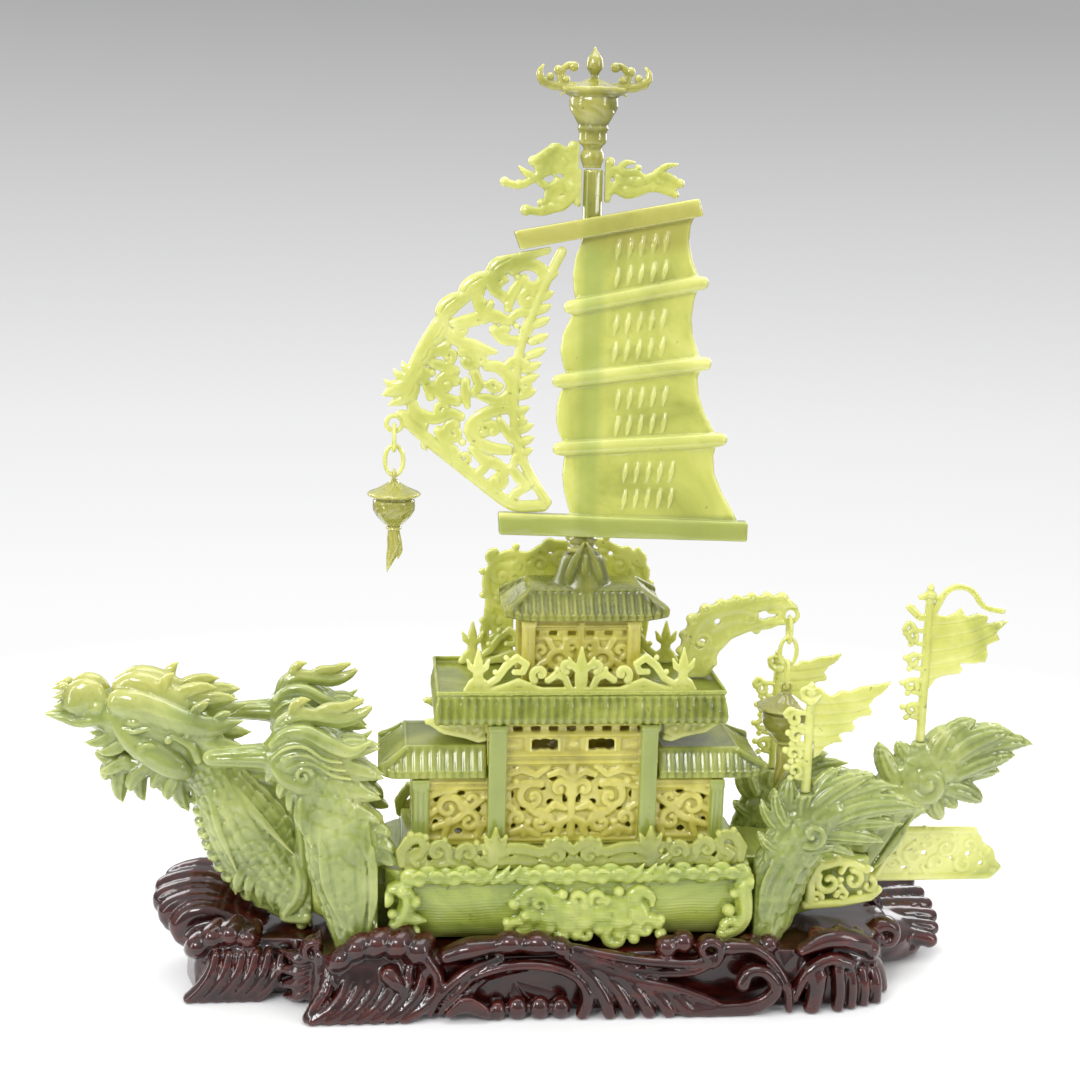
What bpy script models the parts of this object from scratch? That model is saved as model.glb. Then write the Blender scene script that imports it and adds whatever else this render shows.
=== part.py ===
# Dragon boat carved in serpentine, on its carved wooden stand.
# The boat lies along X (prow at -X, stern at +X), Z is up, the ground is Z = 0.
# Named sizes below are millimetres; MM turns them into metres when a mesh is made.
import bpy
import bmesh
import math
import numpy as np
from mathutils import Vector
from mathutils.geometry import delaunay_2d_cdt

for _ob in list(bpy.data.objects):
    bpy.data.objects.remove(_ob, do_unlink=True)

# ------------------------------------------------------------ driving sizes (mm)
MM = 0.001
GAP = 0.3                      # clearance between two pieces that rest on each other
DATUM = (-18.0, 0.0, 0.0)      # puts the middle of the overall length on X = 0

STAND_TOP = 56.0               # the hull rests at this height
STAND_DEPTH = 105.0            # half depth of the stand's body at the ground
HULL_BOTTOM = STAND_TOP + GAP
DECK = 135.0                   # deck height
HULL_HALF = 72.0               # half beam amidships
PROW_HALF = 41.5               # half beam of the narrow prow and stern blocks
PROW_CUT = -216.0              # plane where the dragon's neck joins the hull
STERN_CUT = 335.0              # plane where the stern pieces join the hull
HULL_FORE, HULL_AFT = -146.0, 205.0
MID_X = 32.0                   # centre line of the cabin, athwart
CABIN_Y = 44.0                 # outer face of the cabin's side walls
WALL = 7.0                     # thickness of a pierced wall
COLUMN_Y = 58.0                # outer face of the main columns
MAIN_ROOF = (-102.0, 178.0, 65.0, 275.0, 309.0)      # x0, x1, half depth, z0, z1
FORE_ROOF = (-153.0, -50.4, 52.0, 219.0, 249.0)
AFT_ROOF = (114.6, 221.0, 52.0, 217.0, 245.0)
PAV_ROOF = (-35.0, 120.0, 47.0, 371.0, 400.0)
ROOF_DECK = 303.0              # floor of the main roof's sunken top
MAST_X, MAST_R0, MAST_R1 = 41.0, 12.5, 9.0
MAST_TOP = 786.0
SAIL_BACK, SAIL_FRONT = -13.0, -20.0
BAR_FRONT = -27.0
TAIL_Y = 60.0                  # side tails and side flags
PHOENIX_Y = 61.0
FAR_SCALE = 0.88               # the far side's carvings are a little smaller
LINK_WIRE = 2.0

JADE = (0.40, 0.47, 0.09)
JADE_PALE = (0.62, 0.62, 0.14)
JADE_GREEN = (0.33, 0.45, 0.14)
JADE_OLIVE = (0.22, 0.27, 0.05)
WOOD = (0.045, 0.008, 0.006)


# ------------------------------------------------------------ curves in the X-Z plane
def spline(ctrl, n):
    """n points on a Catmull-Rom curve through the control tuples (any width)."""
    c = [np.array(p, float) for p in ctrl]
    if len(c) == 2:
        return [c[0] + (c[1] - c[0]) * t for t in np.linspace(0, 1, n)]
    c = [2 * c[0] - c[1]] + c + [2 * c[-1] - c[-2]]
    out = []
    m = len(c) - 3
    for k in range(n):
        t = k * m / (n - 1)
        i = min(int(t), m - 1)
        t -= i
        p0, p1, p2, p3 = c[i:i + 4]
        out.append(0.5 * (2 * p1 + (p2 - p0) * t + (2 * p0 - 5 * p1 + 4 * p2 - p3) * t ** 2
                          + (3 * p1 - p0 - 3 * p2 + p3) * t ** 3))
    return out


def spiral(cx, cz, r0, r1, a0, a1, w0, w1, n=14):
    """A scroll: points (x, z, half width) from radius r0 to r1 while turning a0 to a1 degrees."""
    pts = []
    for k in range(n):
        t = k / (n - 1)
        a = math.radians(a0 + (a1 - a0) * t)
        r = r0 + (r1 - r0) * t
        pts.append((cx + r * math.cos(a), cz + r * math.sin(a), w0 + (w1 - w0) * t))
    return pts


def mirrored(strokes, cx=MID_X):
    return [[(2 * cx - x, z, w) for x, z, w in s] for s in strokes]


def shifted(strokes, dx, dz, s=1.0):
    return [[(x * s + dx, z * s + dz, w * s) for x, z, w in st] for st in strokes]


def bar(x0, z0, x1, z1, w0, w1=None):
    return [(x0, z0, w0), (x1, z1, w0 if w1 is None else w1)]


# ------------------------------------------------------------ solids as (vertices, faces)
def tube(ctrl, sides=6, n=None, side=(0, 1, 0)):
    """Loft through (x, y, z, a, b): a is the half width in the carving's plane, b across it."""
    n = n or len(ctrl)
    st = spline(ctrl, n)
    side = np.array(side, float)
    V, F, rings = [], [], []
    for k, p in enumerate(st):
        c = p[:3]
        t = st[min(k + 1, n - 1)][:3] - st[max(k - 1, 0)][:3]
        t /= np.linalg.norm(t) + 1e-9
        nrm = np.cross(t, side)
        nrm /= np.linalg.norm(nrm) + 1e-9
        b = np.cross(nrm, t)
        if p[3] < 0.7 and k in (0, n - 1):
            V.append(c)
            rings.append([len(V) - 1])
            continue
        ring = []
        for j in range(sides):
            a = 2 * math.pi * (j + 0.5) / sides
            V.append(c + nrm * max(p[3], 0.5) * math.cos(a) + b * max(p[4], 0.5) * math.sin(a))
            ring.append(len(V) - 1)
        rings.append(ring)
    for r0, r1 in zip(rings, rings[1:]):
        for j in range(sides):
            k = (j + 1) % sides
            if len(r0) == 1:
                F.append((r0[0], r1[k], r1[j]))
            elif len(r1) == 1:
                F.append((r0[j], r0[k], r1[0]))
            else:
                F.append((r0[j], r0[k], r1[k], r1[j]))
    for r in (rings[0], rings[-1]):
        if len(r) > 1:
            F.append(tuple(r))
    return V, F


def spike(base, tip, w, t, lift=0.18, sides=4, up=1.0):
    """A flame or feather point: a tapering tube whose middle bends off the straight line."""
    b, e = np.array(base, float), np.array(tip, float)
    d = e - b
    off = np.array([-d[2], 0, d[0]]) * lift * up
    m = (b + e) / 2 + off
    return tube([(*b, w, t), (*m, w * 0.72, t * 0.8), (*e, 0.0, 0.0)], sides, 3)


def egg(c, r, sides=8, rows=4):
    V, F = [(c[0], c[1], c[2] + r[2])], []
    for i in range(1, rows):
        a = math.pi * i / rows
        for j in range(sides):
            b = 2 * math.pi * j / sides
            V.append((c[0] + r[0] * math.sin(a) * math.cos(b), c[1] + r[1] * math.sin(a) * math.sin(b),
                      c[2] + r[2] * math.cos(a)))
    V.append((c[0], c[1], c[2] - r[2]))
    for j in range(sides):
        k = (j + 1) % sides
        F.append((0, 1 + j, 1 + k))
        for i in range(rows - 2):
            o = 1 + i * sides
            F.append((o + j, o + sides + j, o + sides + k, o + k))
        o = 1 + (rows - 2) * sides
        F.append((o + j, len(V) - 1, o + k))
    return V, F


def lathe(cx, cy, profile, sides=16):
    """Turned shape from (radius, z) pairs, top to bottom."""
    V, F, rings = [], [], []
    for r, z in profile:
        if r < 0.05:
            V.append((cx, cy, z))
            rings.append([len(V) - 1])
        else:
            ring = []
            for j in range(sides):
                a = 2 * math.pi * j / sides
                V.append((cx + r * math.cos(a), cy + r * math.sin(a), z))
                ring.append(len(V) - 1)
            rings.append(ring)
    for r0, r1 in zip(rings, rings[1:]):
        for j in range(sides):
            k = (j + 1) % sides
            if len(r0) == 1:
                F.append((r0[0], r1[j], r1[k]))
            elif len(r1) == 1:
                F.append((r0[j], r1[0], r0[k]))
            else:
                F.append((r0[j], r1[j], r1[k], r0[k]))
    for r in (rings[0], rings[-1]):
        if len(r) > 1:
            F.append(tuple(r))
    return V, F


def box(x0, x1, y0, y1, z0, z1):
    V = [(x, y, z) for x in (x0, x1) for y in (y0, y1) for z in (z0, z1)]
    F = [(0, 1, 3, 2), (4, 6, 7, 5), (0, 4, 5, 1), (2, 3, 7, 6), (0, 2, 6, 4), (1, 5, 7, 3)]
    return V, F


def ring_link(c, rx, rz, wire, plane='XZ', n=12, m=4):
    """An oval chain link whose opening faces Y (plane XZ) or X (plane YZ)."""
    V, F = [], []
    for i in range(n):
        a = 2 * math.pi * i / n
        o = np.array([math.cos(a) * (rx - wire), 0, math.sin(a) * (rz - wire)])
        d = np.array([math.cos(a) / max(rx, 1), 0, math.sin(a) / max(rz, 1)])
        d /= np.linalg.norm(d)
        for j in range(m):
            b = 2 * math.pi * (j + 0.5) / m
            p = o + d * wire * math.cos(b) + np.array([0, 1, 0]) * wire * math.sin(b)
            if plane == 'YZ':
                p = np.array([p[1], p[0], p[2]])
            V.append((c[0] + p[0], c[1] + p[1], c[2] + p[2]))
    for i in range(n):
        for j in range(m):
            k, l = (i + 1) % n, (j + 1) % m
            F.append((i * m + j, k * m + j, k * m + l, i * m + l))
    return V, F


def loft(rings):
    """Closed rings with equal counts, joined in order and capped at both ends."""
    V, F = [], []
    n = len(rings[0])
    for r in rings:
        V += list(r)
    for i in range(len(rings) - 1):
        for j in range(n):
            k = (j + 1) % n
            F.append((i * n + j, i * n + k, (i + 1) * n + k, (i + 1) * n + j))
    F.append(tuple(range(n)))
    F.append(tuple((len(rings) - 1) * n + j for j in range(n)))
    return V, F


# ------------------------------------------------------------ pierced plates from strokes
def stroke_field(X, Z, strokes, polys, holes):
    """Signed distance (negative inside) of tapered strokes and filled outlines, less the holes."""
    D = np.full(X.shape, 1e3)
    for s in strokes:
        D = np.minimum(D, stroke_dist(X, Z, s))
    for p in polys:
        D = np.minimum(D, poly_dist(X, Z, p))
    for s in holes:
        D = np.maximum(D, -stroke_dist(X, Z, s))
    return D


def stroke_dist(X, Z, s):
    D = np.full(X.shape, 1e3)
    pts = list(s)
    if len(pts) == 1:
        x, z, w = pts[0]
        return np.hypot(X - x, Z - z) - w
    for (x0, z0, w0), (x1, z1, w1) in zip(pts, pts[1:]):
        dx, dz = x1 - x0, z1 - z0
        t = np.clip(((X - x0) * dx + (Z - z0) * dz) / (dx * dx + dz * dz + 1e-9), 0, 1)
        D = np.minimum(D, np.hypot(X - x0 - t * dx, Z - z0 - t * dz) - (w0 + (w1 - w0) * t))
    return D


def poly_dist(X, Z, p):
    D = np.full(X.shape, 1e3)
    inside = np.zeros(X.shape, bool)
    n = len(p)
    for i in range(n):
        (x0, z0), (x1, z1) = p[i], p[(i + 1) % n]
        dx, dz = x1 - x0, z1 - z0
        t = np.clip(((X - x0) * dx + (Z - z0) * dz) / (dx * dx + dz * dz + 1e-9), 0, 1)
        D = np.minimum(D, np.hypot(X - x0 - t * dx, Z - z0 - t * dz))
        cross = ((z0 > Z) != (z1 > Z)) & (X < dx * (Z - z0) / (dz if abs(dz) > 1e-9 else 1e-9) + x0)
        inside ^= cross
    return np.where(inside, -D, D)


def contours(xs, zs, D):
    """Closed outlines of D < 0 on the grid (marching squares)."""
    nx, nz = len(xs), len(zs)
    inside = D < 0
    pts, link = {}, {}

    def cross(i0, j0, i1, j1):
        key = (i0, j0, i1, j1)
        if key not in pts:
            d0, d1 = D[i0, j0], D[i1, j1]
            t = min(max(d0 / (d0 - d1), 0.08), 0.92)
            pts[key] = (xs[i0] + (xs[i1] - xs[i0]) * t, zs[j0] + (zs[j1] - zs[j0]) * t)
        return key

    cells = inside[:-1, :-1].astype(int) + 2 * inside[1:, :-1] + 4 * inside[1:, 1:] + 8 * inside[:-1, 1:]
    for i, j in zip(*np.nonzero((cells > 0) & (cells < 15))):
        c = cells[i, j]
        b = lambda: cross(i, j, i + 1, j)
        r = lambda: cross(i + 1, j, i + 1, j + 1)
        t = lambda: cross(i, j + 1, i + 1, j + 1)
        l = lambda: cross(i, j, i, j + 1)
        seg = {1: [(l, b)], 2: [(b, r)], 3: [(l, r)], 4: [(r, t)], 6: [(b, t)], 7: [(l, t)], 8: [(t, l)],
               9: [(t, b)], 11: [(t, r)], 12: [(r, l)], 13: [(r, b)], 14: [(b, l)],
               5: [(l, b), (r, t)], 10: [(b, r), (t, l)]}[c]
        for p, q in seg:
            link[p()] = q()
    loops = []
    while link:
        k, nxt = link.popitem()
        loop = [pts[k]]
        while nxt != k and nxt in link:
            loop.append(pts[nxt])
            nxt = link.pop(nxt)
        loops.append(loop)
    return loops


def area(loop):
    return 0.5 * sum(a[0] * b[1] - b[0] * a[1] for a, b in zip(loop, loop[1:] + loop[:1]))


def simplify(loop, tol):
    """Douglas-Peucker on a closed outline."""
    P = np.array(loop)
    n = len(P)
    far = int(np.argmax(np.hypot(*(P - P[0]).T)))
    keep = {0, far}
    stack = [(0, far), (far, n)]
    while stack:
        a, b = stack.pop()
        if b - a < 2:
            continue
        p, q = P[a], P[b % n]
        seg = P[a + 1:b]
        d = q - p
        L = math.hypot(*d)
        dist = np.abs(d[0] * (seg[:, 1] - p[1]) - d[1] * (seg[:, 0] - p[0])) / L if L > 1e-9 \
            else np.hypot(*(seg - p).T)
        m = int(np.argmax(dist))
        if dist[m] > tol:
            keep.add(a + 1 + m)
            stack += [(a, a + 1 + m), (a + 1 + m, b)]
    return [tuple(P[i]) for i in sorted(keep)]


def plate(strokes, y0, y1, budget, polys=(), holes=(), step=1.0, least=10.0):
    """A flat carving, Y from y0 to y1, pierced where no stroke runs, with about `budget` corners."""
    allp = [p for s in strokes for p in s] + [(x, z, 0) for q in polys for x, z in q]
    x0 = min(p[0] - p[2] for p in allp) - 3
    x1 = max(p[0] + p[2] for p in allp) + 3
    z0 = min(p[1] - p[2] for p in allp) - 3
    z1 = max(p[1] + p[2] for p in allp) + 3
    xs, zs = np.arange(x0, x1, step), np.arange(z0, z1, step)
    X, Z = np.meshgrid(xs, zs, indexing='ij')
    D = stroke_field(X, Z, strokes, polys, holes)
    for more in (1.0, 1.25, 1.6, 2.2):                           # allow more corners before giving up
        for grow in (0.0, 0.35, 0.7, 1.05, 1.4):                # thicken where webs would come out too thin
            E = D - grow
            for s in holes:
                E = np.maximum(E, -stroke_dist(X, Z, s))
            E = main_island(E)
            loops = [l for l in contours(xs, zs, E) if abs(area(l)) > least * (1 + grow)]
            big = max(loops, key=lambda l: abs(area(l)))
            sign = math.copysign(1, area(big))
            loops = [l for l in loops if l is big or area(l) * sign < 0]      # the body and its piercings
            tol = 0.35
            while True:
                simple = [simplify(l, tol) for l in loops]
                simple = [s for s in simple if len(s) > 2 and abs(area(s)) > least]
                if sum(map(len, simple)) <= budget * more:
                    break
                tol *= 1.12
            part = prism(simple, y0, y1)
            if clearance(simple) > 0.45 and closed(part):
                return part
    return part


def closed(part):
    """Every edge is shared by exactly two faces."""
    count = {}
    for f in part[1]:
        for a, b in zip(f, f[1:] + f[:1]):
            k = (min(a, b), max(a, b))
            count[k] = count.get(k, 0) + 1
    return all(c == 2 for c in count.values())


def main_island(E):
    """Fill the field outside its largest connected body."""
    inside = E < 0
    label = np.zeros(E.shape, int)
    best, size, n = 0, 0, 0
    for i, j in zip(*np.nonzero(inside)):
        if label[i, j]:
            continue
        n += 1
        label[i, j] = n
        stack, count = [(i, j)], 0
        while stack:
            a, b = stack.pop()
            count += 1
            for c, d in ((a + 1, b), (a - 1, b), (a, b + 1), (a, b - 1)):
                if inside[c, d] and not label[c, d]:
                    label[c, d] = n
                    stack.append((c, d))
        if count > size:
            best, size = n, count
    return np.where(inside & (label != best), 0.5, E)


def clearance(loops):
    """Least distance between a corner and an edge that it isn't on."""
    A, B, ids = [], [], []
    o = 0
    for l in loops:
        n = len(l)
        for k in range(n):
            A.append(l[k])
            B.append(l[(k + 1) % n])
            ids.append((o + k, o + (k + 1) % n))
        o += n
    A, B = np.array(A), np.array(B)
    ids = np.array(ids)
    d = B - A
    L2 = (d ** 2).sum(1) + 1e-12
    rel = A[:, None, :] - A[None, :, :]
    t = np.clip((rel * d[None]).sum(2) / L2[None], 0, 1)
    dist = np.hypot(*(rel - t[..., None] * d[None]).transpose(2, 0, 1))
    n = len(A)
    dist[np.arange(n)[:, None] == ids[:, 0][None]] = 9
    dist[np.arange(n)[:, None] == ids[:, 1][None]] = 9
    return float(dist.min())


def prism(loops, y0, y1):
    verts, edges = [], []
    for l in loops:
        o = len(verts)
        verts += [Vector(p) for p in l]
        edges += [(o + k, o + (k + 1) % len(l)) for k in range(len(l))]
    vo, _, fo, _, _, _ = delaunay_2d_cdt(verts, edges, [], 0, 1e-5)
    tris = []
    for f in fo:
        c = sum((vo[i] for i in f), Vector((0, 0))) / 3
        hit = False
        for l in loops:
            for (ax, az), (bx, bz) in zip(l, l[1:] + l[:1]):
                if (az > c.y) != (bz > c.y) and c.x < (bx - ax) * (c.y - az) / (bz - az) + ax:
                    hit = not hit
        if hit:
            tris.append(tuple(f))
    count = {}
    for f in tris:
        for a, b in zip(f, f[1:] + f[:1]):
            count[(a, b)] = count.get((a, b), 0) + 1
    n = len(vo)
    V = [(p.x, y0, p.y) for p in vo] + [(p.x, y1, p.y) for p in vo]
    F = [f for f in tris] + [tuple(i + n for i in reversed(f)) for f in tris]
    for a, b in count:
        if (b, a) not in count:
            F.append((a, a + n, b + n, b))
    return V, F


# ------------------------------------------------------------ joining
def temp(part):
    me = bpy.data.meshes.new('t')
    me.from_pydata([tuple(v) for v in part[0]], [], part[1])
    bm = bmesh.new()
    bm.from_mesh(me)
    loose = [v for v in bm.verts if not v.link_faces]
    bmesh.ops.delete(bm, geom=loose, context='VERTS')
    bmesh.ops.triangulate(bm, faces=[f for f in bm.faces if len(f.verts) > 4])
    bmesh.ops.recalc_face_normals(bm, faces=bm.faces[:])
    bm.to_mesh(me)
    bm.free()
    ob = bpy.data.objects.new('t', me)
    bpy.context.scene.collection.objects.link(ob)
    return ob


def combine(parts, operation='UNION'):
    """Exact Boolean of the first part with each of the others in turn."""
    base = temp(parts[0])
    for p in parts[1:]:
        other = temp(p)
        m = base.modifiers.new('b', 'BOOLEAN')
        m.operation = operation
        m.solver = 'EXACT'
        m.object = other
        dg = bpy.context.evaluated_depsgraph_get()
        me = bpy.data.meshes.new_from_object(base.evaluated_get(dg))
        base.modifiers.clear()
        base.data = me
        bpy.data.objects.remove(other, do_unlink=True)
    me = base.data
    out = ([tuple(v.co) for v in me.vertices], [tuple(p.vertices) for p in me.polygons])
    bpy.data.objects.remove(base, do_unlink=True)
    return out


def reduce(part, target):
    """Collapse the finest facets of a joined carving until about `target` triangles are left."""
    ob = temp(part)
    bm = bmesh.new()
    bm.from_mesh(ob.data)
    bmesh.ops.triangulate(bm, faces=bm.faces[:])
    bmesh.ops.remove_doubles(bm, verts=bm.verts[:], dist=0.02)
    bmesh.ops.dissolve_degenerate(bm, edges=bm.edges[:], dist=0.02)
    bm.to_mesh(ob.data)
    n = len(bm.faces)
    bm.free()
    m = ob.modifiers.new('d', 'DECIMATE')
    m.decimate_type = 'COLLAPSE'
    m.ratio = min(1.0, target / n)
    dg = bpy.context.evaluated_depsgraph_get()
    me = bpy.data.meshes.new_from_object(ob.evaluated_get(dg))
    out = ([tuple(v.co) for v in me.vertices], [tuple(p.vertices) for p in me.polygons])
    bpy.data.objects.remove(ob, do_unlink=True)
    return out


def tidy(part, dist=0.06):
    """Close up hairline edges left by cutting."""
    bm = bmesh.new()
    me = bpy.data.meshes.new('t')
    me.from_pydata([tuple(v) for v in part[0]], [], part[1])
    bm.from_mesh(me)
    bmesh.ops.triangulate(bm, faces=bm.faces[:])
    bmesh.ops.remove_doubles(bm, verts=bm.verts[:], dist=dist)
    bmesh.ops.dissolve_degenerate(bm, edges=bm.edges[:], dist=dist)
    bmesh.ops.triangulate(bm, faces=bm.faces[:])
    bm.verts.index_update()
    out = ([tuple(v.co) for v in bm.verts], [tuple(v.index for v in f.verts) for f in bm.faces])
    bm.free()
    return out


def sound(part, least=0.05):
    """Closed, with no two corners closer than `least`."""
    V = np.array(part[0])
    cells = {}
    for i, v in enumerate(np.round(V / least).astype(int)):
        cells.setdefault(tuple(v), []).append(i)
    return closed(part) and all(len(c) == 1 for c in cells.values())


def moved(part, fn):
    return [tuple(fn(*v)) for v in part[0]], part[1]


def far_side(part, scale=1.0, about=(0, 0), dx=0.0, dz=0.0):
    """Mirror a near-side carving to the far side, scaled about a point of the X-Z plane."""
    def f(x, y, z):
        return (about[0] + (x - about[0]) * scale + dx, -y, about[1] + (z - about[1]) * scale + dz)
    return moved(part, f)


datum = bpy.data.objects.new('boat_datum', None)
bpy.context.scene.collection.objects.link(datum)
datum.location = [c * MM for c in DATUM]
MATS = {}


def material(name, rgb, rough):
    if name not in MATS:
        m = bpy.data.materials.new(name)
        m.use_nodes = True
        b = m.node_tree.nodes['Principled BSDF']
        b.inputs['Base Color'].default_value = (*rgb, 1)
        b.inputs['Roughness'].default_value = rough
        b.inputs['Metallic'].default_value = 0.0
        MATS[name] = m
    return MATS[name]


def make(name, part, rgb, rough=0.22, weld=0.0):
    """Turn a solid into a named object, in metres, under the datum."""
    me = bpy.data.meshes.new(name)
    me.from_pydata([(v[0] * MM, v[1] * MM, v[2] * MM) for v in part[0]], [], part[1])
    bm = bmesh.new()
    bm.from_mesh(me)
    bmesh.ops.delete(bm, geom=[v for v in bm.verts if not v.link_faces], context='VERTS')
    if weld:
        bmesh.ops.remove_doubles(bm, verts=bm.verts[:], dist=weld * MM)
        bmesh.ops.dissolve_degenerate(bm, edges=bm.edges[:], dist=weld * MM)
    bmesh.ops.triangulate(bm, faces=bm.faces[:])
    bmesh.ops.recalc_face_normals(bm, faces=bm.faces[:])
    bm.to_mesh(me)
    bm.free()
    me.materials.append(material('mat_' + name, rgb, rough))
    me.shade_smooth()
    me.set_sharp_from_angle(angle=math.radians(35))
    ob = bpy.data.objects.new(name, me)
    bpy.context.scene.collection.objects.link(ob)
    ob.parent = datum
    return ob


# ------------------------------------------------------------ stand
def lobe(cx, cy, rx, ry, h, a0, flutes=5, depth=3.0, rows=4, cols=16, z0=0.0):
    """A shell-shaped lump of the stand, its face fluted, fanning out from the angle a0."""
    rings = []
    for i in range(rows):
        t = i / (rows - 1)
        z = z0 + (h - z0) * t
        s = math.sqrt(max(0.0, 1 - 0.72 * t ** 2.2))
        ring = []
        for j in range(cols):
            a = 2 * math.pi * j / cols
            front = max(0.0, math.cos(a - math.radians(a0)))
            f = 1 - depth / max(rx, ry) * front * (0.5 - 0.5 * math.cos(flutes * 2 * (a - math.radians(a0))))
            ring.append((cx + rx * s * f * math.cos(a), cy + ry * s * f * math.sin(a), z))
        rings.append(ring)
    return loft(rings)


def slab(outline, z0, z1, inset=0.0):
    V = [(x, y, z0) for x, y in outline] + [(x, y, z1) for x, y in outline]
    n = len(outline)
    F = [tuple(range(n)), tuple(range(n, 2 * n))] + [(i, (i + 1) % n, n + (i + 1) % n, n + i) for i in range(n)]
    return V, F


D = STAND_DEPTH
core = slab([(-330, -42), (-222, -46), (-212, -84), (-100, -94), (40, -92), (150, -90), (250, -94), (325, -84),
             (352, -40), (362, 0), (352, 40), (325, 84), (250, 94), (150, 90), (40, 92), (-100, 94), (-212, 84),
             (-222, 46), (-330, 42), (-345, 0)], 0, STAND_TOP)
# lumps along the near edge: centre x, y, radii, height, flute count
NEAR_LUMPS = [(-262, -26, 42, 26, 74, 4), (-170, -78, 50, 34, 80, 6), (-92, -90, 36, 22, 68, 4),
              (-20, -92, 44, 20, 64, 4), (56, -80, 40, 22, 60, 4), (128, -88, 42, 22, 66, 4),
              (198, -92, 36, 20, 67, 4), (288, -80, 50, 32, 70, 6)]
END_LUMPS = [(-330, 30, 50, 34, 88, 5, 165), (-322, -14, 40, 30, 72, 4, 190), (-290, 52, 42, 28, 84, 4, 120),
             (375, 40, 50, 30, 62, 5, 20), (340, -44, 26, 22, 66, 3, -30), (366, 6, 36, 30, 60, 4, 0)]
parts = [core]
for cx, cy, rx, ry, h, fl in NEAR_LUMPS:
    parts.append(lobe(cx, cy, rx, ry, h, -90, fl, 5.0))
    parts.append(lobe(cx, -cy, rx, ry, h - 3, 90, fl, 5.0))
for cx, cy, rx, ry, h, fl, a in END_LUMPS:
    parts.append(lobe(cx, cy, rx, ry, h, a, fl, 5.0))
block = combine(parts)
# the hull's seat: a flat bed cut down to STAND_TOP; and the flat underside
cuts = [box(-210, 262, -76, 76, STAND_TOP, 120), box(-255, -209, -36, 36, STAND_TOP, 120),
        box(-206, -144, -81, 81, STAND_TOP, 120), box(-600, 600, -300, 300, -50, 0)]
for facets in (1150, 1120, 1090, 1060, 1030, 1000):
    stand = tidy(combine([reduce(block, facets)] + cuts, 'DIFFERENCE'))
    if sound(stand):
        break
make('stand', stand, WOOD, 0.18)


# ------------------------------------------------------------ hull
def hull_section(x, w, zb, top=DECK, rim=2.0):
    half = [(0.50, 0), (0.78, 0.07), (0.94, 0.30), (1.0, 0.60), (0.97, 0.82), (1.0, 0.90)]
    pts = [(w * a, zb + (top - zb) * b) for a, b in half] + [(w + rim, top)]
    ring = [(x, -y, z) for y, z in reversed(pts)] + [(x, y, z) for y, z in pts]
    return ring


wide = loft([hull_section(x, w, zb) for x, w, zb in
             ((HULL_FORE, 56, 86), (-136, 66, 68), (-118, 70, 60), (-96, HULL_HALF, HULL_BOTTOM + .4),
              (30, HULL_HALF + 1, HULL_BOTTOM + .4), (172, HULL_HALF, HULL_BOTTOM + .4), (192, 69, 61), (HULL_AFT, 60, 74))])
narrow = loft([hull_section(x, w, zb, top, 0) for x, w, zb, top in
               ((PROW_CUT + GAP, 30, 72, 128), (-190, 38, 61, 132), (-150, PROW_HALF, HULL_BOTTOM, DECK - .5),
                (200, PROW_HALF, HULL_BOTTOM, DECK - .5), (255, PROW_HALF, 62, 128), (296, 36, 72, 124),
                (STERN_CUT - GAP, 26, 82, 124))])
plinth = box(-130, 190, -61, 61, DECK - 6, DECK + 14)
# cloud scrolls carved on the side: a tall one fore and aft, a broad group amidships
fore_scroll = [spiral(-128, 122, 11, 5, 200, -60, 6, 5), [(-140, 120, 6), (-128, 104, 9), (-118, 92, 8), (-126, 78, 6)],
               spiral(-118, 78, 10, 4, 180, 420, 5, 4)]
mid_scroll = [spiral(14, 112, 14, 5, 250, -40, 6, 5), [(20, 112, 7), (52, 104, 9), (84, 112, 6), (98, 118, 4)],
              spiral(44, 84, 13, 4, 30, 300, 7, 5), [(8, 96, 6), (30, 88, 8), (60, 78, 8), (92, 82, 6)],
              spiral(92, 88, 10, 4, 200, 460, 5, 4), [(70, 104, 6), (78, 90, 7), (72, 76, 6)]]
aft_scroll = [spiral(202, 120, 12, 5, -40, 200, 6, 5), [(196, 122, 6), (200, 104, 9), (198, 88, 8), (190, 76, 6)],
              spiral(184, 78, 9, 4, 0, 240, 5, 4), [(204, 78, 4), (214, 74, 3)]]
reliefs = []
for sc, bud in ((fore_scroll, 26), (mid_scroll, 56), (aft_scroll, 26)):
    for s in (-1, 1):
        reliefs.append(plate(sc, min(s * 66, s * 81), max(s * 66, s * 81), bud, least=14))
rims = []
for s in (-1, 1):                                      # scalloped cloud rim along the deck edge
    sc = [bar(-124, 131, 188, 131, 5)] + [[(-118 + 27.5 * k, 129 - 3 * (k % 2), 10)] for k in range(12)]
    rims.append(plate(sc, min(s * 70, s * 77.5), max(s * 70, s * 77.5), 44, least=14,
                      holes=[bar(-160, 150, 230, 150, 15)]))
hull = reduce(combine([wide, narrow] + reliefs + rims), 880)
flat = [box(-400, 400, -200, 200, DECK, 300), box(-400, 400, -200, 200, 0, HULL_BOTTOM),       # level deck and keel
        box(STERN_CUT - GAP, 400, -200, 200, 0, 300), box(290, 400, -200, 200, 124, 300)]
flat += [box(HULL_AFT + .5, 260, min(s * 42, s * 75), max(s * 42, s * 75), 0, 200) for s in (-1, 1)]   # room for the side tails
flat += [box(-300, HULL_FORE, min(s * 41.7, s * 90), max(s * 41.7, s * 90), 0, 200) for s in (-1, 1)]
hull = combine([combine([hull, *flat], 'DIFFERENCE'), plinth])
make('hull', hull, JADE)


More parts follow.
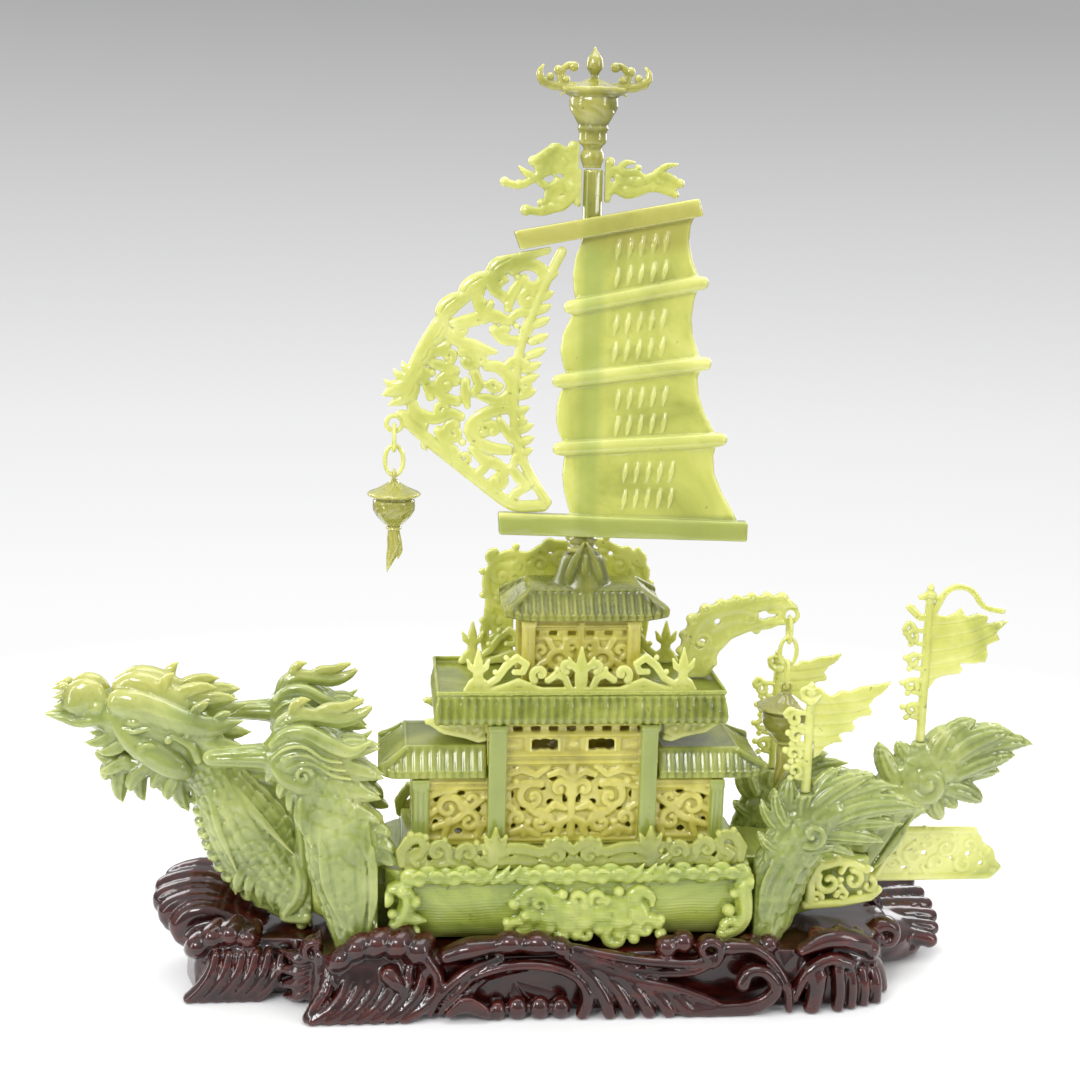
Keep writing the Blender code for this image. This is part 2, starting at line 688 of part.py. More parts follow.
# ------------------------------------------------------------ dragon prow
NECK = [(-206, 0, 84, 30, 28), (-232, 0, 95, 34, 29), (-256, 0, 114, 38, 30), (-273, 0, 140, 42, 30),
        (-286, 0, 162, 39, 29), (-300, 0, 186, 31, 27), (-312, 0, 206, 27, 25), (-322, 0, 226, 26, 24)]
HEAD = [(-320, 0, 232, 27, 24), (-350, 0, 262, 33, 31), (-384, 0, 276, 28, 30), (-414, 0, 280, 20, 23),
        (-440, 0, 281, 13, 18), (-456, 0, 279, 8, 12), (-464, 0, 275, 4, 7)]
JAW = [(-338, 0, 228, 22, 22), (-368, 0, 222, 17, 21), (-394, 0, 222, 12, 16), (-412, 0, 222, 7, 11), (-419, 0, 226, 3, 6)]
parts = [tube(NECK, 12, 12), tube(HEAD, 10, 8), tube(JAW, 8, 5)]
for s in (-1, 1):
    parts += [egg((-427, s * 11, 296), (12, 9, 12), 8, 4),                       # nose balls
              tube([(-405, s * 18, 292, 5, 5), (-384, s * 21, 305, 13, 9), (-352, s * 22, 301, 9, 8),
                    (-318, s * 24, 286, 6, 6), (-276, s * 26, 268, 0, 0)], 6, 6),   # brow running into a horn
              spike((-352, s * 16, 292), (-343, s * 18, 316), 6, 5),              # ear
              spike((-340, s * 10, 288), (-304, s * 14, 301), 7, 5, 0.12),         # horn
              spike((-330, s * 14, 276), (-286, s * 18, 287), 7, 5, 0.1),
              egg((-352, s * 20, 243), (26, 13, 18), 8, 4),                         # cheek
              spike((-408, s * 14, 268), (-430, s * 15, 246), 7, 4, -0.15),         # lip leaf
              spike((-392, s * 16, 264), (-406, s * 17, 240), 6, 4, -0.1),
              spike((-330, s * 20, 250), (-276, s * 24, 246), 8, 6, 0.08),          # mane
              spike((-326, s * 18, 236), (-291, s * 22, 222), 8, 6, -0.1)]
for bx, tx, tz, w in ((-404, -412, 203, 6), (-390, -398, 181, 7), (-370, -378, 183, 7), (-350, -357, 187, 7),
                      (-336, -343, 179, 8)):
    parts.append(spike((bx, 0, 216), (tx, 0, tz), w, 8, -0.12))                     # beard
parts += [spike((-450, 0, 280), (-469, 0, 270), 5, 6, -0.2), spike((-446, 0, 272), (-459, 0, 258), 5, 6, -0.1)]
DORSAL = spline([(-282, 208), (-257, 189), (-240, 168), (-226, 140)], 6)            # ridge of fins down the nape
for k, p in enumerate(DORSAL):
    parts.append(spike((p[0] - 9, 0, p[1] - 6), (p[0] + 8, 0, p[1] + 11), 9, 4, 0.1))
dragon = combine(parts)
dragon = combine([dragon, box(PROW_CUT, -100, -60, 60, 30, 200), box(-420, -100, -60, 60, 0, STAND_TOP + GAP)], 'DIFFERENCE')
make('dragon_prow', reduce(dragon, 900), JADE_GREEN)


# ------------------------------------------------------------ phoenix prows
def phoenix(side, s=1.0, dx=0.0, dz=0.0):
    """Neck fixed at its foot; head features scaled and shifted about the throat."""
    px, pz = -200.0, 225.0
    Y = side * PHOENIX_Y

    def h(x, z):
        return px + (x - px) * s + dx, pz + (z - pz) * s + dz

    def T(ctrl, sides, n):
        return tube([(*h(x, z)[:1], Y + side * y, h(x, z)[1], a * s, b * s) for x, y, z, a, b in ctrl], sides, n)

    def S(b, t, w, th, lift):
        (bx, bz), (tx, tz) = h(*b), h(*t)
        return spike((bx, Y, bz), (tx, Y, tz), w * s, th * s, lift)

    hx, hz = h(-214, 238)
    neck = [(-165, Y, 56, 20, 17), (-172, Y, 84, 26, 18), (-170, Y, 112, 32, 18.5), (-176, Y, 138, 37, 18.5),
            (-184, Y, 164, 35, 18.5), (-193, Y, 192, 31, 18), (-204 + dx * .7, Y, 216 + dz * .6, 30, 18),
            (hx, Y, hz, 27 * s, 18 * s)]
    out = [tube(neck, 10, 11),
           T([(-206, 0, 246, 25, 17), (-228, 0, 254, 25, 17), (-246, 0, 254, 20, 15), (-262, 0, 250, 14, 11),
              (-282, 0, 249, 9, 8), (-298, 0, 248, 5, 5), (-307, 0, 242, 0, 0)], 8, 7),         # head and beak
           T([(-236, 0, 234, 11, 12), (-262, 0, 234, 7, 8), (-289, 0, 232, 0, 0)], 6, 3),         # lower beak
           T([(-244, 0, 268, 8, 9), (-226, 0, 284, 10, 9), (-208, 0, 291, 10, 8), (-188, 0, 285, 9, 8),
              (-161, 0, 293, 0, 0)], 6, 6),                                                       # crest
           S((-200, 290), (-168, 302), 6, 6, 0.1), S((-222, 288), (-214, 302), 6, 6, 0.1),
           S((-204, 262), (-160, 266), 13, 9, 0.05), S((-200, 236), (-148, 225), 14, 9, 0.06),
           S((-205, 246), (-152, 244), 9, 7, 0.02), S((-196, 216), (-150, 204), 10, 8, 0.05),
           S((-188, 196), (-148, 181), 12, 9, 0.05), S((-176, 158), (-134, 126), 13, 9, 0.1),
           S((-232, 232), (-246, 205), 8, 8, -0.1), S((-222, 222), (-232, 190), 8, 8, -0.1)]
    wing = [(-172, Y, 128, 12, 15), (-146, Y, 112, 8, 9), (-136, Y, 92, 0, 0)]
    out.append(tube(wing, 5, 4))
    solid = combine(out)
    inner = box(-330, -100, -side * 80, side * (PROW_HALF + GAP + 0.2), 30, DECK + 25) if side > 0 else \
        box(-330, -100, side * (PROW_HALF + GAP + 0.2), 80, 30, DECK + 25)
    return combine([reduce(solid, 450), inner, box(HULL_FORE - GAP - 6, 0, -140, 140, 50, DECK + 3),
                    box(-330, -100, -140, 140, 0, STAND_TOP + GAP)], 'DIFFERENCE')


make('phoenix_prow_near', phoenix(-1), JADE_GREEN)
make('phoenix_prow_far', phoenix(1, FAR_SCALE, -10, 9), JADE_GREEN)


# ------------------------------------------------------------ stern tails
def side_tail(side, s):
    Y = side * TAIL_Y
    bx, bz = 226.0, 57.0

    def h(x, z):
        return bx + (x - bx) * s, bz + (z - bz) * s

    body = [(222, 62, 12), (226, 78, 22), (230, 104, 27), (238, 132, 27), (250, 158, 29), (264, 178, 24), (276, 188, 16)]
    out = [tube([(*h(x, z)[:1], Y, h(x, z)[1], a * s, 14 * s) for x, z, a in body], 10, 9)]
    flames = [((242, 168), (213, 198), 9), ((240, 186), (240, 222), 9), ((266, 186), (289, 231), 10),
              ((262, 190), (320, 223), 12), ((268, 184), (347, 210), 11), ((272, 178), (375, 187), 11),
              ((270, 168), (336, 155), 10), ((262, 158), (309, 141), 8), ((258, 140), (284, 128), 8)]
    for b, t, w in flames:
        (x0, z0), (x1, z1) = h(*b), h(*t)
        out.append(spike((x0, Y, z0), (x1, Y, z1), w * s, 9 * s, 0.1))
    sx, sz = h(256, 206)
    out.append(lathe(sx, Y, [(6.5, sz), (7.5, sz - 26)], 8))             # seat of the flag pole
    solid = combine(out)
    lo = PROW_HALF + GAP
    inner = box(150, 400, -90, 90, 0, STAND_TOP + GAP)
    stern = box(150, 400, min(0, side * lo), max(0, side * lo), 0, 260)
    pole = box(sx - 6.6, sx + 6.6, Y - 16, Y + 16, sz, sz + 80)
    return combine([reduce(solid, 340), inner, stern, pole, box(100, HULL_AFT + GAP + 4, -100, 100, 0, DECK + 3)], 'DIFFERENCE'), (sx, sz)


near_tail, near_seat = side_tail(-1, 1.0)
far_tail, far_seat = side_tail(1, FAR_SCALE)
make('tail_near', near_tail, JADE_GREEN)
make('tail_far', far_tail, JADE_GREEN)

CENTRE_SEAT = (386.0, 236.0)
parts = [tube([(316, 0, 96, 15, 16), (327, 0, 112, 18, 16), (338, 0, 134, 20, 16), (354, 0, 160, 24, 17),
               (374, 0, 188, 32, 18), (396, 0, 206, 32, 17), (420, 0, 214, 22, 14)], 10, 9),
         lathe(CENTRE_SEAT[0], 0, [(7, CENTRE_SEAT[1]), (8, CENTRE_SEAT[1] - 26)], 8),
         combine([egg((391, 0, 199), (17, 22, 17), 10, 4)])]              # spiral boss
for b, t, w in (((360, 196), (343, 235), 10), ((404, 222), (442, 258), 11), ((414, 218), (479, 245), 12),
                ((420, 210), (505, 231), 12), ((418, 200), (471, 204), 11), ((410, 192), (453, 171), 11),
                ((398, 180), (413, 156), 10), ((352, 178), (333, 206), 8)):
    parts.append(spike((b[0], 0, b[1]), (t[0], 0, t[1]), w, 9, 0.1))
tail = combine(parts)
make('tail_centre', combine([reduce(tail, 400), box(250, STERN_CUT, -60, 60, 60, 124 + GAP), box(250, 400, -60, 60, 50, 99.6),
                             box(CENTRE_SEAT[0] - 7, CENTRE_SEAT[0] + 7, -30, 30, CENTRE_SEAT[1], 300)], 'DIFFERENCE'), JADE_GREEN)


# ------------------------------------------------------------ flags
def flag(name, x, z0, z1, y, poly, rgb, half=4.0, back=0):
    """A pole with its ragged pennant streaming aft and cloud scrolls on its fore side, one pierced plate."""
    H = z1 - z0
    strokes = [bar(x, z0 + 2, x, z1 - 3, 4.2, 3.6)]
    for k, f in enumerate((0.28, 0.48, 0.68)):
        strokes.append(spiral(x - 13, z0 + H * f, 9, 4, -60 + 40 * k, 250, 3.2, 3.0, 10))
        strokes.append(bar(x - 12, z0 + H * f - 8, x, z0 + H * f - 10, 3.0))
    if back:                                           # ribbon curling round the pole, then aft to a swallowtail
        strokes.append(spline([(x - 20, 374, 3.4), (x - 7, 362, 4), (x + 5, 370, 4), (x + 15, 391, 4), (x + 28, 397, 4), (x + 42, 391, 4),
                               (x + 52, 377, 3.6), (x + 74, 370, 2.4)], 12))
    floor = [bar(x - 40, z0 - 10, x + 60, z0 - 10, 10)]
    return make(name, plate(strokes, y - half, y + half, 44, polys=[poly], holes=floor), rgb)


CENTRE_FLAG = [(385, 370), (396, 366), (405, 366), (418, 374), (426, 365), (446, 365), (445, 358), (468, 360), (456, 348), (460, 340),
               (446, 335), (446, 318), (421, 317), (421, 306), (404, 303), (391, 293), (385, 292)]
SIDE_FLAG = [(0, 106), (10, 104), (21, 96), (29, 102), (40, 99), (49, 106), (78, 110), (68, 98), (56, 87), (58, 78), (41, 71), (42, 61),
             (29, 58), (33, 50), (16, 45), (6, 34), (0, 33)]
flag('flag_centre', CENTRE_SEAT[0], CENTRE_SEAT[1] + GAP, 399.0, 0.0, CENTRE_FLAG, JADE_PALE, back=1)
flag('flag_near', near_seat[0], near_seat[1] + GAP, 317.0, -TAIL_Y, [(near_seat[0] + a, 206 + b) for a, b in SIDE_FLAG], JADE_PALE)
flag('flag_far', far_seat[0], far_seat[1] + GAP, 316.0, TAIL_Y, [(far_seat[0] + a * .9, 205 + b) for a, b in SIDE_FLAG], JADE_PALE)

# ------------------------------------------------------------ rudder and stern scrolls
RX0, RX1 = STERN_CUT + 0.0, 476.0
rud = [[(RX0 + 5.2, 93, 5), (400, 92, 4.5), (460, 92, 5), (470, 96, 6)], bar(374, 142, 444, 141, 4.5),
       [(444, 141, 5), (452, 127, 6), (464, 116, 7), (469, 102, 7)], bar(350, 96, 374, 142, 4.2),
       spiral(392, 120, 12, 5, 100, 440, 4.2, 3.6), spiral(424, 112, 13, 5, 60, -260, 4.2, 3.6),
       spiral(446, 108, 9, 4, 150, 420, 4, 3.4), spiral(410, 132, 8, 4, 200, 470, 3.6, 3.2),
       bar(372, 112, 392, 98, 4), bar(400, 104, 420, 130, 3.8), bar(432, 128, 446, 136, 4)]
rudder = plate(rud, -4.5, 4.5, 60, least=18, holes=[])
make('rudder', rudder, JADE_PALE)

WY = PROW_HALF + GAP + 0.2
scr = [[(266, 84, 5), (300, 87, 5), (332, 95, 5)], [(272, 90, 5), (272, 112, 6), (280, 126, 6), (306, 125, 5), (318, 121, 5)],
       spiral(292, 106, 12, 4, 160, 440, 4.4, 3.6), spiral(318, 106, 11, 4, 90, -200, 4.4, 3.6), bar(300, 92, 316, 100, 4)]
for nm, s in (('stern_scroll_near', -1), ('stern_scroll_far', 1)):
    make(nm, plate(scr, min(s * WY, s * (WY + 9)), max(s * WY, s * (WY + 9)), 26, least=16), JADE_PALE)


# ------------------------------------------------------------ cabin walls
Z0 = DECK + 14 + GAP
WALL_TOP = MAIN_ROOF[3] - GAP
wall = [bar(-46, Z0 + 4, 110, Z0 + 4, 6), bar(-46, WALL_TOP - 4, 110, WALL_TOP - 4, 6), bar(-46, 247, 110, 247, 4),
        bar(-46, 226, 110, 226, 9), bar(-30, Z0, -30, WALL_TOP, 9), bar(94, Z0, 94, WALL_TOP, 9)]
half_wall = [spiral(-6, 196, 14, 5, 60, 400, 5, 4.4), spiral(2, 174, 11, 4, 120, -200, 5, 4.4),
             bar(-30, 206, -6, 210, 4.5), bar(-8, 186, 20, 168, 5), spiral(20, 202, 9, 4, -30, 250, 4.4, 4),
             bar(MID_X, 162, MID_X, 216, 5), bar(10, 226, 10, 250, 8), bar(-16, 247, -16, 272, 8),
             bar(-20, 160, 4, 166, 5)]
wall += half_wall + mirrored(half_wall)
fore_wing = [bar(-112.5, Z0, -112.5, 214, 9.5), bar(-112, Z0 + 4, -46, Z0 + 4, 6), bar(-112, 212, -46, 212, 5.5),
             spiral(-84, 190, 11, 4, 0, 330, 4.6, 4), spiral(-66, 176, 10, 4, 90, -220, 4.6, 4), bar(-98, 170, -50, 200, 4.6),
             bar(-90, 154, -84, 178, 5)]
aft_wing = [bar(172, Z0, 172, 211, 7), bar(108, Z0 + 4, 172, Z0 + 4, 6), bar(108, 210, 172, 210, 5.5),
            spiral(140, 188, 11, 4, 180, -150, 4.6, 4), spiral(126, 172, 9, 4, 90, 400, 4.6, 4), bar(112, 196, 164, 168, 4.6),
            bar(150, 154, 146, 178, 5)]
FLOOR = [bar(-300, Z0 - 30, 400, Z0 - 30, 30)]
ROOFLINE = [bar(-300, WALL_TOP + 30, 400, WALL_TOP + 30, 30)]
UNDER_FORE = box(-300, FORE_ROOF[1] + GAP, -90, 90, FORE_ROOF[3] - GAP, 262)
UNDER_AFT = box(AFT_ROOF[0] - GAP, 300, -90, 90, AFT_ROOF[3] - GAP, 262)
for nm, s in (('cabin_side_near', -1), ('cabin_side_far', 1)):
    ys = sorted((s * CABIN_Y, s * (CABIN_Y - WALL)))
    body = plate(wall + fore_wing + aft_wing, ys[0], ys[1], 96, holes=FLOOR + ROOFLINE, least=26)
    cs = [body]
    for x0, x1, zt, yo in ((-50, -31, WALL_TOP, COLUMN_Y), (95, 113, WALL_TOP, COLUMN_Y), (-121, -104, 218.7, 52),
                           (165, 179, 216.7, 52)):
        ya, yb = sorted((s * (CABIN_Y - WALL + 1), s * yo))
        cs.append(box(x0, x1, ya, yb, Z0, zt))
    make(nm, combine([reduce(combine(cs), 440), UNDER_FORE, UNDER_AFT], 'DIFFERENCE'), JADE_PALE)

for nm, x, zt in (('cabin_end_fore', -118.0, 214.0), ('cabin_end_aft', 170.0, 212.0)):
    e = CABIN_Y - WALL - GAP
    rails = [bar(-e + 5, Z0 + 4, e - 5, Z0 + 4, 5.5), bar(-e + 5, zt - 6, e - 5, zt - 6, 5.5), bar(-e + 5, Z0, -e + 5, zt, 5),
             bar(e - 5, Z0, e - 5, zt, 5), spiral(-10, 182, 12, 4, 30, 330, 4.5, 4), spiral(12, 182, 12, 4, 150, -150, 4.5, 4),
             bar(0, 152, 0, 210, 4), bar(-30, 182, -18, 182, 4), bar(18, 182, 30, 182, 4)]
    cut = [bar(-90, Z0 - 20, 90, Z0 - 20, 20), bar(-90, zt + 20, 90, zt + 20, 20), bar(-e - 20, 100, -e - 20, 260, 20),
           bar(e + 20, 100, e + 20, 260, 20)]
    p = plate(rails, x, x + 6, 28, holes=cut, least=30)
    make(nm, moved(p, lambda a, b, c: (b, a, c)), JADE_PALE)


# ------------------------------------------------------------ roofs
def roof(x0, x1, hd, z0, z1, pitch_x, pitch_y, flutes, lift=0.0, sunk=0.0, open_end=None):
    """Hipped roof with a fluted slope, scalloped eave and corners that turn up.
    Rings run: underside, eave, slope foot, ridge line, top."""
    nx = flutes
    ny = max(4, int(round(flutes * (2 * hd) / (x1 - x0))))

    def outline(inset_x, inset_y, z, amp, up):
        a0 = x0 + (inset_x if open_end != 'fore' else 0)
        a1 = x1 - (inset_x if open_end != 'aft' else 0)
        b = hd - inset_y
        ring = []
        for side in range(4):
            m = (nx, ny, nx, ny)[side]
            for k in range(m):
                t = k / m
                w = amp * (k % 2)
                e = abs(2 * t - 1) ** 6 * up
                if side == 0:
                    ring.append((a0 + (a1 - a0) * t, -b + w, z + e))
                elif side == 1:
                    flat = open_end == 'aft'
                    ring.append((a1 - (0 if flat else w), -b + 2 * b * t, z + e))
                elif side == 2:
                    ring.append((a1 - (a1 - a0) * t, b - w, z + e))
                else:
                    flat = open_end == 'fore'
                    ring.append((a0 + (0 if flat else w), b - 2 * b * t, z + e))
        return ring

    H = z1 - z0
    rings = [outline(4, 4, z0, 0, 0), outline(0, 0, z0 + 0.10 * H, 2.2, lift), outline(0.6, 0.6, z0 + 0.26 * H, 1.8, lift),
             outline(pitch_x, pitch_y, z1 - 0.12 * H, 0.6, 0.4 * lift), outline(pitch_x, pitch_y, z1, 0, 0.4 * lift)]
    if sunk:
        rings += [outline(pitch_x + 5, pitch_y + 5, z1, 0, 0), outline(pitch_x + 5, pitch_y + 5, z1 - sunk, 0, 0)]
    V, F = loft(rings)
    return V, F


make('main_roof', roof(*MAIN_ROOF, 5, 5, 16, 1.5, MAIN_ROOF[4] - ROOF_DECK), JADE_OLIVE)
make('fore_roof', roof(*FORE_ROOF, 26, 12, 8, 7, 0, open_end='aft'), JADE_OLIVE)
make('aft_roof', roof(*AFT_ROOF, 28, 12, 8, 7, 0, open_end='fore'), JADE_OLIVE)

pav = roof(*PAV_ROOF, 26, 20, 14, 6, 0)
SOCKET_TOP = 428.0
socket = lathe(MAST_X, 0, [(18, SOCKET_TOP), (19, 420), (26, 412), (24, 404), (32, 399), (30, 392)], 10)
ogee = plate([[(MAST_X - 38, 402, 5), (MAST_X - 26, 408, 6), (MAST_X - 12, 420, 7), (MAST_X, 436, 3)],
              [(MAST_X + 38, 402, 5), (MAST_X + 26, 408, 6), (MAST_X + 12, 420, 7), (MAST_X, 436, 3)],
              bar(MAST_X - 34, 399, MAST_X + 34, 399, 5), spiral(MAST_X, 412, 5, 2, 0, 200, 5, 5)], -27, -19, 22)
bore = lathe(MAST_X, 0, [(MAST_R0 + GAP, 460), (MAST_R0 + GAP, PAV_ROOF[4] - 6)], 12)
pav = combine([reduce(combine([pav, socket, ogee]), 440), bore], 'DIFFERENCE')
make('pavilion_roof', pav, JADE_OLIVE)

# ------------------------------------------------------------ pavilion on the main roof
PZ0, PZ1 = ROOF_DECK + GAP, PAV_ROOF[3] - GAP
pw = [bar(-12, PZ0 + 4, 88, PZ0 + 4, 5), bar(-12, PZ1 - 5, 88, PZ1 - 5, 6), bar(-4, 352, 80, 352, 3.6)]
hp = [spiral(16, 330, 11, 4, 20, 330, 4.4, 4), bar(-8, 322, 8, 330, 4.2), spiral(2, 358, 6, 3, 0, 250, 3.4, 3),
      bar(MID_X + 6, 306, MID_X + 6, 366, 4)]
pw += hp + mirrored(hp, MID_X + 6)
PCUT = [bar(-200, PZ0 - 20, 300, PZ0 - 20, 20), bar(-200, PZ1 + 20, 300, PZ1 + 20, 20)]
for nm, s in (('pavilion_side_near', -1), ('pavilion_side_far', 1)):
    ys = sorted((s * 28, s * 34))
    cs = [plate(pw, ys[0], ys[1], 40, holes=PCUT, least=20)]
    for x0, x1 in ((-19, -5), (81, 95)):
        ya, yb = sorted((s * 27, s * 40))
        cs.append(box(x0, x1, ya, yb, PZ0, PZ1))
    make(nm, combine(cs), JADE_PALE)


# ------------------------------------------------------------ rails
def deck_rail():
    half = [spiral(-96, 152, 12, 4, -20, 300, 5, 4), [(-112, 138, 5), (-110, 150, 5), (-104, 162, 5)],
            spiral(-66, 156, 11, 4, 200, -80, 5, 4), bar(-90, 140, -60, 142, 5), [(-46, 138, 7), (-42, 156, 8), (-38, 172, 3)],
            [(-52, 166, 3), (-42, 158, 5), (-30, 166, 3)], [(-36, 150, 5), (-12, 144, 7), (10, 150, 5), (24, 158, 4)],
            [(4, 140, 5), (14, 148, 7), (26, 141, 6)], bar(-112, 138, MID_X, 138, 4)]
    return half + mirrored(half)


def roof_rail():
    c = MID_X + 5
    half = [[(-60, 309, 6), (-60, 328, 6), (-60, 345, 2.4)], spiral(-69, 326, 4, 2, 0, 200, 3, 3), bar(-72, 330, -50, 330, 3.4),
            spiral(-26, 326, 11, 4, 60, 330, 4.6, 3.6), [(-56, 314, 4), (-36, 314, 5), (-14, 318, 4)],
            [(-10, 312, 4), (4, 322, 5), (20, 318, 4), (30, 330, 4)], [(c, 309, 6), (c, 330, 7), (c, 348, 2.4)],
            bar(-62, 311, c, 311, 3.4)]
    return half + mirrored(half, c)


for nm, s in (('deck_rail_near', -1), ('deck_rail_far', 1)):
    y = sorted((s * 63.0, s * 71.0))
    make(nm, plate(deck_rail(), y[0], y[1], 64, least=18, holes=[bar(-300, DECK + GAP - 20, 400, DECK + GAP - 20, 20)]), JADE)
for nm, s in (('roof_rail_near', -1), ('roof_rail_far', 1)):
    y = sorted((s * 47.0, s * 53.0))
    make(nm, plate(roof_rail(), y[0], y[1], 52, least=18, holes=[bar(-300, ROOF_DECK + GAP - 20, 400, ROOF_DECK + GAP - 20, 20)]),
         JADE_PALE)

# tall cloud screen behind the pavilion
cs = [bar(-40, 313, 112, 313, 4), [(-40, 308, 5), (-46, 340, 5), (-38, 372, 5), (-44, 396, 5), (-28, 412, 4)],
      spiral(-26, 388, 12, 4, 120, 430, 4.6, 4), spiral(-30, 350, 11, 4, 240, -60, 4.6, 4), spiral(-30, 324, 8, 4, 90, 380, 4.4, 4),
      [(-28, 410, 5), (-4, 414, 5), (20, 424, 5), (40, 418, 5), (66, 424, 5), (90, 414, 5), (108, 400, 5)],
      spiral(98, 388, 11, 4, 60, -240, 4.6, 4), spiral(6, 404, 9, 4, 200, 480, 4.4, 4), spiral(72, 404, 9, 4, -20, -300, 4.4, 4),
      [(108, 400, 5), (112, 372, 5), (108, 340, 5), (110, 308, 5)], bar(-16, 394, 96, 394, 4), bar(96, 394, 110, 360, 4),
      bar(-16, 308, -20, 392, 4)]
make('cloud_screen', plate(cs, 55.5, 60.0, 60, least=24, holes=[bar(-300, MAIN_ROOF[4] + GAP - 20, 400, MAIN_ROOF[4] + GAP - 20, 20)]), JADE_PALE)

# scroll brackets between the wing roofs and the main roof
br = [spiral(-74, 262, 9, 4, 120, -160, 4, 3.6), [(-98, 270, 4), (-88, 256, 4.4), (-66, 254, 4.4), (-54, 262, 4)],
      bar(-100, 271, -52, 271, 4)]
BCUT = [bar(-300, MAIN_ROOF[3] - GAP + 20, 400, MAIN_ROOF[3] - GAP + 20, 20), bar(-300, FORE_ROOF[4] + GAP - 20, 60, FORE_ROOF[4] + GAP - 20, 20)]
for nm, st in (('bracket_fore', br), ('bracket_aft', mirrored(br))):
    for w, s in (('_near', -1), ('_far', 1)):
        y = sorted((s * 31.0, s * 37.0))
        make(nm + w, plate(st, y[0], y[1], 16, holes=BCUT, least=20), JADE_PALE)

# ------------------------------------------------------------ mast, sail, jib
M0 = PAV_ROOF[4] - 6 + GAP
mast = lathe(MAST_X, 0, [(MAST_R1, MAST_TOP), (MAST_R1 + .4, 740), (MAST_R0 - .6, 470), (MAST_R0, 440), (MAST_R0, M0)], 12)
make('mast', mast, JADE_GREEN)


def panel(tl, bl, br_, tr, sag_l, sag_r):
    """Sail cloth between two battens: scalloped luff, hollow leech."""
    L = [(bl[0] - sag_l * math.sin(math.pi * t) + (tl[0] - bl[0]) * t, bl[1] + (tl[1] - bl[1]) * t) for t in np.linspace(0, 1, 6)]
    R = [(tr[0] + (br_[0] - tr[0]) * t - sag_r * math.sin(math.pi * t), tr[1] + (br_[1] - tr[1]) * t) for t in np.linspace(0, 1, 6)]
    return L + R


BATTENS = [((-28, 721), (136, 754), 10.0), ((20, 662), (142, 686), 7.5), ((12, 594), (147, 612), 7.5),
           ((14, 531), (166, 541), 7.5), ((-40, 461), (193, 454), 10.0)]
PANELS = [((24, 731), (24, 664), (136, 686), (137, 753), 4, 8), ((22, 660), (19, 596), (143, 612), (140, 684), 6, 6),
          ((18, 592), (18, 534), (162, 541), (146, 610), 7, 8), ((20, 530), (22, 462), (186, 458), (164, 539), 4, 9)]
cloth = plate([], SAIL_FRONT, SAIL_BACK, 46, polys=[panel(*p) for p in PANELS] +
              [[(20, 664), (138, 688), (140, 682), (20, 658)], [(16, 598), (144, 614), (146, 608), (16, 590)],
               [(18, 536), (162, 544), (164, 538), (18, 528)]])
parts = [cloth]
YARD = [(-32, 730), (-27, 713), (140, 746), (136, 762)]            # square-ended; the battens have round ends
BOOM = [(-42, 471), (-41, 450), (195, 444), (195, 463)]
for (ax, az), (bx, bz), r in BATTENS[1:-1]:
    parts.append(plate([bar(ax, az, bx, bz, r)], BAR_FRONT, SAIL_BACK - 0.0, 8))
for ends in (YARD, BOOM):
    parts.append(plate([], BAR_FRONT, SAIL_BACK - 0.0, 8, polys=[ends]))
sail = combine(parts)
# four rows of plain raised strokes, one row to a panel
for cz, cx, n in ((704, 83, 3), (634, 89, 4), (566, 94, 4), (498, 97, 4)):
    for k in range(n):
        x = cx + (k - (n - 1) / 2) * 11
        sail = combine([sail, box(x - 3, x + 3, SAIL_FRONT - 2, SAIL_FRONT + 2, cz - 15, cz + 15)])
make('sail', reduce(sail, 480), JADE_PALE)

OUTER = [(-4, 706), (-28, 702), (-59, 684), (-90, 655), (-112, 625), (-124, 600), (-128, 580)]
INNER = [(4, 704), (-8, 672), (-20, 636), (-28, 600), (-29, 570), (-25, 538), (-14, 508), (2, 482)]
BOTTOM = [(-128, 566), (-109, 540), (-70, 508), (-34, 482), (-4, 479)]
jib = [[(*p, 6.5) for p in spline(OUTER, 14)], [(*p, 6.5) for p in spline(INNER, 14)], [(*p, 8.5) for p in spline(BOTTOM, 9)]]
jib += [[(p[0] - 4, p[1] + 4, 6)] for p in spline(OUTER, 12)[1:-1]]                 # scalloped luff
jib += [spiral(-60, 660, 15, 5, 20, 330, 4.6, 4), spiral(-44, 622, 13, 5, 160, -150, 4.6, 4), spiral(-84, 620, 16, 5, 60, 400, 5, 4),
        spiral(-70, 578, 14, 5, -30, 290, 5, 4), spiral(-98, 574, 13, 5, 150, -150, 4.6, 4), spiral(-50, 540, 13, 5, 80, -240, 4.6, 4),
        spiral(-34, 690, 9, 4, 0, 300, 4.2, 4), bar(-110, 600, -60, 600, 4.4), bar(-56, 644, -20, 640, 4.4), bar(-64, 596, -30, 560, 4.4),
        bar(-80, 520, -60, 556, 4.4), bar(-40, 672, -10, 690, 4.2), bar(-36, 520, -28, 548, 4.2),
        [(-128, 580, 8), (-140, 590, 7), (-148, 600, 3)], [(-128, 575, 7), (-145, 578, 3)]]
JCUT = [bar(-88, 709, 136, 754, 10.7), bar(-100, 462.8, 193, 454, 10.7), [(-139, 553, 8.6)]]


def eye(cx, cz, cy):
    """A thin carved eye, 5 mm bore, that the first chain link hangs in."""
    return ring_link((cx, cy, cz), 9.6, 9.6, 2.3, 'XZ', 12, 6)


make('jib', combine([plate(jib, SAIL_FRONT - 3, SAIL_BACK, 120, holes=JCUT, least=34), eye(-139, 553, (SAIL_FRONT - 3 + SAIL_BACK) / 2)]),
     JADE_PALE)


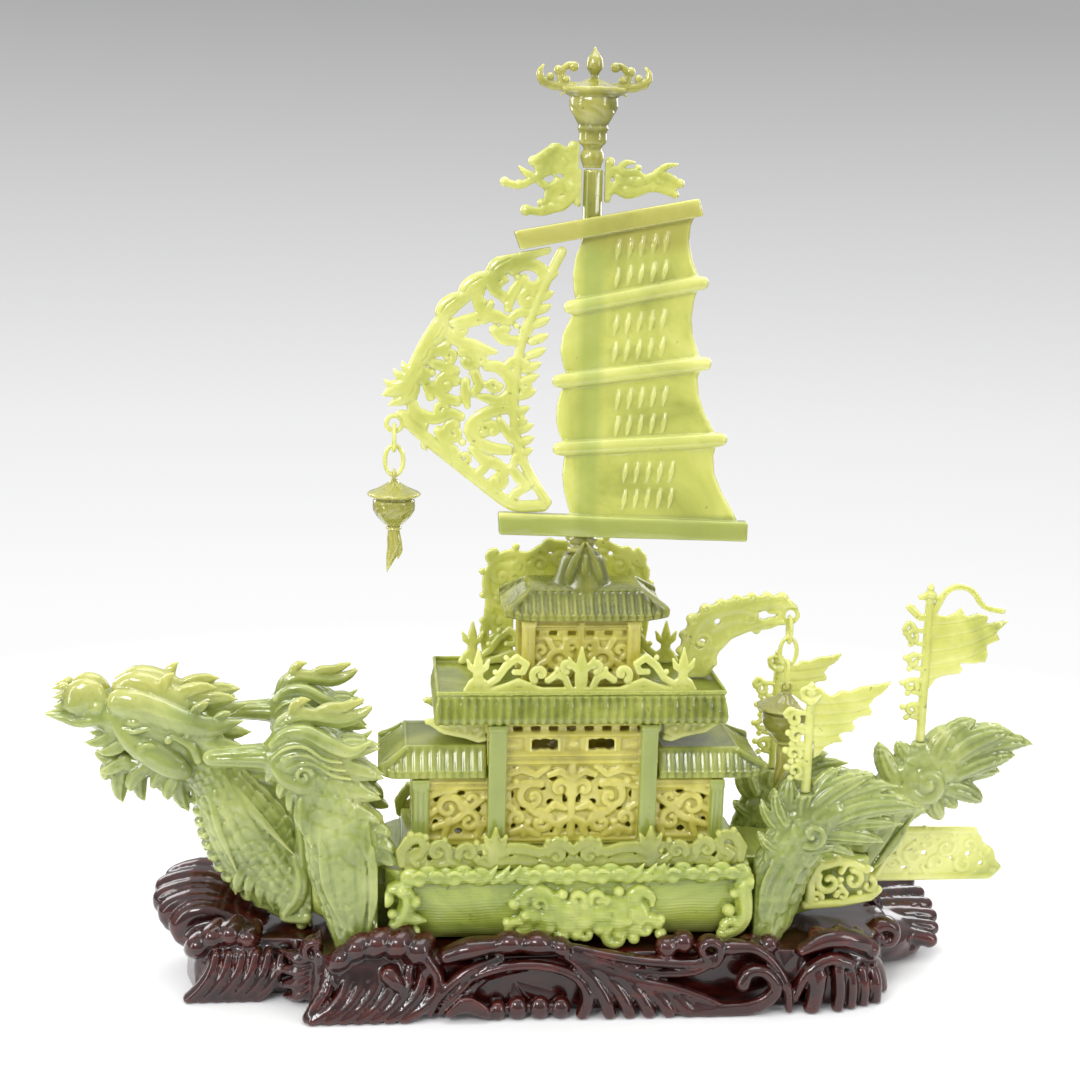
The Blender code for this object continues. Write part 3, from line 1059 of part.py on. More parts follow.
# ------------------------------------------------------------ lanterns and chains
def lantern(cx, cy, zt, brim, ztas, tas_dx=-4.0, sides=9, plane='YZ'):
    """Hanging lantern: loop, conical cap with a brim, round cup, ring and a curled tassel."""
    r = brim
    cap = lathe(cx, cy, [(0.14 * r, zt), (0.30 * r, zt - 0.18 * r), (0.62 * r, zt - 0.36 * r), (r, zt - 0.50 * r),
                         (0.96 * r, zt - 0.60 * r), (0.74 * r, zt - 0.72 * r), (0.77 * r, zt - 1.0 * r), (0.64 * r, zt - 1.35 * r),
                         (0.36 * r, zt - 1.66 * r), (0.24 * r, zt - 1.76 * r), (0.30 * r, zt - 1.84 * r), (0.2 * r, zt - 1.9 * r)], sides)
    zb = zt - 1.88 * r
    tassel = tube([(cx, cy, zb + 2, 0.22 * r, 0.22 * r), (cx + 1, cy, (zb + ztas) / 2 + 4, 0.24 * r, 0.2 * r), (cx + tas_dx, cy, ztas, 0, 0)], 6, 4)
    loop = ring_link((cx, cy, zt + 4.2), 6.6, 6.0, 1.7, plane, 8, 4)
    return combine([cap, tassel, loop])


FX, FY = -139.0, (SAIL_FRONT - 3 + SAIL_BACK) / 2      # the jib's hook hangs the fore lantern
RING = 2.1                                             # wire of the big rings
SLACK = 0.9


def chain(top_inner, sizes):
    """Centres of links hung one in another: sizes are (half height, wire); top_inner is the hook's inner floor."""
    out, z = [], top_inner
    for rz, w in sizes:
        c = z + SLACK + 2 * w - rz                     # the link's top wire lies on the floor above it
        out.append(c)
        z = c - rz + 2 * w                             # inner floor of this link
    return out, z


(f1, f2), floor = chain(553.0 - 4.4, ((14.0, LINK_WIRE), (16.0, RING)))
make('front_link_upper', ring_link((FX, FY, f1), 9.6, 14.0, LINK_WIRE, 'YZ'), JADE_PALE)
make('front_link_ring', ring_link((FX, FY, f2), 10.5, 16.0, RING, 'XZ'), JADE_PALE)
make('front_lantern', lantern(FX, FY, floor + SLACK + 2 * 1.7 - 6 - 4.2, 25.5, 413.0, -6), JADE_OLIVE)

AX = 247.0
bk = [[(152, 308, 10), (146, 330, 9), (154, 352, 8), (168, 366, 8), (192, 372, 8), (214, 374, 9), (236, 378, 8), (248, 374, 6)],
      [(160, 312, 8), (172, 330, 6), (168, 348, 5)], spiral(156, 338, 9, 3, -40, 200, 5, 4), [(140, 348, 5)], [(160, 372, 6)], [(180, 380, 5)],
      [(204, 384, 5)], [(228, 386, 5)]]
BK = [bar(0, ROOF_DECK + GAP - 20, 400, ROOF_DECK + GAP - 20, 20), [(AX, 366, 8.6)]]
make('aft_bracket', combine([plate(bk, -4.5, 4.5, 40, holes=BK), eye(AX, 366, 0)]), JADE_PALE)
(a1, a2, a3), floor = chain(366.0 - 4.4, ((15.0, LINK_WIRE), (16.4, RING), (15.4, LINK_WIRE)))
make('aft_link_upper', ring_link((AX, 0, a1), 9.2, 15.0, LINK_WIRE, 'YZ'), JADE_PALE)
make('aft_link_ring', ring_link((AX, 0, a2), 10.4, 16.4, RING, 'XZ'), JADE_PALE)
make('aft_link_lower', ring_link((AX, 0, a3), 7.0, 15.4, LINK_WIRE, 'YZ'), JADE_PALE)
make('aft_lantern', lantern(AX, 0, floor + SLACK + 2 * 1.7 - 6 - 4.2, 29.0, 185.0, -9, plane='XZ'), JADE_OLIVE)

# clouds at the masthead, fore and aft of the mast
fc = [[(34, 756, 5), (14, 762, 7), (-4, 768, 7), (-14, 784, 5)], spiral(6, 784, 12, 4, 200, -60, 5, 4), spiral(-14, 776, 9, 4, 90, 380, 4.6, 4),
      [(6, 796, 5), (18, 806, 6), (30, 800, 5)], [(-24, 786, 5), (-36, 792, 2.6)], [(20, 806, 5), (12, 818, 3)], bar(28, 752, 28, 806, 4.6),
      spiral(16, 774, 7, 3, 0, 260, 4, 4)]
ac = [[(50, 762, 5), (72, 772, 7), (92, 778, 7), (108, 786, 4)], [(56, 786, 5), (74, 792, 6), (96, 794, 5), (118, 796, 2.6)],
      spiral(70, 782, 8, 3, 0, 280, 4.4, 4), bar(54, 760, 54, 792, 4.6), spiral(98, 786, 6, 3, 100, 380, 4, 4), [(110, 790, 4), (126, 786, 2.4)]]
mr = MAST_R1 + 0.5 + GAP
make('masthead_cloud_fore', plate(fc, -5, 5, 34, least=20, holes=[bar(MAST_X, 700, MAST_X, 900, mr), bar(39.5, 796, 39.5, 840, 12.6)]), JADE_PALE)
make('masthead_cloud_aft', plate(ac, -5, 5, 28, least=20, holes=[bar(MAST_X, 700, MAST_X, 900, mr), bar(39.5, 796, 39.5, 840, 12.6)]), JADE_PALE)

TZ = MAST_TOP + GAP
TX = 39.5
prof = [(0, 895), (2.2, 890), (7.5, 882), (7.8, 874), (3.4, 868), (9, 864), (19, 859), (30, 857), (30, 853), (22, 850), (22, 845),
        (18, 832), (13, 824), (14, 816), (11.5, 808), (8, 804), (11, 799), (9.4, 790), (8.8, TZ)]
tl = [lathe(TX, 0, prof, 10)]
for k in (0, 2):                                       # upturned cloud arms on the brim, fore and aft
    a = math.radians(90 * k)
    arm = spiral(44, 867, 7, 3.4, 220, 470, 3.4, 2.8, 7)
    arm = [(18, 858, 3.2), (30, 857.5, 3.6)] + arm
    c, s = math.cos(a), math.sin(a)
    tl.append(tube([(TX + r * c, r * s, z, w, 3.2) for r, z, w in arm], 4, 7, side=(-s, c, 0)))
make('top_lantern', reduce(combine(tl), 400), JADE_OLIVE)
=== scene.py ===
# Looks of the serpentine dragon boat carving on its lacquered wood stand.
# Lengths in the modelling code are millimetres along the boat; DATUM_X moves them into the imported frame.
import bpy
import math
import time
import numpy as np
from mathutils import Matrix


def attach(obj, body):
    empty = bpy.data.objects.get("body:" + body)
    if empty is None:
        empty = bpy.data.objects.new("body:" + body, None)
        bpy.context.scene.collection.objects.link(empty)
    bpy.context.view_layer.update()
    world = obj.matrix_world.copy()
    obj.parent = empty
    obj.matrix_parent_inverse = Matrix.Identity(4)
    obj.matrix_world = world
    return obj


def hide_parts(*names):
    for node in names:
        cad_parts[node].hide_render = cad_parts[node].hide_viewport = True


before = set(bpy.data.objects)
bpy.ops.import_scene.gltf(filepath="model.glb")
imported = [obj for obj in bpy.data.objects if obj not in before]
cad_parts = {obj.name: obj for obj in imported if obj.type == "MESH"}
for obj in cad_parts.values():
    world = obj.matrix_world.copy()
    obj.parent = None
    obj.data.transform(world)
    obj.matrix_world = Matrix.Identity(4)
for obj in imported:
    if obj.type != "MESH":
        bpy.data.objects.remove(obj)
import openvdb
from concurrent.futures import ThreadPoolExecutor
from mathutils import Matrix

T_START = time.time()
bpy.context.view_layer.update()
DATUM_X = -18.0
COARSE = 1.0
BIG = 60.0

# ------------------------------------------------------------ camera, light, floor
AZ, EL, ROLL = math.radians(-5.6), math.radians(11.8), math.radians(1.35)
back = np.array([math.sin(AZ) * math.cos(EL), -math.cos(AZ) * math.cos(EL), math.sin(EL)])
eye_at = np.array([DATUM_X * 0.001, 0.0, 0.44]) + back * 1.60
right = np.cross(-back, [0, 0, 1.0])
right /= np.linalg.norm(right)
up = np.cross(right, -back)
right, up = right * math.cos(ROLL) + up * math.sin(ROLL), up * math.cos(ROLL) - right * math.sin(ROLL)
cam = bpy.data.cameras.new("camera")
cam.lens = 56.0
cam.sensor_width = 36.0
cam.clip_start = 0.02
cam_ob = bpy.data.objects.new("camera", cam)
bpy.context.scene.collection.objects.link(cam_ob)
cam_ob.matrix_world = Matrix([[right[i], up[i], back[i], eye_at[i]] for i in range(3)] + [[0, 0, 0, 1]])
bpy.context.scene.camera = cam_ob
bpy.context.scene.view_settings.view_transform = "Standard"


def area_light(name, at, aim, size, power, color=(1, 1, 1)):
    li = bpy.data.lights.new(name, "AREA")
    li.shape = "RECTANGLE"
    li.size, li.size_y = size
    li.energy = power
    li.color = color
    ob = bpy.data.objects.new(name, li)
    bpy.context.scene.collection.objects.link(ob)
    z = np.array(at, float) - np.array(aim, float)
    z /= np.linalg.norm(z)
    x = np.cross([0, 0, 1.0] if abs(z[2]) < 0.99 else [0, 1.0, 0], z)
    x /= np.linalg.norm(x)
    y = np.cross(z, x)
    ob.matrix_world = Matrix([[x[i], y[i], z[i], at[i]] for i in range(3)] + [[0, 0, 0, 1]])
    return ob


area_light("key", (-1.3, -1.9, 1.9), (0, 0, 0.4), (0.9, 0.6), 28.0)
area_light("fill", (1.9, -1.4, 1.0), (0, 0, 0.35), (0.35, 1.5), 13.0)
area_light("strip", (-2.0, -0.9, 0.9), (0, 0, 0.40), (0.25, 1.5), 10.0)
area_light("top", (0.1, 0.1, 2.3), (0, 0, 0.4), (1.8, 1.2), 20.0)
area_light("rim_left", (-1.6, 1.5, 1.2), (0, 0, 0.4), (0.8, 1.4), 16.0)
area_light("rim_right", (1.5, 1.7, 1.3), (0, 0, 0.4), (0.8, 1.4), 16.0)

world = bpy.data.worlds.new("studio")
bpy.context.scene.world = world
world.use_nodes = True
wn, wl = world.node_tree.nodes, world.node_tree.links
wn.clear()
w_out = wn.new("ShaderNodeOutputWorld")
w_geo = wn.new("ShaderNodeTexCoord")
w_sep = wn.new("ShaderNodeSeparateXYZ")
w_ramp = wn.new("ShaderNodeValToRGB")
w_map = wn.new("ShaderNodeMapRange")
w_map.inputs["From Min"].default_value = -0.30
w_map.inputs["From Max"].default_value = 0.20
w_cam = wn.new("ShaderNodeBackground")
w_amb = wn.new("ShaderNodeBackground")
w_amb.inputs["Strength"].default_value = 1.0
w_up = wn.new("ShaderNodeMapRange")
w_up.inputs["From Min"].default_value = -0.15
w_up.inputs["From Max"].default_value = 0.85
w_sky = wn.new("ShaderNodeValToRGB")
w_sky.color_ramp.elements[0].position, w_sky.color_ramp.elements[0].color = 0.0, (0.26, 0.26, 0.26, 1)
w_sky.color_ramp.elements[1].position, w_sky.color_ramp.elements[1].color = 1.0, (0.98, 0.99, 1.0, 1)
w_path = wn.new("ShaderNodeLightPath")
w_mix = wn.new("ShaderNodeMixShader")
wl.new(w_geo.outputs["Generated"], w_sep.inputs[0])
wl.new(w_sep.outputs["Z"], w_map.inputs["Value"])
wl.new(w_map.outputs["Result"], w_ramp.inputs["Fac"])
cr = w_ramp.color_ramp
cr.elements[0].position, cr.elements[0].color = 0.0, (1.0, 1.0, 1.0, 1)
cr.elements[1].position, cr.elements[1].color = 1.0, (0.33, 0.33, 0.335, 1)
for pos, v in ((0.14, 0.97), (0.34, 0.86), (0.56, 0.66), (0.80, 0.42)):
    e = cr.elements.new(pos)
    e.color = (v, v, v * 1.005, 1)
wl.new(w_ramp.outputs["Color"], w_cam.inputs["Color"])
wl.new(w_sep.outputs["Z"], w_up.inputs["Value"])
wl.new(w_up.outputs["Result"], w_sky.inputs["Fac"])
wl.new(w_sky.outputs["Color"], w_amb.inputs["Color"])
w_cam.inputs["Strength"].default_value = 1.0
wl.new(w_path.outputs["Is Camera Ray"], w_mix.inputs["Fac"])
wl.new(w_amb.outputs[0], w_mix.inputs[1])
wl.new(w_cam.outputs[0], w_mix.inputs[2])
wl.new(w_mix.outputs[0], w_out.inputs["Surface"])

# the floor: a pale disc whose edge melts into the backdrop
fv, ff = [(0.0, 0.0, 0.0)], []
for k in range(96):
    a = 2 * math.pi * k / 96
    fv.append((1.7 * math.cos(a), 1.7 * math.sin(a), 0.0))
    ff.append((0, 1 + k, 1 + (k + 1) % 96))
fm = bpy.data.meshes.new("floor")
fm.from_pydata([(x, y, -0.0004) for x, y, z in fv], [], ff)
floor = bpy.data.objects.new("floor", fm)
bpy.context.scene.collection.objects.link(floor)
m = bpy.data.materials.new("pale_floor")
m.use_nodes = True
n, l = m.node_tree.nodes, m.node_tree.links
b = n["Principled BSDF"]
b.inputs["Base Color"].default_value = (0.90, 0.90, 0.905, 1)
b.inputs["Roughness"].default_value = 0.5
b.inputs["Specular IOR Level"].default_value = 0.2
tc = n.new("ShaderNodeTexCoord")
ln = n.new("ShaderNodeVectorMath"); ln.operation = "LENGTH"
mr = n.new("ShaderNodeMapRange"); mr.interpolation_type = "SMOOTHSTEP"
mr.inputs["From Min"].default_value = 0.62
mr.inputs["From Max"].default_value = 1.45
mr.inputs["To Min"].default_value = 1.0
mr.inputs["To Max"].default_value = 0.0
l.new(tc.outputs["Object"], ln.inputs[0])
l.new(ln.outputs["Value"], mr.inputs["Value"])
tr = n.new("ShaderNodeBsdfTransparent")
mx = n.new("ShaderNodeMixShader")
l.new(mr.outputs["Result"], mx.inputs["Fac"])
l.new(tr.outputs[0], mx.inputs[1])
l.new(b.outputs[0], mx.inputs[2])
l.new(mx.outputs[0], n["Material Output"].inputs["Surface"])
fm.materials.append(m)


# ------------------------------------------------------------ curves
def curve(ctrl, n):
    """n points on a Catmull-Rom curve through the control tuples (any width)."""
    c = [np.array(p, float) for p in ctrl]
    if len(c) == 1:
        return [c[0]]
    c = [2 * c[0] - c[1]] + c + [2 * c[-1] - c[-2]]
    out, m_ = [], len(c) - 3
    for k in range(n):
        t = k * m_ / (n - 1)
        i = min(int(t), m_ - 1)
        t -= i
        p0, p1, p2, p3 = c[i:i + 4]
        out.append(0.5 * (2 * p1 + (p2 - p0) * t + (2 * p0 - 5 * p1 + 4 * p2 - p3) * t ** 2
                          + (3 * p1 - p0 - 3 * p2 + p3) * t ** 3))
    return out


def spiral(cx, cz, r0, r1, a0, a1, w0, w1, n=18):
    """A scroll: (x, z, half width) from radius r0 to r1 while turning a0 to a1 degrees."""
    out = []
    for k in range(n):
        t = k / (n - 1)
        a = math.radians(a0 + (a1 - a0) * t)
        r = r0 + (r1 - r0) * t
        out.append((cx + r * math.cos(a), cz + r * math.sin(a), w0 + (w1 - w0) * t))
    return out


def bar(x0, z0, x1, z1, w0, w1=None):
    return [(x0, z0, w0), (x1, z1, w0 if w1 is None else w1)]


def mirrored(strokes, cx):
    return [[(2 * cx - x, z, w) for x, z, w in s] for s in strokes]


# ------------------------------------------------------------ carving field
class Field:
    """A block of distances in millimetres: negative inside the carving."""

    def __init__(self, lo, hi, h):
        self.h = h = h * COARSE
        self.lo = np.array(lo, float) - 3 * h
        self.n = np.ceil((np.array(hi, float) + 3 * h - self.lo) / h).astype(int) + 1
        self.ax = [(self.lo[i] + h * np.arange(self.n[i])).astype(np.float32) for i in range(3)]
        self.D = np.full(self.n, BIG, np.float32)

    def block(self, lo, hi):
        sl, co = [], []
        for i in range(3):
            a = max(0, int(math.floor((lo[i] - self.lo[i]) / self.h)))
            b_ = min(self.n[i], int(math.ceil((hi[i] - self.lo[i]) / self.h)) + 1)
            if b_ <= a:
                return None, None
            sl.append(slice(a, b_))
            shp = [1, 1, 1]
            shp[i] = b_ - a
            co.append(self.ax[i][a:b_].reshape(shp))
        return tuple(sl), co

    def merge(self, sl, d, k=0.0, cut=False):
        A = self.D[sl]
        if cut:
            if k > 0:
                t = np.clip(0.5 - 0.5 * (A + d) / k, 0, 1)
                A[...] = A * (1 - t) - d * t + k * t * (1 - t)
            else:
                np.maximum(A, -d, out=A)
        elif k > 0:
            t = np.clip(0.5 + 0.5 * (d - A) / k, 0, 1)
            A[...] = d * (1 - t) + A * t - k * t * (1 - t)
        else:
            np.minimum(A, d, out=A)

    def tube(self, ctrl, n=None, k=0.0, cut=False, disp=None, reach=None):
        """A tapering limb through (x, y, z, a, b): a is its half width in the X-Z plane, b across."""
        P = np.array(curve(ctrl, n) if n else ctrl, float)
        P[:, 3:5] = np.maximum(P[:, 3:5], 0.35)
        pad = k + 2.2 * self.h + 1.5 + (reach or 0)
        R = P[:, 3:5].max(1)[:, None]
        sl, co = self.block((P[:, :3] - R).min(0) - pad, (P[:, :3] + R).max(0) + pad)
        if sl is None:
            return
        shape = tuple(s.stop - s.start for s in sl)
        best = np.full(shape, BIG, np.float32)
        if disp:
            S = np.zeros(shape, np.float32)
            TH = np.zeros(shape, np.float32)
        run = 0.0
        if len(P) == 1:
            P = np.vstack([P, P + [0.01, 0, 0, 0, 0]])
        for p, q in zip(P[:-1], P[1:]):
            d = q[:3] - p[:3]
            L = max(float(np.linalg.norm(d)), 1e-3)
            r = max(p[3], p[4], q[3], q[4]) + pad
            s2, c2 = self.block(np.minimum(p[:3], q[:3]) - r, np.maximum(p[:3], q[:3]) + r)
            if s2 is None:
                run += L
                continue
            X, Y, Z = c2
            loc = tuple(slice(max(0, b_.start - a.start), min(b_.stop, a.stop) - a.start) for a, b_ in zip(sl, s2))
            sub = tuple(slice(max(a.start, b_.start) - b_.start, min(a.stop, b_.stop) - b_.start) for a, b_ in zip(sl, s2))
            X, Y, Z = X[sub[0]], Y[:, sub[1]], Z[:, :, sub[2]]
            t = np.clip(((X - p[0]) * d[0] + (Y - p[1]) * d[1] + (Z - p[2]) * d[2]) / (L * L), 0, 1)
            ox, oy, oz = X - p[0] - t * d[0], Y - p[1] - t * d[1], Z - p[2] - t * d[2]
            a = p[3] + (q[3] - p[3]) * t
            b2 = p[4] + (q[4] - p[4]) * t
            dist = (np.sqrt((ox * ox + oz * oz) / (a * a) + oy * oy / (b2 * b2)) - 1) * np.minimum(a, b2)
            cur = best[loc]
            if disp:
                nx, nz = -d[2] / L, d[0] / L
                near = dist < cur
                S[loc] = np.where(near, run + t * L, S[loc])
                TH[loc] = np.where(near, np.arctan2(oy / b2, (ox * nx + oz * nz) / a), TH[loc])
            np.minimum(cur, dist, out=cur)
            run += L
        if disp:
            best = best - disp(S, TH, run).astype(np.float32)
        self.merge(sl, best, k, cut)

    def strokes(self, lines, y, b, k=0.0, cut=False, n=None, disp=None, taper=True):
        """Flat strokes (x, z, half width) as rounded limbs in the plane y, half thickness b."""
        for s in lines:
            pts = [(x, y, z, w, min(b, 0.6 * b + 0.55 * w) if taper else b) for x, z, w in s]
            self.tube(pts, n, k, cut, disp)

    def ball(self, c, r, k=0.0, cut=False):
        r = np.maximum(np.array(r, float), 0.4)
        pad = k + 2.5 * self.h
        sl, co = self.block(np.array(c) - r - pad, np.array(c) + r + pad)
        if sl is None:
            return
        q = sum(((co[i] - c[i]) / r[i]) ** 2 for i in range(3))
        self.merge(sl, ((np.sqrt(q) - 1) * r.min()).astype(np.float32), k, cut)

    def box(self, lo, hi, r=1.0, k=0.0, cut=False):
        lo, hi = np.minimum(lo, hi), np.maximum(lo, hi)
        pad = k + 2.5 * self.h
        sl, co = self.block(lo - pad, hi + pad)
        if sl is None:
            return
        c, e = (lo + hi) / 2, (hi - lo) / 2 - r
        q = [np.abs(co[i] - c[i]) - e[i] for i in range(3)]
        out = np.sqrt(sum(np.maximum(v, 0) ** 2 for v in q)) + np.minimum(np.maximum(np.maximum(q[0], q[1]), q[2]), 0) - r
        self.merge(sl, out.astype(np.float32), k, cut)

    def field(self, fn, lo=None, hi=None, k=0.0, cut=False):
        """Merge any distance function of X, Y, Z over part of the block."""
        sl, co = self.block(self.lo if lo is None else lo, self.lo + self.h * self.n if hi is None else hi)
        if sl is None:
            return
        d = np.broadcast_to(fn(*co), tuple(s.stop - s.start for s in sl)).astype(np.float32)
        self.merge(sl, d, k, cut)

    def lathe(self, cx, cy, prof, k=0.0, cut=False, ripple=None):
        """Turned shape from (z, radius) pairs, upwards or downwards."""
        prof = sorted(prof)
        z = np.array([p[0] for p in prof])
        r = np.array([p[1] for p in prof])
        m_ = float(r.max()) + 2.5 * self.h + k
        sl, co = self.block((cx - m_, cy - m_, z[0] - 3 * self.h), (cx + m_, cy + m_, z[-1] + 3 * self.h))
        if sl is None:
            return
        X, Y, Z = co
        R = np.sqrt((X - cx) ** 2 + (Y - cy) ** 2)
        zz = Z.ravel()
        rr = np.interp(zz, z, r)
        slope = np.gradient(rr, zz) if len(zz) > 1 else np.zeros(1)
        f = 1 / np.sqrt(1 + np.clip(slope, -3, 3) ** 2)
        rad = rr.reshape(1, 1, -1)
        if ripple:
            rad = rad + ripple(np.arctan2(Y - cy, X - cx), Z)
        d = (R - rad) * f.reshape(1, 1, -1)
        d = np.maximum(d, np.maximum(z[0] - Z, Z - z[-1]))
        self.merge(sl, d.astype(np.float32), k, cut)

    def ring(self, c, rx, rz, wire, plane="XZ", k=0.0):
        pts = []
        for i in range(25):
            a = 2 * math.pi * i / 24
            u, v = math.cos(a) * (rx - wire), math.sin(a) * (rz - wire)
            pts.append((c[0] + (u if plane == "XZ" else 0), c[1] + (0 if plane == "XZ" else u), c[2] + v, wire, wire))
        self.tube(pts, None, k)

    def mesh(self, adapt=0.0, keep_all=False, least=60):
        g = openvdb.FloatGrid(background=BIG)
        D = self.D
        for i in range(3):                                   # nothing touches the block's skin
            for e in (0, -1):
                s = [slice(None)] * 3
                s[i] = e
                D[tuple(s)] = np.maximum(D[tuple(s)], 0.5 * self.h)
        g.copyFromArray(np.clip(D, -6 * self.h, 6 * self.h))
        V, T, Q = g.convertToPolygons(isovalue=0.0, adaptivity=adapt)
        V = np.asarray(V, float) * self.h + self.lo
        T, Q = np.asarray(T, int).reshape(-1, 3), np.asarray(Q, int).reshape(-1, 4)
        return tidy(V, T, Q, keep_all, least)


def tidy(V, T, Q, keep_all=False, least=60):
    """Largest connected body only (or every one above `least` corners), faces pointing out."""
    E = np.vstack([T[:, [0, 1]], T[:, [1, 2]], Q[:, [0, 1]], Q[:, [1, 2]], Q[:, [2, 3]]]) if len(T) else \
        np.vstack([Q[:, [0, 1]], Q[:, [1, 2]], Q[:, [2, 3]]])
    lab = np.arange(len(V))
    while True:
        m_ = np.minimum(lab[E[:, 0]], lab[E[:, 1]])
        new = lab.copy()
        np.minimum.at(new, E[:, 0], m_)
        np.minimum.at(new, E[:, 1], m_)
        np.minimum.at(new, lab[E[:, 0]], m_)
        np.minimum.at(new, lab[E[:, 1]], m_)
        new = new[new]
        if (new == lab).all():
            break
        lab = new
    ids, cnt = np.unique(lab, return_counts=True)
    good = ids[cnt >= least] if keep_all else ids[[int(np.argmax(cnt))]]
    mask = np.isin(lab, good)
    lost = int((~mask).sum())
    idx = np.cumsum(mask) - 1
    T = idx[T[mask[T[:, 0]]]] if len(T) else T
    Q = idx[Q[mask[Q[:, 0]]]] if len(Q) else Q
    V = V[mask]
    a, b_, c = V[Q[:, 0]], V[Q[:, 1]], V[Q[:, 2]]
    vol = float((a * np.cross(b_, c)).sum() + (a * np.cross(c, V[Q[:, 3]])).sum())
    if len(T):
        vol += float((V[T[:, 0]] * np.cross(V[T[:, 1]], V[T[:, 2]])).sum())
    if vol < 0:
        T, Q = T[:, ::-1], Q[:, ::-1]
    return V, T, Q, lost


def moved(part, fn, flip=False):
    V, T, Q, lost = part
    W = np.stack([np.asarray(c, float) for c in fn(V[:, 0], V[:, 1], V[:, 2])], 1)
    return W, T[:, ::-1] if flip else T, Q[:, ::-1] if flip else Q, lost


# ------------------------------------------------------------ surface patterns on a limb
def strands(m_, amp, twist=0.0, sharp=5):
    """Grooves that run along the limb and meet at its tip."""
    def fn(S, TH, L):
        fade = np.clip(S / (0.12 * L + 1), 0, 1) * np.clip((L - S) / (0.10 * L + 1), 0, 1)
        return -amp * fade * np.abs(np.cos(0.5 * m_ * (TH + twist * S / max(L, 1)))) ** sharp
    return fn


def scales(row, m_, amp, flip=False, vein=0.0, fade=0.06, blunt=0.45):
    """Overlapping scales or feathers in staggered rows; flip turns their tips to the limb's start."""
    def fn(S, TH, L):
        s = (L - S) if flip else S
        u = TH / (2 * math.pi) * m_
        out = None
        for half in (0.0, 0.5):
            v = s / row + half
            uu = u + half
            w = uu - np.floor(uu + 0.5)
            q = v - blunt * (0.25 - w * w) * 4 * 0.5
            f = q - np.floor(q)
            lobe = f ** 0.8 * (1 - 0.55 * (2 * np.abs(w)) ** 2)
            if vein:
                lobe = lobe - vein * np.exp(-(w / 0.07) ** 2)
            out = lobe if out is None else np.maximum(out, lobe)
        edge = np.clip(S / (fade * L + 1), 0, 1) * np.clip((L - S) / (fade * L + 1), 0, 1)
        return amp * out * edge
    return fn


def flame(f, base, tip, w, t, lift=0.12, k=1.5, m_=6, amp=0.9, bend=None, belly=0.75):
    """A carved feather or flame tongue from base to tip, half width w and half thickness t."""
    b_, e = np.array(base, float), np.array(tip, float)
    d = e - b_
    off = np.array([-d[2], 0, d[0]]) * lift
    m1, m2 = b_ + d * 0.35 + off * 0.9, b_ + d * 0.72 + off * 0.8
    if bend is not None:
        m2 = m2 + np.array(bend, float)
    f.tube([(*b_, w * 0.8, t), (*m1, w, t), (*m2, w * belly, t * 0.8), (*e, 0.5, 0.6)], 9, k,
           disp=strands(m_, amp) if amp else None)


def poly2(X, Z, p):
    """Signed distance to a closed outline in the X-Z plane (negative inside)."""
    D = np.full(np.broadcast(X, Z).shape, 1e3, np.float32)
    inside = np.zeros(D.shape, bool)
    for (x0, z0), (x1, z1) in zip(p, p[1:] + p[:1]):
        dx, dz = x1 - x0, z1 - z0
        t = np.clip(((X - x0) * dx + (Z - z0) * dz) / (dx * dx + dz * dz + 1e-9), 0, 1)
        D = np.minimum(D, np.sqrt((X - x0 - t * dx) ** 2 + (Z - z0 - t * dz) ** 2))
        inside ^= ((z0 > Z) != (z1 > Z)) & (X < dx * (Z - z0) / (dz if abs(dz) > 1e-9 else 1e-9) + x0)
    return np.where(inside, -D, D)


def web(f, poly, y, t, holes=(), k=0.5):
    """A thin sheet inside an outline, pierced by oval holes (x, z, rx, rz)."""
    def fn(X, Y, Z):
        D2 = poly2(X[:, :, 0], Z[0, 0, :][None, :], poly)[:, None, :]
        for hx, hz, rx, rz in holes:
            D2 = np.maximum(D2, -(np.sqrt(((X - hx) / rx) ** 2 + ((Z - hz) / rz) ** 2) - 1) * min(rx, rz))
        return np.maximum(D2, np.abs(Y - y) - t)
    xs, zs = [p[0] for p in poly], [p[1] for p in poly]
    f.field(fn, (min(xs) - 2, y - t - 2, min(zs) - 2), (max(xs) + 2, y + t + 2, max(zs) + 2), k)


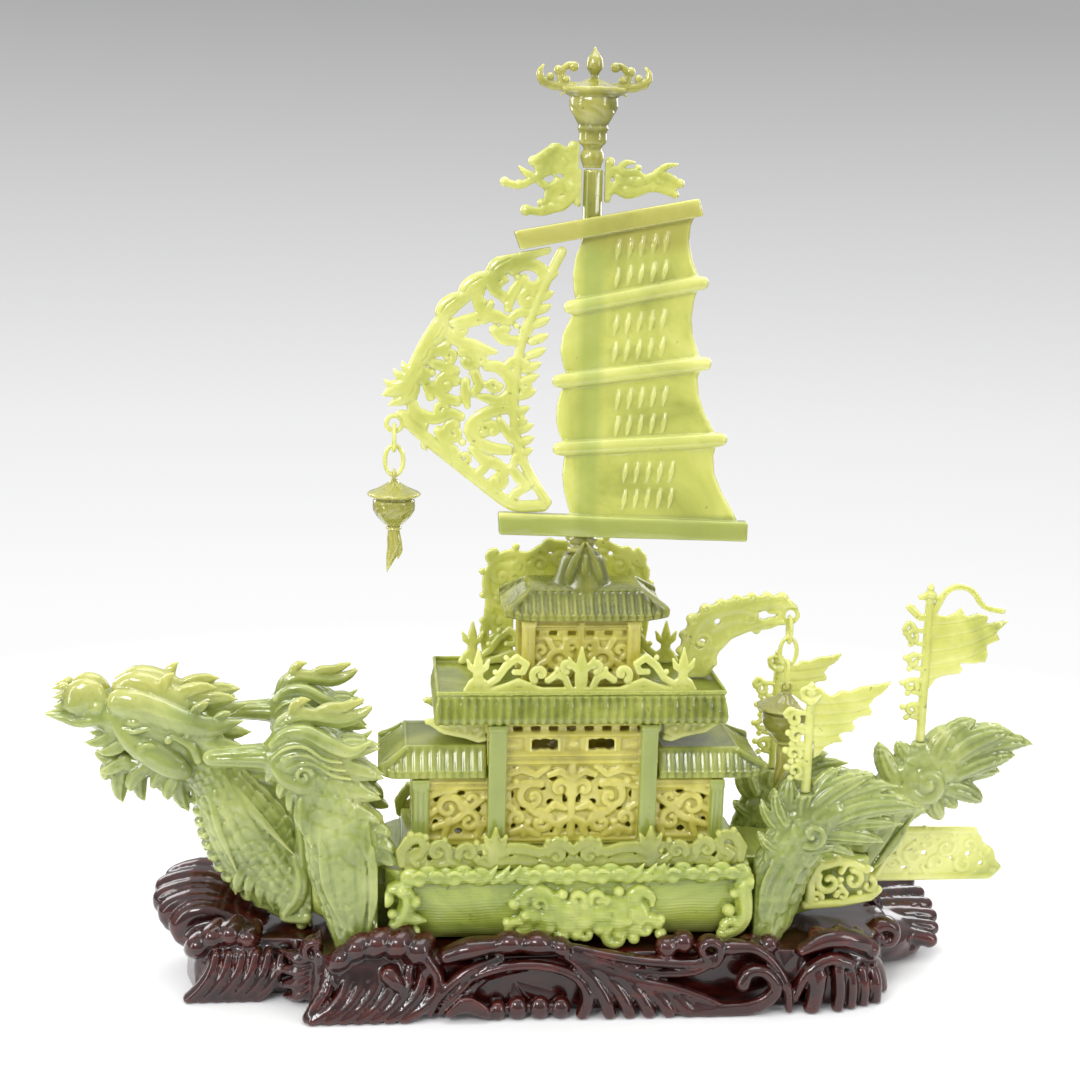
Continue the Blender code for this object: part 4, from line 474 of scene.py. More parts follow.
# ------------------------------------------------------------ stand
def build_stand():
    f = Field((-384, -113, 0), (424, 113, 102), 2.3)
    outline = [(-326, -38), (-226, -44), (-212, -80), (-160, -84), (-100, -90), (40, -88), (150, -86), (250, -90),
               (322, -80), (348, -40), (356, 0), (348, 40), (322, 80), (250, 90), (150, 86), (40, 88), (-100, 90),
               (-160, 84), (-212, 80), (-226, 44), (-326, 40), (-338, 0)]
    X, Y, Z = f.ax[0].reshape(-1, 1, 1), f.ax[1].reshape(1, -1, 1), f.ax[2].reshape(1, 1, -1)
    D2 = poly2(X[:, :, 0], Y[:, :, 0], outline)[:, :, None]
    core = np.maximum(D2 + 0.07 * Z - 2, Z - 56.0)
    f.merge((slice(None),) * 3, core.astype(np.float32))

    for s in (-1, 1):                                     # both long sides
        def T(pts, n=10, k=1.2, disp=None, cut=False):
            f.tube([(x, s * abs(y), z, a, b) for x, y, z, a, b in pts], n, k, disp=disp, cut=cut)

        def B(c, r, k=1.0, cut=False):
            f.ball((c[0], s * abs(c[1]), c[2]), r, k, cut)

        # shell lump near the prow, with knuckles and swept flutes
        B((-160, 74, 26), (54, 26, 44), 2)
        for i, (x, z, r) in enumerate(((-186, 57, 11), (-172, 67, 12), (-153, 71, 13), (-133, 70, 13), (-114, 63, 13), (-103, 48, 10))):
            T([(x - 6, 84, z - 5, r * .8, 12), (x, 86, z, r, 14), (x + 6, 78, z + 5, r * .85, 12)], 5, 0.6)
        for i in range(7):
            x = -188 + 14.2 * i
            z0 = 47 - 0.9 * abs(i - 3) ** 1.6
            T([(x + 8, 90, z0, 5.2, 7), (x + 4, 96, z0 * 0.62, 6.6, 8), (x - 8, 101, z0 * 0.3, 6.6, 8), (x - 25, 104, 3, 6.0, 8)], 8, 0.5)
        T([(-142, 97, 44, 9, 9), (-136, 99, 38, 8, 9), (-126, 98, 26, 4, 6)], 6, 0.5)
        T([(-106, 92, 56, 6, 8), (-96, 96, 40, 6, 8), (-99, 100, 22, 6, 8), (-118, 103, 6, 5, 7)], 9, 0.5)
        # acanthus stem and spiral knob forward of it
        T([(-203, 62, 66, 9, 9), (-197, 78, 52, 8, 9), (-199, 92, 32, 7, 9), (-210, 99, 14, 7, 8), (-217, 100, 3, 6, 8)], 10, 0.6,
          disp=strands(6, 1.4))
        T([(x, 66, z, w, 10) for x, z, w in spiral(-213, 56, 10, 4, 60, 420, 5, 4)], None, 0.4)
        for i, (tx, tz) in enumerate(((-246, 50), (-253, 32), (-252, 14), (-243, 3))):
            T([(-212, 64, 50 - 8 * i, 7, 8), (-226, 64, 47 - 12 * i, 8, 9), (tx, 52, tz, 1.2, 3)], 8, 0.5, disp=strands(6, 1.2))
        # second lump under the prow
        B((-286, 30, 24), (44, 24, 36), 2)
        for x, z, r in ((-324, 50, 12), (-310, 59, 12), (-293, 62, 12), (-276, 58, 11)):
            T([(x - 5, 34, z - 5, r * .8, 11), (x, 38, z, r, 14), (x + 5, 30, z + 5, r * .8, 11)], 5, 0.6)
        for i in range(6):
            x = -318 + 12.5 * i
            T([(x + 12, 46, 44, 5.6, 8), (x + 8, 51, 28, 6.6, 9), (x - 2, 53, 13, 6.6, 9), (x - 14, 53, 2, 6, 9)], 8, 0.3)
        B((-292, 46, 36), (9, 6, 9), 0.5)
        # rolled rim amidships: long sausages
        for x0, z0, x1, z1, r in ((-88, 58, -46, 68, 10), (-38, 68, -20, 69, 11), (-12, 68, 8, 67, 11), (14, 66, 26, 60, 9)):
            T([(x0, 88, z0, r * .8, 11), ((x0 + x1) / 2, 90, (z0 + z1) / 2 + 3, r, 13), (x1, 88, z1, r * .8, 11)], 7, 0.5)
        # sweeping leaf strokes that rise to the rim
        for i in range(3):
            T([(-104 + 9 * i, 103 - 2 * i, 6, 2.5, 4), (-92 + 9 * i, 101, 26 - 4 * i, 4.5, 6), (-68 + 10 * i, 97, 46 - 5 * i, 5, 6),
               (-36 + 12 * i, 93, 58 - 6 * i, 3.5, 5)], 10, 0.4)
        T([(-86, 106, 8, 4, 7), (-70, 107, 18, 8, 8), (-56, 108, 12, 7, 8), (-48, 106, 5, 3, 5)], 8, 0.4)
        f.ball((-22, s * 104, 30), (46, 12, 18), 2.0, cut=True)               # smooth dark hollow
        T([(-72, 98, 36, 3, 5), (-40, 100, 50, 4.5, 6), (0, 100, 52, 4.5, 6), (34, 100, 40, 5, 7), (46, 103, 20, 7, 8), (40, 105, 4, 6, 7)], 14, 0.5)
        for x, r in ((-40, 9), (-21, 10.5), (0, 10.5), (20, 10)):
            B((x, 101, r - 1), (r, 10, r * 1.15), 0.4)
        # feather ribs sweeping aft from the rim to the ground
        T([(22, 94, 60, 5, 6), (56, 98, 46, 6, 7), (92, 100, 34, 5, 6), (136, 103, 25, 4, 6), (182, 107, 7, 3, 5)], 14, 0.4)
        for i in range(6):
            x = 30 + 19 * i
            z = 56 - 6.6 * i
            T([(x, 97, z, 4, 6), (x + 17, 100, z * 0.72, 6.5, 7), (x + 31, 103, z * 0.34, 7.5, 8), (x + 36, 106, 5, 6.5, 8)], 10, 0.4)
        # double-ribbed leaf that ends in a scroll
        for dz, w in ((0, 5), (-11, 5)):
            T([(30, 90, 66 + dz * .3, 3, 5), (70, 92, 56 + dz * .8, w, 7), (110, 93, 50 + dz, w, 7), (150, 95, 49 + dz * .7, w, 7),
               (172, 93, 58 + dz * .2, 4, 6)], 12, 0.4)
        T([(x, 92, z, w, 10) for x, z, w in spiral(161, 61, 14, 5, -70, 230, 6, 5)], None, 0.4)
        for x, z, r in ((122, 62, 11), (138, 67, 11)):
            B((x, 86, z), (r, 12, r), 0.6)
        f.ball((196, s * 102, 34), (24, 9, 16), 1.5, cut=True)
        # C-scroll by the ground
        T([(132, 106, 5, 3, 5), (168, 107, 6, 6, 7), (206, 107, 9, 7, 8), (226, 105, 25, 7, 8), (216, 102, 41, 6, 8), (200, 102, 42, 6, 8),
           (194, 103, 31, 8, 9)], 18, 0.4)
        T([(182, 92, 63, 8, 10), (206, 94, 62, 6, 8), (226, 97, 46, 5, 7), (238, 101, 24, 5, 7), (240, 104, 4, 4, 6)], 12, 0.5)
        B((222, 84, 62), (10, 11, 9), 0.5)
        B((204, 80, 62), (13, 12, 8), 0.5)
        # stepped lump at the stern corner
        B((288, 68, 20), (48, 26, 40), 2)
        T([(246, 98, 14, 5, 8), (258, 97, 38, 6, 8), (280, 95, 50, 6, 8), (300, 93, 44, 6, 8)], 10, 0.5)
        T([(252, 92, 58, 5, 8), (274, 88, 66, 9, 10), (294, 84, 66, 10, 11), (312, 80, 60, 10, 11), (326, 72, 48, 10, 11)], 12, 0.5)
        for x, z in ((270, 66), (292, 67), (311, 62), (325, 50)):
            B((x, 80 if x < 300 else 74, z), (10, 13, 10), 0.5)
        T([(268, 98, 34, 10, 9), (266, 101, 16, 9, 9), (262, 103, 3, 8, 8)], 6, 0.5)
        for i in range(4):
            T([(288 + 13 * i, 96 - 5 * i, 40 - 3 * i, 6, 8), (290 + 13 * i, 99 - 4 * i, 20, 6.5, 8), (288 + 14 * i, 101 - 5 * i, 2, 6, 8)], 7, 0.4)
        T([(326, 72, 44, 6, 8), (337, 62, 24, 8, 10), (342, 60, 3, 8, 10)], 6, 0.5)
    # shell fan under the prow, swept forward
    for i in range(5):
        t = i / 4
        tip = (-344 - 30 * math.sin(math.pi * (0.25 + 0.62 * t)) + 6, 52 - 54 * t, 86 - 25 * t ** 1.3)
        mid = (-312 - 8 * t, 40 - 42 * t, 92 - 24 * t ** 1.2)
        base = (-268, 18 - 20 * t, 60 - 8 * t)
        f.tube([(*base, 8, 8), (*mid, 12, 11.5), (tip[0] + 8, tip[1], tip[2] - 4, 13, 12), (tip[0] + 9, tip[1], tip[2] - 15, 12, 11)], 12, 0.4)
    f.ball((-308, 10, 44), (44, 36, 24), 2)
    f.ball((-292, 14, 54), (34, 30, 20), 2)
    # long gadroons under the stern
    for i in range(6):
        t = i / 5
        tip = (396 + 22 * math.sin(math.pi * (0.15 + 0.62 * t)), 74 - 66 * t, 54 - 34 * t)
        f.tube([(330, 40 - 30 * t, 56 - 26 * t, 5, 6), (366, 54 - 42 * t, 58 - 30 * t, 7, 7.5), (*tip, 8, 8), (tip[0] + 3, tip[1], tip[2] - 3, 7, 7)],
               10, 0.6)
    f.ball((352, 26, 22), (46, 48, 26), 3)
    f.ball((372, 34, 10), (40, 44, 14), 3)
    for s in (-1, 1):
        f.tube([(x, s * 34, z, w, 12) for x, z, w in spiral(352, 46, 13, 5, 150, -170, 8, 6)], None, 0.5)
    f.ball((350, 0, 46), (14, 20, 13), 1)
    # bed for the hull, flat underside
    f.box((-205, -77.5, 56.0), (263, 77.5, 130), 0.5, cut=True)
    f.box((-256, -37.5, 56.0), (-200, 37.5, 130), 0.5, cut=True)
    f.box((-205, -82.5, 56.0), (-143, 82.5, 130), 0.5, cut=True)
    X, Y, Z = f.ax[0].reshape(-1, 1, 1), f.ax[1].reshape(1, -1, 1), f.ax[2].reshape(1, 1, -1)
    f.D = np.maximum(f.D, (0.4 - Z)).astype(np.float32)
    f.D = np.maximum(f.D, (np.abs(Y) - 112.0)).astype(np.float32)
    return f.mesh(0.0)


# ------------------------------------------------------------ hull
def build_hull():
    f = Field((-219, -82, 56), (337, 82, 150), 1.7)
    X, Y, Z = f.ax[0].reshape(-1, 1, 1), f.ax[1].reshape(1, -1, 1), f.ax[2].reshape(1, 1, -1)

    def section(zb, top):
        t = np.clip((Z - zb) / (top - zb), 0, 1)
        return np.interp(t, [0, 0.07, 0.18, 0.30, 0.60, 0.82, 0.9, 1.0], [0.60, 0.80, 0.89, 0.945, 1.0, 0.975, 1.0, 1.02])

    xs = f.ax[0]
    w = np.interp(xs, [-148, -146, -136, -118, -96, 172, 192, 205, 207], [40, 56, 66, 70, 72, 72, 69, 60, 40]).reshape(-1, 1, 1)
    zb = np.interp(xs, [-146, -136, -118, -96, 172, 192, 205], [86, 68, 60, 56.7, 56.7, 61, 74]).reshape(-1, 1, 1)
    lines = 0
    for z in (124, 116.5, 109, 101.5, 94, 86.5, 79, 71.5):                    # planks
        lines = lines + 0.30 * np.exp(-((Z - z - 1.5 * np.sin(X * 0.012)) / 1.1) ** 2)
    wide = np.maximum(np.maximum(np.abs(Y) - w * section(zb, 135.0) + lines, zb - Z), np.maximum(Z - 135.0, np.maximum(-146 - X, X - 205)))
    w2 = np.interp(xs, [-216, -190, -150, 255, 296, 335], [30, 38, 41.3, 41.3, 36, 26]).reshape(-1, 1, 1)
    z2 = np.interp(xs, [-216, -190, -150, 200, 255, 296, 335], [72, 61, 56.5, 56.5, 62, 72, 82]).reshape(-1, 1, 1)
    t2 = np.interp(xs, [-216, -190, -150, 200, 255, 296, 335], [128, 132, 134.5, 134.5, 128, 124, 124]).reshape(-1, 1, 1)
    narrow = np.maximum(np.maximum(np.abs(Y) - w2 * section(z2, t2) + lines, z2 - Z), np.maximum(Z - t2, np.maximum(-215.8 - X, X - 334.6)))
    f.merge((slice(None),) * 3, np.minimum(wide, narrow).astype(np.float32))
    for s in (-1, 1):
        y = s * 71.0

        def R(lines_, b=8.0, yy=y, k=0.8, disp=None, n=None):
            f.strokes(lines_, yy, b, k, disp=disp, n=n)

        def knob(x, z, r, out=4.0):
            f.ball((x, y + s * out, z), (r, r * 1.1, r), 0.5)

        def curl(cx, cz, r0, a0, a1, w0=4.4, r1=2.5, w1=3.4, out=4.0):
            f.tube([(x, y + s * out, z, w_, 5.5) for x, z, w_ in spiral(cx, cz, r0, r1, a0, a1, w0, w1)], None, 0.4)

        # tall cloud scroll near the prow
        f.tube([(-140, y, 119, 5, 8), (-131, y, 119, 8, 10), (-124, y, 109, 9, 11), (-127, y, 95, 9, 11), (-133, y, 82, 9.5, 11), (-129, y, 70, 8, 10),
                (-115, y, 65, 5.5, 9)], 18, 0.8, disp=strands(5, 1.2))
        f.tube([(-128, y + s * 3, 93, 7, 7), (-118, y + s * 3, 89, 6, 6), (-107, y + s * 2, 87, 1.2, 3)], 8, 0.6)
        for x, z, r in ((-145, 110, 8), (-130, 118, 7), (-118, 107, 6.5), (-109, 66, 6), (-141, 72, 6), (-139, 95, 5), (-117, 77, 5)):
            knob(x, z, r)
        curl(-133, 77, 9, 90, 330, 5)
        # broad cloud group amidships, its body one fat rolled mass
        for x, z, r in ((-16, 106, 9), (0, 111, 9), (14, 103, 11), (28, 95, 12), (10, 88, 12), (-6, 90, 10), (-14, 76, 10), (6, 74, 10), (26, 79, 12), (44, 84, 12),
                        (46, 98, 9), (60, 92, 12), (62, 76, 10), (78, 84, 12), (78, 100, 10), (92, 108, 9), (96, 92, 11), (94, 76, 10), (108, 82, 9), (78, 70, 9)):
            f.ball((x, y + s * 1.5, z), (r, r * 0.75, r), 3.0)
        f.tube([(-18, y, 104, 5, 7), (-12, y, 113, 6.5, 8), (0, y, 116, 7, 9), (10, y, 109, 7, 9), (12, y, 99, 6.5, 9), (6, y, 92, 5, 8)], 16, 0.8, disp=strands(4, 1.0))
        f.tube([(18, y, 82, 5, 8), (20, y, 92, 7, 9), (30, y, 100, 7, 9), (42, y, 97, 6.5, 9), (45, y, 88, 5, 8)], 14, 0.8, disp=strands(4, 1.0))
        f.tube([(58, y, 82, 5, 8), (57, y, 94, 7, 9), (66, y, 103, 7, 9), (78, y, 101, 6.5, 9), (81, y, 92, 5, 8)], 14, 0.8, disp=strands(4, 1.0))
        f.tube([(86, y, 98, 5, 7), (88, y, 109, 6.5, 8), (98, y, 114, 6.5, 8), (108, y, 107, 5, 7), (109, y, 99, 3, 6)], 14, 0.8, disp=strands(4, 1.0))
        curl(0, 103, 8, -30, 250, 4.6)
        curl(31, 89, 7, 200, -60, 4.6)
        curl(68, 91, 7, -20, 260, 4.6)
        curl(99, 90, 9, 160, 420, 5)
        curl(104, 76, 12, 20, 330, 5.4)
        curl(75, 68, 12, 130, 440, 5.4)
        curl(-22, 76, 10, 60, 350, 5)
        curl(36, 107, 7.5, -40, 240)
        curl(56, 107, 7.5, 200, -70)
        curl(46, 72, 8.5, 90, 380)
        for x, z, r in ((-24, 103, 6), (-13, 91, 6), (-2, 69, 7.5), (22, 70, 8), (36, 71, 6.5), (10, 78, 6.5), (43, 100, 5.5), (64, 105, 6), (92, 66, 6), (118, 70, 6),
                        (117, 84, 5.5), (86, 84, 6), (-33, 68, 6), (22, 112, 5.5), (30, 102, 5), (58, 76, 6), (76, 114, 5.5), (-30, 84, 5)):
            knob(x, z, r)
        # scroll at the stern
        f.tube([(214, y - s * 3, 116, 5.5, 8), (206, y, 121, 7.5, 9), (197, y, 117, 9, 10), (198, y, 103, 9, 11), (199, y, 89, 9, 11), (194, y, 76, 8, 10),
                (184, y, 68, 6.5, 8)], 18, 0.8, disp=strands(5, 1.2))
        for x, z, r in ((213, 113, 6), (183, 93, 6.5), (178, 69, 6), (188, 110, 5), (209, 72, 5.5), (187, 83, 5)):
            knob(x, z, r)
        curl(184, 74, 9, 30, 300, 5)
        # lobed cloud rim along the deck edge, with small curls
        for g0, g1 in ((-122, -56), (-14, 84), (118, 194)):
            m_ = max(3, int(round((g1 - g0) / 17)))
            for i in range(m_ + 1):
                x = g0 + (g1 - g0) * i / m_
                f.ball((x, s * 72.5, 130 + 2.5 * (i % 2)), (10.5, 5.0, 9.5), 1.2)
            for i in range(m_):
                x = g0 + (g1 - g0) * (i + 0.5) / m_
                f.ball((x, s * 76.0, 127.5 + 2.5 * (i % 2)), (6.5, 3.2, 6.0), 0.8)
                f.tube([(x - 6, s * 76.5, 133, 2.0, 2.4), (x, s * 77.5, 136.5, 2.4, 2.4), (x + 6, s * 76.5, 133, 2.0, 2.4)], 6, 0.5)
        for x, up_ in ((-46, 1), (-34, 1), (-24, 1), (94, 1), (106, 1), (114, 1)):
            f.tube([(x - 10, s * 73, 126, 4.5, 4), (x - 2, s * 74, 131, 4.5, 4), (x + 6, s * 73, 141, 0.8, 2)], 7, 0.6)
    # the step that the cabin stands on, with two mouldings
    f.box((-130, -61, 128), (190, 61, 149), 0.8)
    for z in (139.5, 144.5):
        f.box((-140, -64, z - 0.9), (200, -60.1, z + 0.9), 0.3, 0.4, cut=True)
        f.box((-140, 60.1, z - 0.9), (200, 64, z + 0.9), 0.3, 0.4, cut=True)
    X, Y, Z = f.ax[0].reshape(-1, 1, 1), f.ax[1].reshape(1, -1, 1), f.ax[2].reshape(1, 1, -1)
    f.D = np.maximum(f.D, 56.4 - Z).astype(np.float32)
    aft = np.maximum(np.abs(Y) - 41.6, -1e3) + 0 * X + 0 * Z
    f.D = np.where((X > 206.5) & (np.abs(Y) > 38) & (X < 262), np.maximum(f.D, np.minimum(aft, BIG)), f.D).astype(np.float32)
    f.D = np.where((X < -146.5) & (np.abs(Y) > 38), np.maximum(f.D, aft), f.D).astype(np.float32)
    return f.mesh(0.02)


# ------------------------------------------------------------ dragon at the prow
def build_dragon():
    f = Field((-474, -34, 56.4), (-214, 34, 320), 1.45)
    neck = [(-200, 0, 78, 26, 28), (-222, 0, 88, 32, 29), (-246, 0, 106, 37, 30), (-266, 0, 134, 41, 30), (-281, 0, 160, 39, 29),
            (-296, 0, 186, 31, 27), (-308, 0, 208, 26, 25), (-322, 0, 232, 26, 24)]
    f.tube(neck, 14, 0, disp=scales(15, 12, 3.4, vein=0.35))
    # belly plates down the throat
    for i in range(13):
        t = i / 12
        x, z = np.array(curve([(-326, 184), (-321, 150), (-306, 116), (-280, 86), (-244, 66)], 13)[i])
        f.tube([(x + 3, -15, z + 2, 4, 4), (x - 1.5, 0, z - 1, 5.4, 7), (x + 3, 15, z + 2, 4, 4)], 5, 0.6)
    # long strands down both flanks
    for s in (-1, 1):
        for j, (x0, z0, x1, z1, w) in enumerate(((-306, 218, -268, 120, 5), (-298, 214, -246, 128, 5), (-290, 206, -232, 136, 4.5),
                                                 (-312, 206, -286, 118, 4.5))):
            f.tube([(x0, s * 23, z0, 3, 3), ((x0 + x1) / 2 - 5, s * 28, (z0 + z1) / 2 + 4, w, 3.2), (x1, s * 29, z1, 0.8, 1.5)], 9, 0.8,
                   disp=strands(4, 0.6))
        for j in range(7):                                        # feather tips at the neck's foot
            a = j / 6
            bx, bz = -286 + 62 * a, 112 - 34 * a
            f.tube([(bx + 8, s * 24, bz + 14, 5, 5), (bx, s * 27, bz, 6, 5), (bx - 3 + 10 * a, s * 24, bz - 17, 0.9, 2)], 8, 0.8, disp=strands(4, 0.8))
    # skull, muzzle, jaw
    f.tube([(-318, 0, 228, 25, 22), (-346, 0, 256, 32, 28), (-380, 0, 268, 28, 27), (-408, 0, 272, 20, 22), (-430, 0, 276, 14, 17),
            (-444, 0, 281, 9, 12)], 12, 1)
    f.tube([(-336, 0, 226, 22, 20), (-366, 0, 222, 16, 19), (-392, 0, 224, 11, 15), (-410, 0, 226, 7, 10), (-419, 0, 231, 3, 6)], 9, 3)
    f.tube([(-396, 0, 250, 7, 30), (-416, 0, 250, 6, 30), (-432, 0, 254, 4, 30)], 5, 1.5, cut=True)        # the open mouth
    f.tube([(-384, 0, 238, 4, 8), (-404, 0, 243, 4, 8), (-420, 0, 246, 2.4, 5)], 6, 1.0)                   # tongue
    for s in (-1, 1):
        # nostrils: a ball under an arched rim
        f.ball((-427, s * 10, 289), (20, 10, 19), 1.5)
        f.ball((-434, s * 12, 283), (12, 8, 9), 3)
        f.ball((-413, s * 13, 285), (9, 6, 8), 3)
        f.ball((-415, s * 15, 281), (9, 7, 8), 0.6)
        f.ball((-399, s * 17, 277), (8, 7, 8), 0.6)
        for z in (300, 291, 282):                                 # short frill on the nose
            f.tube([(-446, s * 8, z, 4.4, 4.5), (-458, s * 7, z - 3, 0.7, 1)], 3, 0.5)
        f.tube([(-466.5, s * 1.5, 270.5, 0.8, 1.2), (-458, s * 5, 270.5, 3, 4), (-446, s * 10, 269, 5, 5), (-432, s * 15, 266, 5.2, 4.6), (-412, s * 18, 269, 4.8, 4),
                (-398, s * 19, 263, 4, 4)], 12, 0.8)                                                        # lip line
        # tall brow crest and the eye under it
        f.tube([(-392, s * 8, 298, 11, 9), (-380, s * 9, 302, 13, 11), (-364, s * 10, 299, 13, 11), (-348, s * 12, 290, 12, 10), (-334, s * 14, 281, 9, 8)], 14, 1.5)
        f.tube([(-393, s * 19, 287, 13, 9), (-380, s * 21, 284, 15.5, 10), (-358, s * 22, 277, 15.5, 10), (-332, s * 24, 268, 12.5, 9),
                (-306, s * 26, 265, 9.4, 7.5), (-279, s * 28, 271.5, 0.9, 2)], 18, 0.4)
        f.tube([(-396, s * 27, 287, 1.2, 1.5), (-372, s * 31, 284, 1.6, 1.6), (-346, s * 32, 275, 1.6, 1.6), (-320, s * 32, 268, 1.0, 1.2)], 14, 1.0)
        flame(f, (-326, s * 25, 276), (-311, s * 25, 288), 6, 4, 0.1, m_=4, amp=0.5)
        flame(f, (-306, s * 26, 270), (-290, s * 27, 279), 5, 4, 0.1, m_=4, amp=0.5)
        f.ball((-380, s * 25, 270), (8.5, 5.5, 6), 0.4)
        f.ball((-380, s * 29, 270), (4, 2.4, 3.4), 0.2)
        f.tube([(-392, s * 24, 264, 2.2, 2.4), (-380, s * 28, 261, 2.6, 2.4), (-366, s * 27, 264, 2.2, 2.2)], 7, 0.3)
        # cheek: a drop that runs to the mouth's corner, with a curl
        f.tube([(-404, s * 18, 277, 3.5, 4), (-394, s * 20, 262, 7.5, 7), (-380, s * 23, 247, 11, 8.5), (-362, s * 25, 237, 14, 10), (-346, s * 26, 227, 13, 10),
                (-337, s * 25, 221, 9, 8)], 14, 0.8)
        f.tube([(x, s * 31, z, w, 2.6) for x, z, w in spiral(-369, 240, 9.5, 2.5, 40, 420, 3.0, 2.4)], None, 0.4)
        f.tube([(-344, s * 26, 256, 4, 4), (-328, s * 26, 246, 5, 5), (-322, s * 26, 232, 4.6, 4)], 8, 0.6)
        for x, z, r in ((-349, 252, 4.4), (-339, 262, 4.6), (-331, 257, 3.6)):
            f.ball((x, s * 27, z), (r, 4, r), 0.4)
        # ear, horns and back-swept locks
        flame(f, (-352, s * 15, 286), (-343, s * 18, 316), 7, 5, 0.2, m_=5, amp=0.7)
        flame(f, (-350, s * 12, 284), (-304, s * 15, 300), 9, 6, 0.10, m_=5)
        flame(f, (-338, s * 12, 278), (-284, s * 17, 289), 10, 6, 0.06, m_=6)
        flame(f, (-332, s * 20, 254), (-275, s * 24, 243), 10, 6, -0.06, m_=6)
        flame(f, (-330, s * 20, 242), (-282, s * 22, 228), 9, 6, -0.05, m_=6)
        flame(f, (-326, s * 20, 234), (-291, s * 20, 213), 8, 6, -0.08, m_=6)
        flame(f, (-334, s * 22, 250), (-300, s * 27, 256), 8, 5, 0.1, m_=6)
        # lip leaf and jaw fringe
        flame(f, (-396, s * 15, 262), (-430, s * 15, 247), 7, 4, 0.18, m_=4)
        flame(f, (-388, s * 18, 252), (-418, s * 17, 238), 7, 4, 0.16, m_=4)
        flame(f, (-392, s * 12, 228), (-417, s * 11, 216), 7, 4, 0.10, m_=4)
        flame(f, (-372, s * 16, 222), (-388, s * 14, 196), 8, 5, -0.12, m_=5)
        flame(f, (-352, s * 18, 218), (-366, s * 16, 200), 8, 5, -0.10, m_=5)
        flame(f, (-344, s * 20, 214), (-352, s * 20, 190), 8, 5, -0.10, m_=5)
    # beard: broad leaf lobes with pointed tips
    for bx, tx, tz, w in ((-402, -413, 203, 8), (-390, -397, 180, 10), (-376, -376, 181, 9), (-356, -357, 189, 8), (-340, -334, 170, 11)):
        flame(f, (bx, 0, 224), (tx, 0, tz), w, 8, -0.12, k=2.0, m_=7, amp=1.1)
    # flame fins down the nape
    for x, z, tx, tz, w in ((-296, 214, -254, 208, 9), (-288, 204, -246, 194, 9), (-278, 194, -238, 179, 9), (-268, 182, -230, 163, 9),
                            (-258, 166, -222, 149, 8.5), (-250, 150, -218, 136, 8), (-243, 134, -217, 122, 7)):
        flame(f, (x, 0, z), (tx, 0, tz), w, 7, 0.16, k=1.5, m_=6, amp=0.9)
    # a curl of cloud where the neck meets the hull
    for s in (-1, 1):
        f.tube([(-230, s * 16, 172, 4, 5), (-225, s * 20, 150, 6.5, 7), (-224, s * 22, 126, 7.4, 8), (-224, s * 23, 100, 7.4, 8), (-224, s * 22, 78, 7, 8),
                (-226, s * 20, 62, 6, 7)], 14, 1.0, disp=strands(5, 1.0))
        f.tube([(-232, s * 24, 132, 4, 4), (-226, s * 29, 112, 7, 5), (-230, s * 30, 92, 8, 5), (-242, s * 28, 74, 6, 5), (-224, s * 28, 70, 5, 5)], 14, 0.6,
               disp=strands(5, 0.9))
        f.ball((-221, s * 29, 72), (6, 5, 6), 0.4)
    X, Y, Z = f.ax[0].reshape(-1, 1, 1), f.ax[1].reshape(1, -1, 1), f.ax[2].reshape(1, 1, -1)
    f.D = np.maximum(f.D, np.where(Z < 205, X + 216.2, -BIG)).astype(np.float32)
    f.D = np.maximum(f.D, 56.5 - Z).astype(np.float32)
    return f.mesh(0.0)


